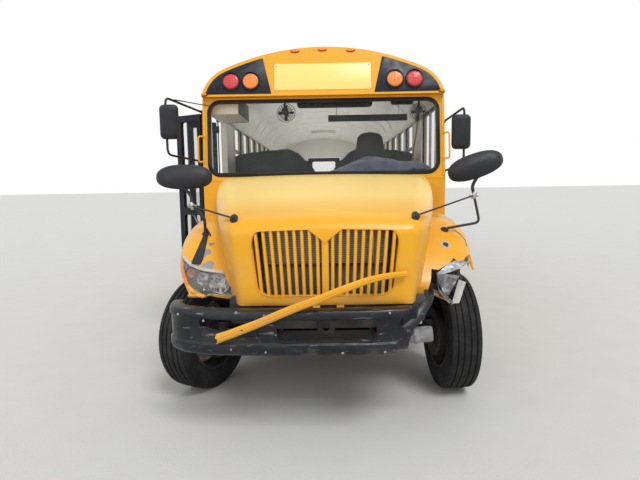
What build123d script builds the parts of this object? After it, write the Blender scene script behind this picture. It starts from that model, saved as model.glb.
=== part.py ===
from build123d import *
import math
import os

os.makedirs("parts", exist_ok=True)

# A full-size conventional school bus with its front left corner torn open.
# X points to the bus's left side, -Y forwards, Z up, and the ground is Z = 0.

# Whole vehicle
wheelbase = 7010
front_overhang = 1035
rear_overhang = 3585
body_width = 2438
roof_top = 3060
floor_top = 990
floor_depth = 40
play = 0.3
running_fit = 0.05

front_axle_y = front_overhang - (front_overhang + wheelbase + rear_overhang) / 2
rear_axle_y = front_axle_y + wheelbase

# Body shell
wall = 66
skirt_z = 500
eaves_z = roof_top - 560
roof_corner = 380
half_body = body_width / 2
cowl_y = front_axle_y + 1000
screen_foot_z = 1760
header_z = eaves_z + 70
screen_lean = 85
rear_bumper_depth = 180
rear_y = rear_axle_y + rear_overhang - rear_bumper_depth
rear_inner_y = rear_y - wall

# Windscreen
screen_bottom = 1795
screen_top = header_z - 45
screen_side = 69
screen_width = body_width - 2 * screen_side
screen_corner = 110
glass_depth = 6
glass_set_in = 24

# Passenger windows
window_pitch = 711
window_post = 88
window_sill = 1745
window_height = 735
window_corner = 38
window_count = 11
first_window_y = cowl_y + 1430
sash_rail = 26
sash_depth = 34

# Driver's window and entrance
driver_window_y = cowl_y + 560
driver_window_length = 700
door_front_y = cowl_y + 190
door_width = 760
door_rear_y = door_front_y + door_width
door_head_z = eaves_z - 60
step_foot_z = 395
step_count = 3
step_inner_x = 560
step_sheet = 12
leaf_thickness = 36
leaf_gap = 8
leaf_open = 60
leaf_foot_z = 430

# Rear door
rear_door_width = 940
rear_door_head_z = eaves_z - 30
rear_door_gap = 8

# Chassis
rail_height = 254
rail_width = 76
rail_steel = 10
rail_outer_x = 432
rail_top = floor_top - floor_depth
rail_middle_z = rail_top - rail_height / 2
rail_x = rail_outer_x - rail_width / 2

# Wheels
tyre_radius = 465
tyre_width = 255
rim_radius = 286
rim_width = 200
tread_depth = 14
groove_width = 12
groove_count = 4
kingpin_x = half_body - 349
wheel_offset = 155
steer_right = 25
steer_left = 3
dual_outer_x = half_body - 152
dual_spacing = 322
hub_radius = 105
drum_radius = 205
arch_radius = 545

# Hood, fenders and grille
hood_skin = 9
hood_front_y = front_axle_y - 860
rail_front_y = hood_front_y + hood_skin + 6
hood_rear_y = cowl_y
hood_foot_z = 900
grille_slots = 18
grille_top_half = 478
grille_foot_half = 430
grille_bar = 17

# Bumper
bumper_face_y = front_axle_y - front_overhang
bumper_foot_z = 610
bumper_height = 300
bumper_steel = 14
bumper_torn_x = 470


# A plane that faces forwards at the station y, with local x = X and local y = Z
def station(y):
    return Plane(origin=(0, y, 0), x_dir=(1, 0, 0), z_dir=(0, -1, 0))


# Y of the front wall's outer face at the height z
def front_face(z):
    rise = max(0, z - screen_foot_z) / (header_z - screen_foot_z)
    return cowl_y + screen_lean * rise


# The roof's outline: two corner arcs and a crown arc that meet without a break
def roof_arcs(inset):
    half = half_body - inset
    rise = roof_top - eaves_z - inset
    corner = roof_corner - inset
    crown = (half**2 - 2 * half * corner + rise**2) / (2 * (rise - corner))
    turn = math.degrees(math.atan2(crown - rise, half - corner))
    CenterArc((half - corner, eaves_z), corner, 0, turn)
    CenterArc((0, eaves_z + rise - crown), crown, turn, 180 - 2 * turn)
    CenterArc((corner - half, eaves_z), corner, 180 - turn, turn)


# The body's section, from the height foot up to the roof's outline
def body_section(inset, foot):
    half = half_body - inset
    with BuildLine() as outline:
        roof_arcs(inset)
        if foot < eaves_z:
            Polyline((-half, eaves_z), (-half, foot), (half, foot), (half, eaves_z))
        else:
            Line((-half, eaves_z), (half, eaves_z))
    make_face(outline.edges())


# Chassis

rail_length = rear_inner_y - rail_front_y
first_member_y = rail_front_y + 75
member_depth = 90
cross_member_shares = (0.25, 0.38, 0.52, 0.66, 0.84, 0.97)
member_ys = [first_member_y] + [rail_front_y + share * rail_length for share in cross_member_shares]

with BuildPart() as chassis_frame:
    for side in (-1, 1):
        with BuildSketch(station(rail_front_y)):
            with Locations((side * rail_x, rail_middle_z)):
                Rectangle(rail_width, rail_height)
            with Locations((side * (rail_x - rail_steel), rail_middle_z)):
                Rectangle(rail_width, rail_height - 2 * rail_steel, mode=Mode.SUBTRACT)
        extrude(amount=-rail_length)
    for member_y in member_ys:
        with Locations((0, member_y, rail_middle_z)):
            Box(2 * (rail_outer_x - rail_steel), member_depth, rail_height - 2 * rail_steel - 60)
chassis_frame.part.label = "chassis_frame"
export_step(chassis_frame.part, "parts/chassis_frame.step")

floor_front_y = cowl_y + wall
with BuildPart() as floor_deck:
    with BuildSketch(Plane.XY.offset(floor_top - floor_depth)):
        with BuildLine():
            Polyline(
                (half_body - wall, floor_front_y),
                (half_body - wall, rear_inner_y),
                (wall - half_body, rear_inner_y),
                (wall - half_body, door_rear_y),
                (step_sheet - step_inner_x, door_rear_y),
                (step_sheet - step_inner_x, door_front_y),
                (wall - half_body, door_front_y),
                (wall - half_body, floor_front_y),
                close=True,
            )
        make_face()
    extrude(amount=floor_depth)
floor_deck.part.label = "floor_deck"
export_step(floor_deck.part, "parts/floor_deck.step")

# Body walls

window_length = window_pitch - window_post
window_middle_z = window_sill + window_height / 2
window_ys = [first_window_y + window_pitch * (i + 0.5) for i in range(window_count)]


# The outline of a side wall, seen from the bus's left
def side_outline():
    with BuildLine() as outline:
        Polyline(
            (front_face(skirt_z) + wall, skirt_z),
            (front_face(screen_foot_z) + wall, screen_foot_z),
            (front_face(eaves_z) + wall, eaves_z),
            (rear_inner_y, eaves_z),
            (rear_inner_y, skirt_z),
            close=True,
        )
    make_face(outline.edges())


# Window openings of one side, as a sketch on the wall's own plane
def window_holes(length, height, corner):
    with Locations(*[(y, window_middle_z) for y in window_ys]):
        RectangleRounded(length, height, corner)


for side_name, side in (("left", 1), ("right", -1)):
    wall_plane = Plane.YZ.offset(half_body - wall if side > 0 else -half_body)
    with BuildPart() as body_side:
        with BuildSketch(wall_plane):
            side_outline()
        extrude(amount=wall)
        with BuildSketch(wall_plane):
            window_holes(window_length, window_height, window_corner)
            with Locations((rear_axle_y, tyre_radius)):
                Circle(arch_radius)
            if side > 0:
                with Locations((driver_window_y, window_middle_z)):
                    RectangleRounded(driver_window_length, window_height, window_corner)
            else:
                with Locations(((door_front_y + door_rear_y) / 2, door_head_z / 2)):
                    Rectangle(door_width, door_head_z)
        extrude(amount=wall, mode=Mode.SUBTRACT)
    body_side.part.label = f"body_side_{side_name}"
    export_step(body_side.part, f"parts/body_side_{side_name}.step")

hatch_size = 600
hatch_curb = 24
hatch_curb_height = 26
hatch_lid = hatch_size + 2 * hatch_curb + 40
hatch_lid_height = 34
hatch_pin_radius = 4
hatch_knuckle_radius = 9
hatch_knuckle = 60
hatch_lug = 16
hatch_hinge_xs = (-200, 200)
hatch_pin_y = hatch_lid / 2 + hatch_knuckle_radius
hatch_pin_z = roof_top + hatch_curb_height + play + hatch_lid_height / 2
hatch_ys = (front_axle_y + 3900, front_axle_y + 8300)
roof_front_y = front_face(header_z) + wall

with BuildPart() as roof:
    with BuildSketch(station(roof_front_y)):
        body_section(0, eaves_z)
    extrude(amount=roof_front_y - rear_inner_y)
    with Locations(*[(0, y, roof_top) for y in hatch_ys]):
        Box(hatch_size + 2 * hatch_curb, hatch_size + 2 * hatch_curb, 2 * hatch_curb_height)
    with BuildSketch(station(roof_front_y)):
        body_section(wall, eaves_z)
    extrude(amount=roof_front_y - rear_inner_y, mode=Mode.SUBTRACT)
    with Locations(*[(0, y, roof_top) for y in hatch_ys]):
        Box(hatch_size, hatch_size, 4 * wall, mode=Mode.SUBTRACT)
    # Lugs and pins that the hatch lids turn on
    for hatch_y in hatch_ys:
        for hinge_x in hatch_hinge_xs:
            pin_y = hatch_y + hatch_pin_y
            with Locations((hinge_x, pin_y, hatch_pin_z)):
                Cylinder(hatch_pin_radius, hatch_knuckle + 2 * hatch_lug, rotation=(0, 90, 0))
            for level in (-1, 1):
                lug_x = hinge_x + level * ((hatch_knuckle + hatch_lug) / 2 + play)
                with Locations((lug_x, pin_y, hatch_pin_z)):
                    Cylinder(hatch_knuckle_radius - 1, hatch_lug, rotation=(0, 90, 0))
                    Box(
                        hatch_lug,
                        hatch_knuckle_radius,
                        hatch_pin_z - roof_top + wall / 2,
                        align=(Align.CENTER, Align.CENTER, Align.MAX),
                    )
roof.part.label = "roof"
export_step(roof.part, "parts/roof.step")

# Front wall with the windscreen opening, and the cap above it

tunnel_half = rail_outer_x + 120
with BuildPart() as front_wall:
    with BuildSketch(Plane.YZ.offset(-half_body)):
        with BuildLine():
            Polyline(
                (front_face(skirt_z), skirt_z),
                (front_face(screen_foot_z), screen_foot_z),
                (front_face(header_z), header_z),
                (front_face(header_z) + wall, header_z),
                (front_face(screen_foot_z) + wall, screen_foot_z),
                (front_face(skirt_z) + wall, skirt_z),
                close=True,
            )
        make_face()
    extrude(amount=body_width)
    with BuildSketch(station(cowl_y - wall)):
        body_section(0, skirt_z)
    extrude(amount=-(screen_lean + 3 * wall), mode=Mode.INTERSECT)
    with BuildSketch(station(cowl_y - wall)):
        with Locations((0, (screen_bottom + screen_top) / 2)):
            RectangleRounded(screen_width, screen_top - screen_bottom, screen_corner)
        with Locations((0, rail_top / 2)):
            Rectangle(2 * tunnel_half, rail_top)
    extrude(amount=-(screen_lean + 3 * wall), mode=Mode.SUBTRACT)
front_wall.part.label = "front_wall"
export_step(front_wall.part, "parts/front_wall.step")

with BuildPart() as windscreen:
    with BuildSketch(Plane.YZ.offset(-half_body)):
        with BuildLine():
            Polyline(
                (front_face(screen_foot_z) + glass_set_in, screen_foot_z),
                (front_face(header_z) + glass_set_in, header_z),
                (front_face(header_z) + glass_set_in + glass_depth, header_z),
                (front_face(screen_foot_z) + glass_set_in + glass_depth, screen_foot_z),
                close=True,
            )
        make_face()
    extrude(amount=body_width)
    with BuildSketch(station(cowl_y - wall)):
        with Locations((0, (screen_bottom + screen_top) / 2)):
            RectangleRounded(screen_width, screen_top - screen_bottom, screen_corner)
    extrude(amount=-(screen_lean + 3 * wall), mode=Mode.INTERSECT)
windscreen.part.label = "windscreen"
export_step(windscreen.part, "parts/windscreen.step")

cap_lip = 70
cap_lean = 110
cap_front_y = front_face(header_z) - cap_lip
cap_angle = math.degrees(math.atan2(cap_lean, roof_top - header_z))
cap_plane = Plane(
    origin=(0, cap_front_y, header_z),
    x_dir=(1, 0, 0),
    z_dir=(0, -math.cos(math.radians(cap_angle)), math.sin(math.radians(cap_angle))),
)
with BuildPart() as front_cap:
    with BuildSketch(station(cap_front_y)):
        body_section(0, header_z - wall)
    extrude(amount=cap_front_y - roof_front_y)
    with BuildSketch(station(cap_front_y + cap_lean + wall)):
        body_section(wall, header_z - wall)
    extrude(amount=cap_front_y + cap_lean + wall - roof_front_y, mode=Mode.SUBTRACT)
    split(bisect_by=Plane.XY.offset(header_z), keep=Keep.TOP)
    split(bisect_by=cap_plane, keep=Keep.BOTTOM)
front_cap.part.label = "front_cap"
export_step(front_cap.part, "parts/front_cap.step")

# Rear wall and its openings

rear_window_x = half_body - 419
rear_window_width = 400
rear_window_height = 620
rear_window_z = 2060
with BuildPart() as rear_wall:
    with BuildSketch(station(rear_inner_y)):
        body_section(0, skirt_z)
        with Locations((0, (floor_top + rear_door_head_z) / 2)):
            Rectangle(rear_door_width, rear_door_head_z - floor_top, mode=Mode.SUBTRACT)
        with Locations((-rear_window_x, rear_window_z), (rear_window_x, rear_window_z)):
            RectangleRounded(rear_window_width, rear_window_height, window_corner, mode=Mode.SUBTRACT)
    extrude(amount=-wall)
rear_wall.part.label = "rear_wall"
export_step(rear_wall.part, "parts/rear_wall.step")

# Side windows: a split sash with two panes in each opening, and the driver's window

pane_depth = 4
pane_height = window_height / 2 - 1.5 * sash_rail
pane_rise = (pane_height + sash_rail) / 2
for side_name, side in (("left", 1), ("right", -1)):
    sash_x = side * (half_body - 18) - (sash_depth if side > 0 else 0)
    with BuildPart() as side_windows:
        with BuildSketch(Plane.YZ.offset(sash_x)):
            window_holes(window_length, window_height, window_corner)
            with Locations(*[(y, window_middle_z) for y in window_ys]):
                with Locations((0, pane_rise), (0, -pane_rise)):
                    Rectangle(window_length - 2 * sash_rail, pane_height, mode=Mode.SUBTRACT)
            if side > 0:
                with Locations((driver_window_y, window_middle_z)):
                    RectangleRounded(driver_window_length, window_height, window_corner)
                    Rectangle(
                        driver_window_length - 2 * sash_rail,
                        window_height - 2 * sash_rail,
                        mode=Mode.SUBTRACT,
                    )
        extrude(amount=sash_depth)
        with BuildSketch(Plane.YZ.offset(sash_x + (sash_depth - pane_depth) / 2)):
            with Locations(*[(y, window_middle_z) for y in window_ys]):
                with Locations((0, pane_rise), (0, -pane_rise)):
                    Rectangle(window_length - 2 * sash_rail, pane_height)
            if side > 0:
                with Locations((driver_window_y, window_middle_z)):
                    Rectangle(driver_window_length - 2 * sash_rail, window_height - 2 * sash_rail)
        extrude(amount=pane_depth)
    side_windows.part.label = f"side_windows_{side_name}"
    export_step(side_windows.part, f"parts/side_windows_{side_name}.step")

with BuildPart() as rear_glass:
    with BuildSketch(station(rear_y - wall / 2)):
        with Locations((-rear_window_x, rear_window_z), (rear_window_x, rear_window_z)):
            RectangleRounded(rear_window_width, rear_window_height, window_corner)
    extrude(amount=pane_depth)
rear_glass.part.label = "rear_glass"
export_step(rear_glass.part, "parts/rear_glass.step")

# Rub rails: centre height, height and whether the wheel arch cuts them

rub_rails = ((1690, 60), (1380, 80), (1010, 80), (545, 80))
rub_depth = 14
for side_name, side in (("left", 1), ("right", -1)):
    rail_start_y = door_rear_y + 40 if side < 0 else cowl_y + wall + 10
    rail_run = rear_inner_y - rail_start_y
    with BuildPart() as rails:
        for middle_z, height in rub_rails:
            with BuildSketch(Plane.YZ.offset(half_body if side > 0 else -half_body - rub_depth)):
                with Locations((rail_start_y + rail_run / 2, middle_z)):
                    Rectangle(rail_run, height)
                with Locations((rear_axle_y, tyre_radius)):
                    Circle(arch_radius + 30, mode=Mode.SUBTRACT)
            extrude(amount=rub_depth)
    rails.part.label = f"rub_rails_{side_name}"
    export_step(rails.part, f"parts/rub_rails_{side_name}.step")

# Entrance: stepwell and two outward-opening leaves

step_rise = (floor_top - step_foot_z) / step_count
step_run = (half_body - 30 - step_inner_x) / step_count


# The stair's upper outline, lowered by drop, from the doorway to the floor
def stair_points(drop):
    points = []
    for i in range(step_count):
        x = -half_body + 30 + i * step_run
        points.append((x + (drop if i else 0), step_foot_z + i * step_rise - drop))
        points.append((x + step_run + drop, step_foot_z + i * step_rise - drop))
    return points


stair_top = stair_points(0)
stair_under = stair_points(step_sheet)
stair_end = (-step_inner_x, floor_top)
stair_end_under = (-step_inner_x, floor_top - step_sheet)
with BuildPart() as entrance_steps:
    with BuildSketch(station(door_front_y)):
        with BuildLine():
            Polyline(
                *stair_top,
                stair_end,
                (-step_inner_x + step_sheet, floor_top),
                *reversed(stair_under),
                close=True,
            )
        make_face()
    extrude(amount=-door_width)
    for wall_y in (door_front_y, door_rear_y):
        with BuildSketch(station(wall_y)):
            with BuildLine():
                Polyline(
                    (-half_body + 30, floor_top - floor_depth),
                    *stair_under,
                    (-step_inner_x + step_sheet, floor_top - floor_depth),
                    close=True,
                )
            make_face()
        extrude(amount=-step_sheet if wall_y < door_rear_y else step_sheet)
entrance_steps.part.label = "entrance_steps"
export_step(entrance_steps.part, "parts/entrance_steps.step")

# A leaf is drawn in its own plane: u runs from its hinge across the doorway
leaf_width = door_width / 2 - 1.5 * leaf_gap
leaf_height = door_head_z - leaf_gap - leaf_foot_z
leaf_hinge_x = -half_body - leaf_thickness / 2 - 14
leaf_stile = 62
leaf_pane_split = 1420
leaf_edge = 22
knuckle_radius = 15
knuckle_zs = (leaf_foot_z + 40, leaf_pane_split - 40, door_head_z - leaf_gap - 120)
hinge_rod = 7
hinge_ys = {"front": door_front_y + leaf_gap, "rear": door_rear_y - leaf_gap}
for leaf_name, turn in (("front", 1), ("rear", -1)):
    angle = math.radians(leaf_open)
    u_dir = (-math.sin(angle), turn * math.cos(angle), 0)
    out_dir = (turn * math.cos(angle), math.sin(angle), 0)
    leaf_plane = Plane(
        origin=(leaf_hinge_x, hinge_ys[leaf_name], 0),
        x_dir=u_dir,
        z_dir=out_dir,
    )
    upper = (leaf_pane_split + leaf_stile / 2, door_head_z - leaf_gap - leaf_stile)
    lower = (leaf_foot_z + 2 * leaf_stile, leaf_pane_split - leaf_stile / 2)
    with BuildPart() as leaf:
        with BuildSketch(leaf_plane.offset(-leaf_thickness / 2)):
            v_sign = -1 if leaf_plane.y_dir.Z < 0 else 1
            with Locations(((leaf_width + leaf_edge) / 2, v_sign * (leaf_foot_z + leaf_height / 2))):
                Rectangle(leaf_width - leaf_edge, leaf_height)
            for foot, head in (upper, lower):
                with Locations((leaf_width / 2, v_sign * (foot + head) / 2)):
                    RectangleRounded(
                        leaf_width - 2 * leaf_stile, head - foot, 30, mode=Mode.SUBTRACT
                    )
        extrude(amount=leaf_thickness)
        with BuildSketch(leaf_plane.offset(-pane_depth / 2)):
            for foot, head in (upper, lower):
                with Locations((leaf_width / 2, v_sign * (foot + head) / 2)):
                    RectangleRounded(leaf_width - 2 * leaf_stile, head - foot, 30)
        extrude(amount=pane_depth)
        for knuckle_z in knuckle_zs:
            hinge_point = (leaf_hinge_x, hinge_ys[leaf_name], knuckle_z)
            with BuildSketch(Plane(origin=hinge_point, x_dir=u_dir, z_dir=(0, 0, 1))):
                Circle(knuckle_radius)
                with Locations((leaf_edge / 2 + 5, 0)):
                    Rectangle(leaf_edge + 10, 16)
                Circle(hinge_rod + running_fit, mode=Mode.SUBTRACT)
            extrude(amount=80)
    leaf.part.label = f"door_leaf_{leaf_name}"
    export_step(leaf.part, f"parts/door_leaf_{leaf_name}.step")

# Each leaf turns on an upright rod between a foot on the lowest step and one on the wall
hinge_foot_run = 30 - half_body - play - leaf_hinge_x + 14
with BuildPart() as door_hinges:
    for hinge_y in hinge_ys.values():
        with Locations((leaf_hinge_x, hinge_y, step_foot_z)):
            Cylinder(
                hinge_rod,
                door_head_z + 24 - step_foot_z,
                align=(Align.CENTER, Align.CENTER, Align.MIN),
            )
        inward = 1 if hinge_y < door_rear_y - leaf_width else -1
        with Locations((leaf_hinge_x - 14, hinge_y + inward * 8, step_foot_z)):
            Box(hinge_foot_run, 30, leaf_foot_z - step_foot_z - 6, align=(Align.MIN, Align.CENTER, Align.MIN))
        with Locations((-half_body, hinge_y, door_head_z + 1)):
            Box(-half_body - leaf_hinge_x + 14, 40, 24, align=(Align.MAX, Align.CENTER, Align.MIN))
door_hinges.part.label = "door_hinges"
export_step(door_hinges.part, "parts/door_hinges.step")

# Rear door, hinged at the bus's right side

rear_door_thickness = 50
rear_pane_foot = 1660
rear_pane_head = 2370
rear_pane_width = 690
rear_hinge_x = -rear_door_width / 2
rear_hinge_y = rear_y + 12
rear_hinge_radius = 11
rear_hinge_rod = 5
rear_knuckle = 70
rear_hinge_zs = (1180, 1560, 2300)
with BuildPart() as rear_door:
    with BuildSketch(station(rear_y)):
        with Locations((0, (floor_top + rear_door_head_z) / 2)):
            Rectangle(
                rear_door_width - 2 * rear_door_gap,
                rear_door_head_z - floor_top - 2 * rear_door_gap,
            )
        with Locations((0, (rear_pane_foot + rear_pane_head) / 2)):
            RectangleRounded(
                rear_pane_width, rear_pane_head - rear_pane_foot, 60, mode=Mode.SUBTRACT
            )
    extrude(amount=rear_door_thickness)
    with Locations((rear_door_width / 2 - 90, rear_y + 30, 1450)):
        Box(40, 60, 180)
    with BuildSketch(station(rear_y - 20)):
        with Locations((0, (rear_pane_foot + rear_pane_head) / 2)):
            RectangleRounded(rear_pane_width, rear_pane_head - rear_pane_foot, 60)
    extrude(amount=pane_depth)
    for hinge_z in rear_hinge_zs:
        with BuildSketch(Plane.XY.offset(hinge_z - rear_knuckle / 2)):
            with Locations((rear_hinge_x, rear_hinge_y)):
                Circle(rear_hinge_radius)
            with Locations((rear_hinge_x + 35, rear_y + 4)):
                Rectangle(70, 8)
            with Locations((rear_hinge_x, rear_hinge_y)):
                Circle(rear_hinge_rod + running_fit, mode=Mode.SUBTRACT)
        extrude(amount=rear_knuckle)
rear_door.part.label = "rear_door"
export_step(rear_door.part, "parts/rear_door.step")

with BuildPart() as rear_door_hinges:
    for hinge_z in rear_hinge_zs:
        for level in (-1, 1):
            with Locations((rear_hinge_x, rear_hinge_y, hinge_z + level * (rear_knuckle / 2 + play + 8))):
                Cylinder(rear_hinge_radius, 16)
                with Locations((-15, -4, 0)):
                    Box(30, 16, 16)
        with Locations((rear_hinge_x - 40, rear_y + 4, hinge_z)):
            Box(50, 8, rear_knuckle + 32 + 2 * play)
        with Locations((rear_hinge_x, rear_hinge_y, hinge_z)):
            Cylinder(rear_hinge_rod, rear_knuckle + 32 + 2 * play)
rear_door_hinges.part.label = "rear_door_hinges"
export_step(rear_door_hinges.part, "parts/rear_door_hinges.step")

# Roof hatches

for hatch_name, hatch_y in (("front", hatch_ys[0]), ("rear", hatch_ys[1])):
    with BuildPart() as hatch:
        with BuildSketch(Plane.XY.offset(roof_top + hatch_curb_height + play)):
            with Locations((0, hatch_y)):
                RectangleRounded(hatch_lid, hatch_lid, 50)
        extrude(amount=hatch_lid_height)
        fillet(hatch.faces().sort_by(Axis.Z)[-1].edges(), 16)
        for hinge_x in hatch_hinge_xs:
            with BuildSketch(Plane.YZ.offset(hinge_x - hatch_knuckle / 2)):
                with Locations((hatch_y + hatch_pin_y, hatch_pin_z)):
                    Circle(hatch_knuckle_radius)
                with Locations((hatch_y + hatch_pin_y - hatch_knuckle_radius, hatch_pin_z)):
                    Rectangle(2 * hatch_knuckle_radius, hatch_knuckle_radius)
                with Locations((hatch_y + hatch_pin_y, hatch_pin_z)):
                    Circle(hatch_pin_radius + running_fit, mode=Mode.SUBTRACT)
            extrude(amount=hatch_knuckle)
    hatch.part.label = f"roof_hatch_{hatch_name}"
    export_step(hatch.part, f"parts/roof_hatch_{hatch_name}.step")

# Seats: a bench's side profile is drawn once and repeated down the aisle

bench_width = 985
bench_seat_z = 1430
bench_back_z = 2075
bench_pitch = 711
bench_count = 10
first_bench_y = cowl_y + 1700
bench_wall_gap = 6
bench_cushion = 120
bench_depth = 400
bench_back = 90
bench_lean = 80
leg_width = 30


# Side profile of one bench whose front edge is at y
def bench_profile(y):
    back_y = y + bench_depth
    with BuildLine() as outline:
        Polyline(
            (y, bench_seat_z - bench_cushion),
            (y, bench_seat_z),
            (back_y, bench_seat_z - 30),
            (back_y + bench_lean, bench_back_z),
            (back_y + bench_lean + bench_back, bench_back_z),
            (back_y + bench_back, bench_seat_z - bench_cushion),
            close=True,
        )
    make_face(outline.edges())


for side_name, side in (("left", 1), ("right", -1)):
    bench_outer = half_body - wall - bench_wall_gap
    bench_inner = bench_outer - bench_width
    with BuildPart() as benches:
        for i in range(bench_count):
            bench_y = first_bench_y + i * bench_pitch
            with BuildSketch(Plane.YZ.offset(bench_inner if side > 0 else -bench_outer)):
                bench_profile(bench_y)
            extrude(amount=bench_width)
            for leg_y in (bench_y + 60, bench_y + bench_depth + 20):
                for leg_x in (bench_inner + 120, bench_outer - 60):
                    with Locations((side * leg_x, leg_y, floor_top)):
                        Box(
                            leg_width,
                            leg_width,
                            bench_seat_z - bench_cushion + 5 - floor_top,
                            align=(Align.CENTER, Align.CENTER, Align.MIN),
                        )
    benches.part.label = f"benches_{side_name}"
    export_step(benches.part, f"parts/benches_{side_name}.step")

barrier_y = cowl_y + 1260
barrier_depth = 50
for side_name, side in (("left", 1), ("right", -1)):
    outer = side * (half_body - wall - bench_wall_gap)
    inner = side * (bench_inner - 10)
    with BuildPart() as barrier:
        with BuildSketch(station(barrier_y)):
            with BuildLine():
                Polyline(
                    (outer, floor_top + 120),
                    (outer, bench_back_z),
                    (inner + side * 260, bench_back_z + 40),
                    (inner, bench_back_z - 160),
                    (inner, floor_top + 120),
                    close=True,
                )
            make_face()
        extrude(amount=-barrier_depth)
        for post_x in (outer - side * 40, inner + side * 40):
            with Locations((post_x, barrier_y + barrier_depth / 2, floor_top)):
                Box(32, 32, 400, align=(Align.CENTER, Align.CENTER, Align.MIN))
    barrier.part.label = f"barrier_{side_name}"
    export_step(barrier.part, f"parts/barrier_{side_name}.step")

driver_x = half_body - 649
driver_seat_y = cowl_y + 640
driver_seat_z = 1500
with BuildPart() as driver_seat:
    with BuildSketch(Plane.YZ.offset(driver_x - 260)):
        with BuildLine():
            Polyline(
                (driver_seat_y, driver_seat_z - 130),
                (driver_seat_y, driver_seat_z),
                (driver_seat_y + 380, driver_seat_z - 30),
                (driver_seat_y + 400, driver_seat_z - 130),
                close=True,
            )
        make_face()
    extrude(amount=520)
    back_plane = Plane(
        origin=(driver_x, driver_seat_y + 360, driver_seat_z - 130),
        x_dir=(1, 0, 0),
        z_dir=(0, -1, 0.12),
    )
    with BuildSketch(back_plane):
        with BuildLine():
            Polyline(
                (-235, 0),
                (-240, 420),
                (-150, 640),
                (-120, 900),
                (120, 900),
                (150, 640),
                (240, 420),
                (235, 0),
                close=True,
            )
        make_face()
    extrude(amount=-100)
    with Locations((driver_x, driver_seat_y + 220, floor_top)):
        Box(300, 300, driver_seat_z - 125 - floor_top, align=(Align.CENTER, Align.CENTER, Align.MIN))
driver_seat.part.label = "driver_seat"
export_step(driver_seat.part, "parts/driver_seat.step")

# Dash and steering wheel

dash_depth = 330
dash_top = screen_foot_z - 5
dash_foot = 1330
dash_right_x = -step_inner_x + 20
with BuildPart() as dash:
    with BuildSketch(Plane.YZ.offset(dash_right_x)):
        with BuildLine():
            Polyline(
                (floor_front_y, dash_foot),
                (floor_front_y, dash_top),
                (floor_front_y + 0.75 * dash_depth, dash_top),
                (floor_front_y + dash_depth, dash_top - 130),
                (floor_front_y + 0.7 * dash_depth, dash_foot),
                close=True,
            )
        make_face()
    extrude(amount=half_body - wall - dash_right_x)
    with BuildSketch(Plane.YZ.offset(driver_x - 330)):
        with BuildLine():
            Polyline(
                (floor_front_y + 40, dash_top - 10),
                (floor_front_y + 160, dash_top + 75),
                (floor_front_y + dash_depth + 20, dash_top + 60),
                (floor_front_y + dash_depth, dash_top - 120),
                close=True,
            )
        make_face()
    extrude(amount=660)
    # The column that carries the steering wheel
    column_foot = (driver_x, floor_front_y + dash_depth - 60, dash_top - 150)
    column_dir = (0, 0.75, 0.66)
    with BuildSketch(Plane(origin=column_foot, z_dir=column_dir)):
        Circle(38)
    extrude(amount=215)
dash.part.label = "dash"
export_step(dash.part, "parts/dash.step")

wheel_rim_radius = 228
column_unit = Vector(*column_dir).normalized()
wheel_hub = Vector(*column_foot) + column_unit * 215
with BuildPart() as steering_wheel:
    hub_plane = Plane(origin=wheel_hub, x_dir=(1, 0, 0), z_dir=column_unit)
    with BuildSketch(hub_plane):
        Circle(60)
    extrude(amount=40)
    with BuildSketch(hub_plane.offset(12)):
        Rectangle(2 * wheel_rim_radius, 34)
        with Locations((0, -wheel_rim_radius / 2)):
            Rectangle(34, wheel_rim_radius)
    extrude(amount=14)
    with BuildSketch(Plane(origin=wheel_hub + column_unit * 19, x_dir=(1, 0, 0), z_dir=hub_plane.y_dir)):
        with Locations((wheel_rim_radius, 0)):
            Circle(14)
    revolve(axis=Axis(wheel_hub + column_unit * 19, column_unit))
steering_wheel.part.label = "steering_wheel"
export_step(steering_wheel.part, "parts/steering_wheel.step")

# Hood: a lofted shell from the grille's face back to the cowl
# Each row: distance behind the hood's front, how far the shoulder stands in from the body's
# side, top height, how far the foot stands in, and the radius of the shoulder

hood_rows = (
    (0, 619, 1425, 664, 50),
    (18, 591, 1450, 649, 70),
    (60, 554, 1482, 624, 95),
    (150, 514, 1508, 594, 120),
    (hood_rear_y - hood_front_y, 179, 1785, 259, 150),
)
hood_crown = 22

# Each row: distance behind the axle, inner top height, how far the outer side stands in from
# the body's, the height where it turns down over the wheel, and the foot's height
fender_rows = (
    (-660, 1010, 234, 950, 925),
    (-520, 1175, 139, 1050, 925),
    (-330, 1335, 74, 1110, 925),
    (-30, 1425, 39, 1150, 925),
    (300, 1440, 27, 1160, 560),
    (640, 1400, 19, 1140, 560),
    (cowl_y - front_axle_y, 1330, 14, 1080, 560),
)
fender_inner_x = 520
fender_round = 280
front_arch_radius = 575


# One cross-section of the hood, inset by the skin where it is the inner side
def hood_section(row, inset, foot, start_y):
    behind, shoulder_in, top, foot_in, radius = row
    shoulder = half_body - shoulder_in
    foot_half = half_body - foot_in
    with BuildSketch(station(start_y + behind)) as section:
        with BuildLine():
            Polyline(
                (inset - shoulder, top - hood_crown - inset),
                (inset - foot_half, foot),
                (foot_half - inset, foot),
                (shoulder - inset, top - hood_crown - inset),
            )
            ThreePointArc(
                (shoulder - inset, top - hood_crown - inset),
                (0, top - inset),
                (inset - shoulder, top - hood_crown - inset),
            )
        make_face()
        fillet(section.vertices().group_by(Axis.Z)[-1], radius - inset)
    return section.sketch


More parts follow.
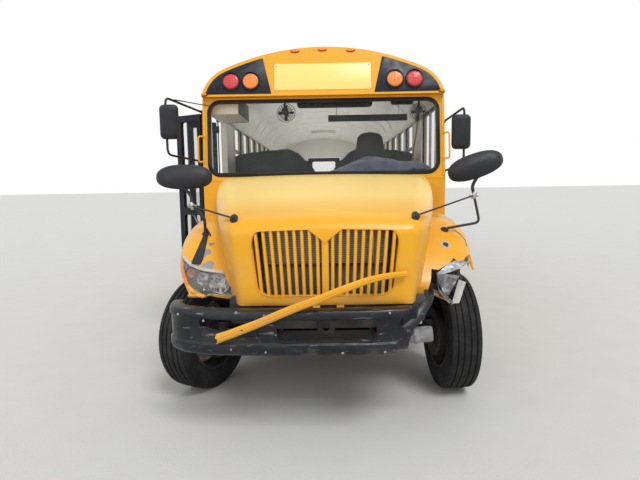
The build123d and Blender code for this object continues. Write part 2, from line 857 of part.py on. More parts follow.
# One cross-section of a fender, from the hood's side over the wheel and down
def fender_section(row, side, inset, below, start_y):
    behind, top, outer_in, turn_z, foot = row
    outer = half_body - outer_in
    flat_x = outer - fender_round
    with BuildSketch(station(start_y + behind)) as section:
        with BuildLine():
            Polyline(
                (side * (outer - inset), turn_z - inset),
                (side * (outer - inset), foot - below),
                (side * fender_inner_x, foot - below),
                (side * fender_inner_x, top - inset),
                (side * flat_x, top - inset),
            )
            ThreePointArc(
                (side * flat_x, top - inset),
                (side * (flat_x + 0.62 * (fender_round - inset)), turn_z - inset + 0.7 * (top - turn_z)),
                (side * (outer - inset), turn_z - inset),
            )
        make_face()
    return section.sketch


# Outlines seen from the front, as X and Z: the grille opening, the right headlamp and
# the metal that is torn away at the left corner
grille_outline = (
    (-440, 1000),
    (-478, 1330),
    (-450, 1392),
    (-105, 1400),
    (0, 1318),
    (105, 1400),
    (450, 1392),
    (478, 1330),
    (440, 1000),
    (375, 968),
    (-375, 968),
)
headlamp_outline = (
    (99 - half_body, 1180),
    (504 - half_body, 1066),
    (607 - half_body, 884),
    (359 - half_body, 900),
    (234 - half_body, 965),
    (159 - half_body, 1050),
)
torn_outline = (
    (688, 800),
    (700, 935),
    (742, 1085),
    (835, 1100),
    (930, 1158),
    (1005, 1122),
    (1105, 1160),
    (1300, 1130),
    (1300, 800),
)
torn_rear_y = front_axle_y - 150
lamp_rear_y = front_axle_y - 400

# The hood and fenders as one closed block, which the mirror feet are cut to as well
with BuildPart() as hood_block:
    loft([hood_section(row, 0, hood_foot_z, hood_front_y) for row in hood_rows], ruled=True)
    for side in (-1, 1):
        loft([fender_section(row, side, 0, 0, front_axle_y) for row in fender_rows])

with BuildPart() as hood:
    add(hood_block.part)
    inner_front_y = hood_front_y + hood_skin
    loft(
        [hood_section(row, hood_skin, hood_foot_z - 60, inner_front_y) for row in hood_rows],
        ruled=True,
        mode=Mode.SUBTRACT,
    )
    for side in (-1, 1):
        loft(
            [fender_section(row, side, hood_skin, 60, front_axle_y + hood_skin) for row in fender_rows],
            mode=Mode.SUBTRACT,
        )
        with BuildSketch(Plane.YZ.offset(side * 560)):
            with Locations((front_axle_y, tyre_radius)):
                Circle(front_arch_radius)
        extrude(amount=side * 800, mode=Mode.SUBTRACT)
    with BuildSketch(station(hood_front_y + 60)):
        with BuildLine():
            Polyline(*grille_outline, close=True)
        make_face()
    extrude(amount=200, mode=Mode.SUBTRACT)
    with BuildSketch(station(lamp_rear_y)):
        with BuildLine():
            Polyline(*headlamp_outline, close=True)
        make_face()
    extrude(amount=400, mode=Mode.SUBTRACT)
    with BuildSketch(station(torn_rear_y)):
        with BuildLine():
            Polyline(*torn_outline, close=True)
        make_face()
    extrude(amount=700, mode=Mode.SUBTRACT)
hood.part.label = "hood"
export_step(hood.part, "parts/hood.step")

with BuildPart() as headlamp_right:
    loft([fender_section(row, -1, 0, 0, front_axle_y) for row in fender_rows[:4]])
    with BuildSketch(station(lamp_rear_y)):
        with BuildLine():
            Polyline(*headlamp_outline, close=True)
        make_face()
    extrude(amount=400, mode=Mode.INTERSECT)
headlamp_right.part.label = "headlamp_right"
export_step(headlamp_right.part, "parts/headlamp_right.step")

# Grille bars fan out towards the top and stop at the opening's edge

bar_depth = 32
bar_pitch_foot = 2 * grille_foot_half / (grille_slots + 1)
bar_pitch_top = 2 * grille_top_half / (grille_slots + 1)
with BuildPart() as grille:
    with BuildSketch(station(hood_front_y + bar_depth)):
        for i in range(grille_slots + 1):
            foot_x = bar_pitch_foot * (i - grille_slots / 2)
            top_x = bar_pitch_top * (i - grille_slots / 2)
            half_bar = grille_bar if i == grille_slots // 2 else grille_bar / 2
            with BuildLine():
                Polyline(
                    (foot_x - half_bar, 900),
                    (top_x - half_bar, 1450),
                    (top_x + half_bar, 1450),
                    (foot_x + half_bar, 900),
                    close=True,
                )
            make_face()
        with BuildLine():
            Polyline(*grille_outline, close=True)
        make_face(mode=Mode.INTERSECT)
    extrude(amount=bar_depth)
grille.part.label = "grille"
export_step(grille.part, "parts/grille.step")

# Bumper: a curved channel with one end torn off

bumper_depth = 90
bumper_half = half_body - 154
bumper_bow = bumper_half - 305
bumper_end_y = front_axle_y - 675
bracket_length = rail_front_y - bumper_face_y - 23
opening_half = 310
with BuildPart() as front_bumper:
    for thickness, foot, height in (
        (bumper_steel, bumper_foot_z, bumper_height),
        (bumper_depth, bumper_foot_z, bumper_steel),
        (bumper_depth, bumper_foot_z + bumper_height - bumper_steel, bumper_steel),
    ):
        with BuildSketch(Plane.XY.offset(foot)) as band:
            with BuildLine():
                Polyline(
                    (-bumper_bow, front_axle_y - 985),
                    (-bumper_bow - 200, front_axle_y - 905),
                    (-bumper_bow - 275, front_axle_y - 800),
                    (-bumper_half, bumper_end_y),
                    (bumper_half, bumper_end_y),
                    (bumper_bow + 275, front_axle_y - 800),
                    (bumper_bow + 200, front_axle_y - 905),
                    (bumper_bow, front_axle_y - 985),
                )
                ThreePointArc(
                    (bumper_bow, front_axle_y - 985),
                    (0, bumper_face_y),
                    (-bumper_bow, front_axle_y - 985),
                )
            make_face()
            offset(amount=-thickness, mode=Mode.SUBTRACT)
            with Locations((0, bumper_end_y)):
                Rectangle(2 * (bumper_half - thickness), 2 * thickness, mode=Mode.SUBTRACT)
        extrude(amount=height)
    with BuildSketch(station(front_axle_y - 800)):
        with Locations((0, 783)):
            RectangleRounded(2 * opening_half, 127, 40)
        with BuildLine():
            Polyline((-800, 860), (-480, 845), (-430, 730), (-560, 745), (-790, 800), close=True)
        make_face()
    extrude(amount=400, mode=Mode.SUBTRACT)
    with BuildSketch(station(front_axle_y)):
        with BuildLine():
            Polyline(
                (bumper_torn_x, 500),
                (bumper_torn_x - 40, 690),
                (bumper_torn_x + 50, 760),
                (bumper_torn_x - 10, 840),
                (bumper_torn_x + 70, 1000),
                (1300, 1000),
                (1300, 500),
                close=True,
            )
        make_face()
    extrude(amount=1200, mode=Mode.SUBTRACT)
    for side in (-1, 1):
        with Locations((side * rail_x, rail_front_y, rail_middle_z - 40)):
            Box(60, bracket_length, 170, align=(Align.CENTER, Align.MAX, Align.CENTER))
front_bumper.part.label = "front_bumper"
export_step(front_bumper.part, "parts/front_bumper.step")

# The broken yellow bar that leans across the bumper and the grille

bar_start = Vector(-664, front_axle_y - 1012, 766)
bar_bend = Vector(20, front_axle_y - 1066, 1000)
bar_end = Vector(483, front_axle_y - 905, 1155)
bar_width = 48
bar_sheet = 22
with BuildPart() as broken_bar:
    with BuildLine() as bar_path:
        Polyline(bar_start, bar_bend, bar_end)
    bar_dir = (bar_bend - bar_start).normalized()
    with BuildSketch(Plane(origin=bar_start, x_dir=(0, 1, 0), z_dir=bar_dir)):
        Rectangle(bar_sheet, bar_width)
    sweep(path=bar_path.line, transition=Transition.RIGHT)
    add(front_bumper.part, mode=Mode.SUBTRACT)
broken_bar.part.label = "broken_bar"
export_step(broken_bar.part, "parts/broken_bar.step")

# Tow eye: a loop that faces forwards on two arms, behind the bumper's central opening

tow_eye_radius = 22
tow_eye_y = front_axle_y - 925
tow_eye_z = 770
tow_eye_plate = 26
tow_eye_size = 110
tow_arm = 18
with BuildPart() as tow_eye:
    with BuildSketch(station(tow_eye_y)):
        with Locations((0, tow_eye_z)):
            RectangleRounded(tow_eye_size, tow_eye_size, 20)
            Circle(tow_eye_radius, mode=Mode.SUBTRACT)
    extrude(amount=-tow_eye_plate)
    for side in (-1, 1):
        with Locations((side * (tow_eye_size - tow_arm) / 2, tow_eye_y + 0.5 * tow_eye_plate, tow_eye_z)):
            Box(
                tow_arm,
                first_member_y - member_depth / 2 - tow_eye_y - 0.5 * tow_eye_plate,
                0.6 * tow_eye_size,
                align=(Align.CENTER, Align.MIN, Align.CENTER),
            )
tow_eye.part.label = "tow_eye"
export_step(tow_eye.part, "parts/tow_eye.step")

# Radiator and engine

with BuildPart() as radiator:
    with Locations((0, front_axle_y - 745, rail_top)):
        Box(2 * 425, 80, 460, align=(Align.CENTER, Align.CENTER, Align.MIN))
radiator.part.label = "radiator"
export_step(radiator.part, "parts/radiator.step")

engine_half = 330
engine_rear = 1700
with BuildPart() as engine:
    with Locations((0, front_axle_y + 130, 660)):
        Box(2 * engine_half, 1380, 700, align=(Align.CENTER, Align.CENTER, Align.MIN))
    with Locations((0, front_axle_y + engine_rear, 560)):
        Box(380, 950, 165, align=(Align.CENTER, Align.MAX, Align.MIN))
    for mount_y in (-250, 600):
        with Locations((0, front_axle_y + mount_y, 830)):
            Box(2 * (rail_outer_x - rail_steel), 120, 60)
engine.part.label = "engine"
export_step(engine.part, "parts/engine.step")

# Front axle: a dropped beam on two leaf springs

beam_eye = 58
beam_eye_height = 120
pin_radius = 24
spring_reach = 620
spring_sag = 120
spring_pack = 60
spring_width = 70


# A leaf spring pack seen from the side: an arc of constant thickness through the axle
def spring_pack_face(axle_y, middle_z, reach, sag):
    with BuildLine() as outline:
        ThreePointArc(
            (axle_y - reach, middle_z + sag),
            (axle_y, middle_z),
            (axle_y + reach, middle_z + sag),
        )
        Line((axle_y + reach, middle_z + sag), (axle_y + reach, middle_z + sag + spring_pack / 2))
        ThreePointArc(
            (axle_y + reach, middle_z + sag + spring_pack / 2),
            (axle_y, middle_z + spring_pack),
            (axle_y - reach, middle_z + sag + spring_pack / 2),
        )
        Line((axle_y - reach, middle_z + sag + spring_pack / 2), (axle_y - reach, middle_z + sag))
    make_face(outline.edges())


beam_top = tyre_radius + 20
with BuildPart() as front_axle:
    with BuildSketch(station(front_axle_y - 35)):
        with BuildLine():
            Polyline(
                (50 - kingpin_x, tyre_radius + 50),
                (-kingpin_x + 190, beam_top + 12),
                (-kingpin_x + 290, beam_top),
                (kingpin_x - 290, beam_top),
                (kingpin_x - 190, beam_top + 12),
                (kingpin_x - 50, tyre_radius + 50),
                (kingpin_x - 50, tyre_radius - 50),
                (kingpin_x - 190, beam_top - 88),
                (kingpin_x - 290, beam_top - 100),
                (-kingpin_x + 290, beam_top - 100),
                (-kingpin_x + 190, beam_top - 88),
                (50 - kingpin_x, tyre_radius - 50),
                close=True,
            )
        make_face()
    extrude(amount=-70)
    with Locations((kingpin_x, front_axle_y, tyre_radius), (-kingpin_x, front_axle_y, tyre_radius)):
        Cylinder(beam_eye, beam_eye_height)
        Cylinder(pin_radius + running_fit, 2 * beam_eye_height, mode=Mode.SUBTRACT)
    for side in (-1, 1):
        spring_x = side * rail_x
        with BuildSketch(Plane.YZ.offset(spring_x - spring_width / 2)):
            spring_pack_face(front_axle_y, beam_top - 1, spring_reach, spring_sag)
        extrude(amount=spring_width)
        for end in (-1, 1):
            hanger_z = beam_top + spring_sag
            with Locations((spring_x, front_axle_y + end * spring_reach, hanger_z)):
                Box(
                    spring_width,
                    60,
                    rail_top - rail_height - hanger_z,
                    align=(Align.CENTER, Align.CENTER, Align.MIN),
                )
front_axle.part.label = "front_axle"
export_step(front_axle.part, "parts/front_axle.step")

# Knuckles and front wheels, each drawn in the frame of its own steered hub

ear_height = 42
spindle_radius = 38
spindle_end = 255


def disc_profile(hub_bore):
    return (
        (-60, 95, hub_bore, hub_radius),
        (62, 76, hub_radius - 5, rim_radius - 12),
        (-rim_width / 2, rim_width / 2, rim_radius - 20, rim_radius),
        (-rim_width / 2 - 9, -rim_width / 2, rim_radius - 20, rim_radius + 16),
        (rim_width / 2, rim_width / 2 + 9, rim_radius - 20, rim_radius + 16),
        (-95, 66, drum_radius - 16, drum_radius),
    )


# Half of a tyre's section from the bead over the sidewall to the shoulder
def tyre_points(middle, side):
    bead = rim_width / 2 - play
    half = tyre_width / 2
    return (
        (middle + side * bead, rim_radius),
        (middle + side * bead, rim_radius + 18),
        (middle + side * (half - 1), rim_radius + 66),
        (middle + side * half, rim_radius + 100),
        (middle + side * (half - 9), tyre_radius - 28),
        (middle + side * (half - 20), tyre_radius - 5),
        (middle + side * (half - 26), tyre_radius),
    )


# A tyre's section: along is the distance on the axle, out the distance from it
def tyre_face(middle):
    left = tyre_points(middle, -1)
    right = tyre_points(middle, 1)
    tread_half = tyre_width / 2 - 26
    with BuildLine() as outline:
        Polyline(*left, *reversed(right), close=True)
    make_face(outline.edges())
    with BuildLine() as cavity:
        Polyline(
            (middle - rim_width / 2 + 16, rim_radius - 1),
            (middle - tyre_width / 2 + 14, rim_radius + 80),
            (middle - tyre_width / 2 + 22, tyre_radius - 40),
            (middle - tread_half + 10, tyre_radius - 24),
            (middle + tread_half - 10, tyre_radius - 24),
            (middle + tyre_width / 2 - 22, tyre_radius - 40),
            (middle + tyre_width / 2 - 14, rim_radius + 80),
            (middle + rim_width / 2 - 16, rim_radius - 1),
            close=True,
        )
    make_face(cavity.edges(), mode=Mode.SUBTRACT)
    for i in range(groove_count):
        groove_x = middle + (i - (groove_count - 1) / 2) * 2 * tread_half / groove_count
        with Locations((groove_x, tyre_radius - tread_depth / 2)):
            Rectangle(groove_width, tread_depth, mode=Mode.SUBTRACT)


# Plane through an axle line: local x runs along the axle, local y is the radius
def axle_plane(centre, turn):
    angle = math.radians(turn)
    return Plane(
        origin=centre,
        x_dir=(math.cos(angle), math.sin(angle), 0),
        z_dir=(math.sin(angle), -math.cos(angle), 0),
    )


for side_name, side, steer in (("left", 1, steer_left), ("right", -1, steer_right)):
    turn = side * steer
    pin_centre = (side * kingpin_x, front_axle_y, tyre_radius)
    hub_axis_plane = axle_plane(pin_centre, turn)
    spin_axis = Axis(pin_centre, hub_axis_plane.x_dir)
    steered = Plane(origin=pin_centre, x_dir=hub_axis_plane.x_dir, z_dir=(0, 0, 1))
    ear_z = beam_eye_height / 2 + 4 + ear_height / 2
    with BuildPart(steered) as knuckle:
        Cylinder(pin_radius, 2 * ear_z + ear_height)
        with Locations((0, 0, ear_z), (0, 0, -ear_z)):
            Cylinder(pin_radius + 32, ear_height)
        for level in (-ear_z, ear_z):
            with Locations((side * 45, 0, level)):
                Box(70, 100, ear_height)
        with Locations((side * 78, 0, 0)):
            Box(26, 130, 2 * ear_z + ear_height)
        with Locations((side * (78 + spindle_end) / 2, 0, 0)):
            Cylinder(spindle_radius, spindle_end - 78, rotation=(0, 90, 0))
        with Locations((-side * 20, 110, -ear_z)):
            Box(36, 220, 30)
    knuckle.part.label = f"knuckle_{side_name}"
    export_step(knuckle.part, f"parts/knuckle_{side_name}.step")

    with BuildPart() as rim:
        with BuildSketch(hub_axis_plane):
            for start, end, inner, outer in disc_profile(spindle_radius + running_fit):
                with Locations((side * (wheel_offset + (start + end) / 2), (inner + outer) / 2)):
                    Rectangle(end - start, outer - inner)
        revolve(axis=spin_axis)
    rim.part.label = f"rim_front_{side_name}"
    export_step(rim.part, f"parts/rim_front_{side_name}.step")

    with BuildPart() as tyre:
        with BuildSketch(hub_axis_plane):
            tyre_face(side * wheel_offset)
        revolve(axis=spin_axis)
    tyre.part.label = f"tyre_front_{side_name}"
    export_step(tyre.part, f"parts/tyre_front_{side_name}.step")

# Rear axle with its springs and driveshaft, and the twin wheels

dual_inner_x = dual_outer_x - dual_spacing
dual_middle_x = dual_outer_x - dual_spacing / 2
axle_tube_radius = 65
rear_spindle_radius = 45
shaft_radius = 50
tube_end_x = 590
rear_spring_x = rail_outer_x + spring_width / 2
with BuildPart() as rear_axle:
    with Locations((0, rear_axle_y, tyre_radius)):
        Cylinder(axle_tube_radius, 2 * tube_end_x, rotation=(0, 90, 0))
        Cylinder(rear_spindle_radius, 2 * (dual_middle_x + 120), rotation=(0, 90, 0))
        Cylinder(205, 300, rotation=(0, 90, 0))
    with Locations((0, rear_axle_y - 230, tyre_radius)):
        Cylinder(70, 120, rotation=(90, 0, 0))
    for side in (-1, 1):
        with BuildSketch(Plane.YZ.offset(side * rear_spring_x - spring_width / 2)):
            spring_pack_face(rear_axle_y, tyre_radius + axle_tube_radius - 4, 700, 110)
        extrude(amount=spring_width)
        for end in (-1, 1):
            with Locations((side * rear_spring_x, rear_axle_y + end * 700, 640)):
                Box(spring_width, 60, 200, align=(Align.CENTER, Align.CENTER, Align.MIN))
    with BuildSketch(station(front_axle_y + engine_rear)):
        with Locations((0, 640)):
            Circle(shaft_radius)
    with BuildSketch(station(rear_axle_y - 289)):
        with Locations((0, tyre_radius)):
            Circle(shaft_radius)
    loft()
rear_axle.part.label = "rear_axle"
export_step(rear_axle.part, "parts/rear_axle.step")

# Sections of a twin rim, as along from the middle between the wheels, and radius
twin_sections = (
    (-170, 130, rear_spindle_radius + running_fit, hub_radius),
    (-16, 16, hub_radius - 5, 175),
    (-300, -15, drum_radius - 16, drum_radius),
    (-24, 0, 170, drum_radius + 4),
)
for side_name, side in (("left", 1), ("right", -1)):
    rear_centre = (0, rear_axle_y, tyre_radius)
    rear_plane = axle_plane(rear_centre, 0)
    rear_spin = Axis(rear_centre, (1, 0, 0))
    with BuildPart() as rim:
        with BuildSketch(rear_plane):
            for start, end, inner, outer in twin_sections:
                with Locations((side * (dual_middle_x + (start + end) / 2), (inner + outer) / 2)):
                    Rectangle(end - start, outer - inner)
            for middle, lean in ((dual_outer_x, 1), (dual_inner_x, -1)):
                with Locations((side * middle, rim_radius - 10)):
                    Rectangle(rim_width, 20)
                for lip in (-1, 1):
                    with Locations((side * (middle + lip * (rim_width / 2 + 4.5)), rim_radius - 2)):
                        Rectangle(9, 36)
                foot_x = dual_middle_x + lean * 4
                rim_x = middle - lean * 40
                with BuildLine():
                    Polyline(
                        (side * foot_x, 165),
                        (side * (foot_x + lean * 12), 165),
                        (side * (rim_x + lean * 12), rim_radius - 18),
                        (side * rim_x, rim_radius - 18),
                        close=True,
                    )
                make_face()
        revolve(axis=rear_spin)
    rim.part.label = f"rims_rear_{side_name}"
    export_step(rim.part, f"parts/rims_rear_{side_name}.step")

    with BuildPart() as tyre:
        with BuildSketch(rear_plane):
            for middle in (dual_outer_x, dual_inner_x):
                tyre_face(side * middle)
        revolve(axis=rear_spin)
    tyre.part.label = f"tyres_rear_{side_name}"
    export_step(tyre.part, f"parts/tyres_rear_{side_name}.step")

# Rear bumper

with BuildPart() as rear_bumper:
    with Locations((0, rear_y + rear_bumper_depth / 2, skirt_z + 110)):
        Box(body_width - 60, rear_bumper_depth, 240)
        Box(body_width - 60 - 24, rear_bumper_depth, 216, mode=Mode.SUBTRACT)
    with Locations((0, rear_y + rear_bumper_depth - 8, skirt_z + 110)):
        Box(body_width - 60, 16, 240)
    fillet(rear_bumper.edges().filter_by(Axis.Z).group_by(Axis.Y)[-1], 40)
rear_bumper.part.label = "rear_bumper"
export_step(rear_bumper.part, "parts/rear_bumper.step")

# Mirrors: each hangs on a bent tube from the body's front corner

tube_radius = 11
flat_mirror = (170, 60, 310)
mirror_y = front_axle_y + 500
corner_y = cowl_y + wall / 2
mirror_places = (("left", 1, half_body + 16, 2135), ("right", -1, half_body + 166, 2265))
for side_name, side, mirror_x, mirror_z in mirror_places:
    tube_x = side * (mirror_x + 25)
    with BuildPart() as mirror:
        with BuildLine() as mirror_path:
            FilletPolyline(
                (side * (half_body + 14), corner_y + 60, mirror_z + 170),
                (tube_x, mirror_y, mirror_z + 215),
                (tube_x, mirror_y, mirror_z - 290),
                (side * (half_body + 14), corner_y + 30, mirror_z - 330),
                radius=60,
            )
        with BuildSketch(Plane(origin=mirror_path.line @ 0, z_dir=mirror_path.line % 0)):
            Circle(tube_radius)
        sweep(path=mirror_path.line)
        with Locations((side * mirror_x, mirror_y - 5, mirror_z)):
            Box(*flat_mirror)
        for foot_y, foot_z in ((corner_y + 60, mirror_z + 170), (corner_y + 30, mirror_z - 330)):
            with Locations((side * (half_body + 13), foot_y, foot_z)):
                Box(26, 60, 70)
    mirror.part.label = f"mirror_{side_name}"
    export_step(mirror.part, f"parts/mirror_{side_name}.step")

# Cross-view mirrors: a domed oval on a mast from the fender and a rod to the hood

dish_half = (215, 95)
dish_depth = 80
for side_name, side, dish_x, dish_z, dish_roll in (
    ("left", 1, half_body - 69, 1815, -18),
    ("right", -1, half_body - 199, 1765, 0),
):
    dish_y = front_axle_y - 280
    joint = Vector(side * (dish_x - 15), dish_y + 20, dish_z - 230)
    pad = Vector(side * (half_body - 564), front_axle_y - 480, 1462)
    mast_foot = Vector(side * (half_body - 319), front_axle_y - 300, 1345)
    with BuildPart() as crossview:
        with BuildSketch(Plane(origin=(side * dish_x, dish_y, dish_z), x_dir=(1, 0, 0), z_dir=(0, 1, 0))):
            Ellipse(*dish_half, rotation=dish_roll)
        with BuildSketch(
            Plane(origin=(side * dish_x, dish_y + dish_depth, dish_z), x_dir=(1, 0, 0), z_dir=(0, 1, 0))
        ):
            Ellipse(0.6 * dish_half[0], 0.45 * dish_half[1], rotation=dish_roll)
        loft()
        for start, end, radius in (
            (Vector(side * dish_x, dish_y + 40, dish_z), joint, 12),
            (joint, pad, 8),
            (joint, mast_foot, 12),
        ):
            with BuildSketch(Plane(origin=start, z_dir=end - start)):
                Circle(radius)
            extrude(amount=(end - start).length)
        with Locations(joint):
            Sphere(20)
        with Locations(pad):
            Sphere(30)
        with Locations(mast_foot):
            Sphere(28)
        add(hood_block.part, mode=Mode.SUBTRACT)
    crossview.part.label = f"crossview_{side_name}"
    export_step(crossview.part, f"parts/crossview_{side_name}.step")

# Warning lamps on the front and rear, two on each side

lamp_radius = 92
lamp_length = 45
lamp_z = header_z + 138
lamp_outer_x = half_body - 309
lamp_inner_x = half_body - 504
lamp_xs = (-lamp_outer_x, -lamp_inner_x, lamp_inner_x, lamp_outer_x)
lamp_planes = {
    "front": cap_plane,
    "rear": Plane(origin=(0, rear_y, header_z), x_dir=(1, 0, 0), z_dir=(0, 1, 0)),
}
for lamps_name, lamp_plane in lamp_planes.items():
    rise = (lamp_z - header_z) / lamp_plane.y_dir.Z
    with BuildPart() as lamps:
        with BuildSketch(lamp_plane):
            with Locations(*[(lamp_x, rise) for lamp_x in lamp_xs]):
                Circle(lamp_radius)
        extrude(amount=lamp_length)
    lamps.part.label = f"warning_lamps_{lamps_name}"
    export_step(lamps.part, f"parts/warning_lamps_{lamps_name}.step")

# Stop arm: an octagon that folds flat against the left side

stop_size = 450
stop_barrel = 150
stop_pin = 8
stop_thickness = 20
stop_z = 1540
stop_hinge_y = cowl_y + 300
stop_x = half_body + rub_depth + 26
with BuildPart() as stop_arm:
    with BuildSketch(Plane.YZ.offset(stop_x)):
        with Locations((stop_hinge_y + 60 + stop_size / 2, stop_z)):
            RegularPolygon(stop_size / 2, 8, major_radius=False, rotation=22.5)
        with Locations((stop_hinge_y + 45, stop_z)):
            Rectangle(90, stop_barrel)
    extrude(amount=stop_thickness)
    with Locations((stop_x + stop_thickness / 2, stop_hinge_y, stop_z)):
        Cylinder(16, stop_barrel)
        Cylinder(stop_pin + running_fit, 2 * stop_barrel, mode=Mode.SUBTRACT)
stop_arm.part.label = "stop_arm"
export_step(stop_arm.part, "parts/stop_arm.step")

with BuildPart() as stop_arm_bracket:
    bracket_x = (half_body + stop_x + stop_thickness / 2) / 2
    for level in (-1, 1):
        with Locations((bracket_x + 8, stop_hinge_y, stop_z + level * (stop_barrel / 2 + play + 14))):
            Box(stop_x + stop_thickness / 2 - half_body + 16, 40, 28)
    with Locations((stop_x + stop_thickness / 2, stop_hinge_y, stop_z)):
        Cylinder(stop_pin, stop_barrel + 40)
stop_arm_bracket.part.label = "stop_arm_bracket"
export_step(stop_arm_bracket.part, "parts/stop_arm_bracket.step")

# Under the floor: fuel tank, and muffler with its pipe

with BuildPart() as fuel_tank:
    with BuildSketch(Plane.XZ.offset(-(front_axle_y + 2600))):
        with Locations((-(rail_outer_x + 240), 690)):
            RectangleRounded(460, 480, 90)
    extrude(amount=-1100)
    for strap_y in (2800, 3500):
        with Locations((-(rail_outer_x + 5), front_axle_y + strap_y, rail_middle_z)):
            Box(10, 60, 200)
fuel_tank.part.label = "fuel_tank"
export_step(fuel_tank.part, "parts/fuel_tank.step")

with BuildPart() as exhaust:
    with Locations((rail_outer_x + 150, front_axle_y + 3300, 700)):
        Cylinder(120, 1100, rotation=(90, 0, 0))
    for hanger_y in (3000, 3600):
        with Locations((rail_outer_x + 20, front_axle_y + hanger_y, 780)):
            Box(40, 60, 60)
    with Locations((rail_outer_x + 150, front_axle_y + 2250, 700)):
        Cylinder(50, 1000, rotation=(90, 0, 0))
exhaust.part.label = "exhaust"
export_step(exhaust.part, "parts/exhaust.step")
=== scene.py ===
import math

import bmesh
import bpy
from mathutils import Matrix, Vector, noise
from mathutils.bvhtree import BVHTree


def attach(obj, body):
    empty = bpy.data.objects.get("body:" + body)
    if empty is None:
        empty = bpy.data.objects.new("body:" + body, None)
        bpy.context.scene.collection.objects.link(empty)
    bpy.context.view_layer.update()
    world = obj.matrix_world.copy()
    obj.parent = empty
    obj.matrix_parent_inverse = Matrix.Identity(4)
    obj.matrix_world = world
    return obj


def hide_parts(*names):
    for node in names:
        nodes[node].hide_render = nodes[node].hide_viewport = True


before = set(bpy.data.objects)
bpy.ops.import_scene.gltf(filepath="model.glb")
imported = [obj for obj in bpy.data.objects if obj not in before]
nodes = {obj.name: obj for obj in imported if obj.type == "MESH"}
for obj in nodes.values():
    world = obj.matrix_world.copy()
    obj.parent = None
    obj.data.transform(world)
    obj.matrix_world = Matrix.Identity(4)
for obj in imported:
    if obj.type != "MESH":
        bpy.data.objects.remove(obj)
noise.seed_set(7)   # noise_vector would otherwise differ from run to run
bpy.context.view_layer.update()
print("frame loaded:", len(nodes), "nodes")

# Main measures of the bus, in metres, that several pieces share
bus = {
    "axleY": -4.780,
    "cowlY": -3.780,
    "rearAxleY": 2.230,
    "rearY": 5.635,
    "half": 1.219,
    "floorZ": 0.990,
    "eavesZ": 2.500,
    "tyreRadius": 0.465,
    "kingpinX": 0.870,
    "steerRight": 25,
    "steerLeft": 3,
}
axleY = bus["axleY"]
cowlY = bus["cowlY"]
rearY = bus["rearY"]
half = bus["half"]


# Node trees

def addNode(tree, kind, inputs=None, **settings):
    made = tree.nodes.new(kind)
    for key, value in settings.items():
        setattr(made, key, value)
    for key, value in (inputs or {}).items():
        socket = made.inputs[key]
        if isinstance(value, bpy.types.NodeSocket):
            tree.links.new(value, socket)
        else:
            socket.default_value = value
    return made


def cloudMask(tree, coords, scale, low, high, stretch=(1, 1, 1), detail=5):
    mapped = addNode(tree, "ShaderNodeMapping", {"Vector": coords, "Scale": stretch})
    cloud = addNode(tree, "ShaderNodeTexNoise", {"Vector": mapped.outputs[0], "Scale": scale, "Detail": detail})
    return addNode(
        tree, "ShaderNodeMapRange",
        {"Value": cloud.outputs["Fac"], "From Min": low, "From Max": high},
    ).outputs[0]


def chipMask(tree, coords, scale, size):
    wobble = addNode(tree, "ShaderNodeTexNoise", {"Vector": coords, "Scale": scale * 2.3, "Detail": 2})
    bent = addNode(
        tree, "ShaderNodeVectorMath",
        {0: coords, 1: wobble.outputs["Color"]}, operation="ADD",
    )
    cells = addNode(tree, "ShaderNodeTexVoronoi", {"Vector": bent.outputs[0], "Scale": scale})
    return addNode(
        tree, "ShaderNodeMapRange",
        {"Value": cells.outputs["Distance"], "From Min": size, "From Max": size * 0.6},
    ).outputs[0]


# A mask that runs along one axis of the object, from 0 at start to 1 at end
def axisMask(tree, coords, axis, start, end):
    split = addNode(tree, "ShaderNodeSeparateXYZ", {"Vector": coords})
    return addNode(
        tree, "ShaderNodeMapRange",
        {"Value": split.outputs[axis], "From Min": start, "From Max": end},
    ).outputs[0]


def multiply(tree, first, second):
    return addNode(tree, "ShaderNodeMath", {0: first, 1: second}, operation="MULTIPLY").outputs[0]


def mixColour(tree, mask, under, over):
    mix = addNode(tree, "ShaderNodeMix", data_type="RGBA")
    for index, value in ((0, mask), (6, under), (7, over)):
        if isinstance(value, bpy.types.NodeSocket):
            tree.links.new(value, mix.inputs[index])
        else:
            mix.inputs[index].default_value = value if index == 0 else (*value, 1)
    return mix.outputs[2]


# A ragged patch around one point
def spotMask(tree, coords, centre, radius, rag):
    torn = addNode(tree, "ShaderNodeTexNoise", {"Vector": coords, "Scale": 22, "Detail": 3})
    away = addNode(
        tree, "ShaderNodeVectorMath", {0: coords, 1: centre}, operation="DISTANCE",
    ).outputs["Value"]
    moved = addNode(
        tree, "ShaderNodeMath", {0: torn.outputs["Fac"], 1: rag, 2: away}, operation="MULTIPLY_ADD",
    ).outputs[0]
    ranged = addNode(tree, "ShaderNodeMapRange", {
        "Value": moved, "From Min": radius + rag * 0.5, "From Max": radius + rag * 0.5 - 0.003,
    })
    return ranged.outputs[0]


def makeMask(tree, coords, layer):
    kind = layer["kind"]
    if kind == "cloud":
        made = cloudMask(
            tree, coords, layer["scale"], layer["low"], layer["high"],
            layer["stretch"],
        )
    elif kind == "chips":
        made = chipMask(tree, coords, layer["scale"], layer["size"])
    elif kind == "cells":
        cells = addNode(tree, "ShaderNodeTexVoronoi", {"Vector": coords, "Scale": layer["scale"]})
        split = addNode(tree, "ShaderNodeSeparateColor", {"Color": cells.outputs["Color"]})
        made = addNode(tree, "ShaderNodeMapRange", {
            "Value": split.outputs[0], "From Min": layer["low"], "From Max": layer["high"],
        }).outputs[0]
    elif kind == "spot":
        made = spotMask(tree, coords, layer["centre"], layer["radius"], layer["rag"])
    else:
        made = axisMask(tree, coords, layer["axis"], layer["start"], layer["end"])
    if layer.get("within"):
        made = multiply(tree, made, makeMask(tree, coords, layer["within"]))
    return multiply(tree, made, layer.get("amount", 1.0))


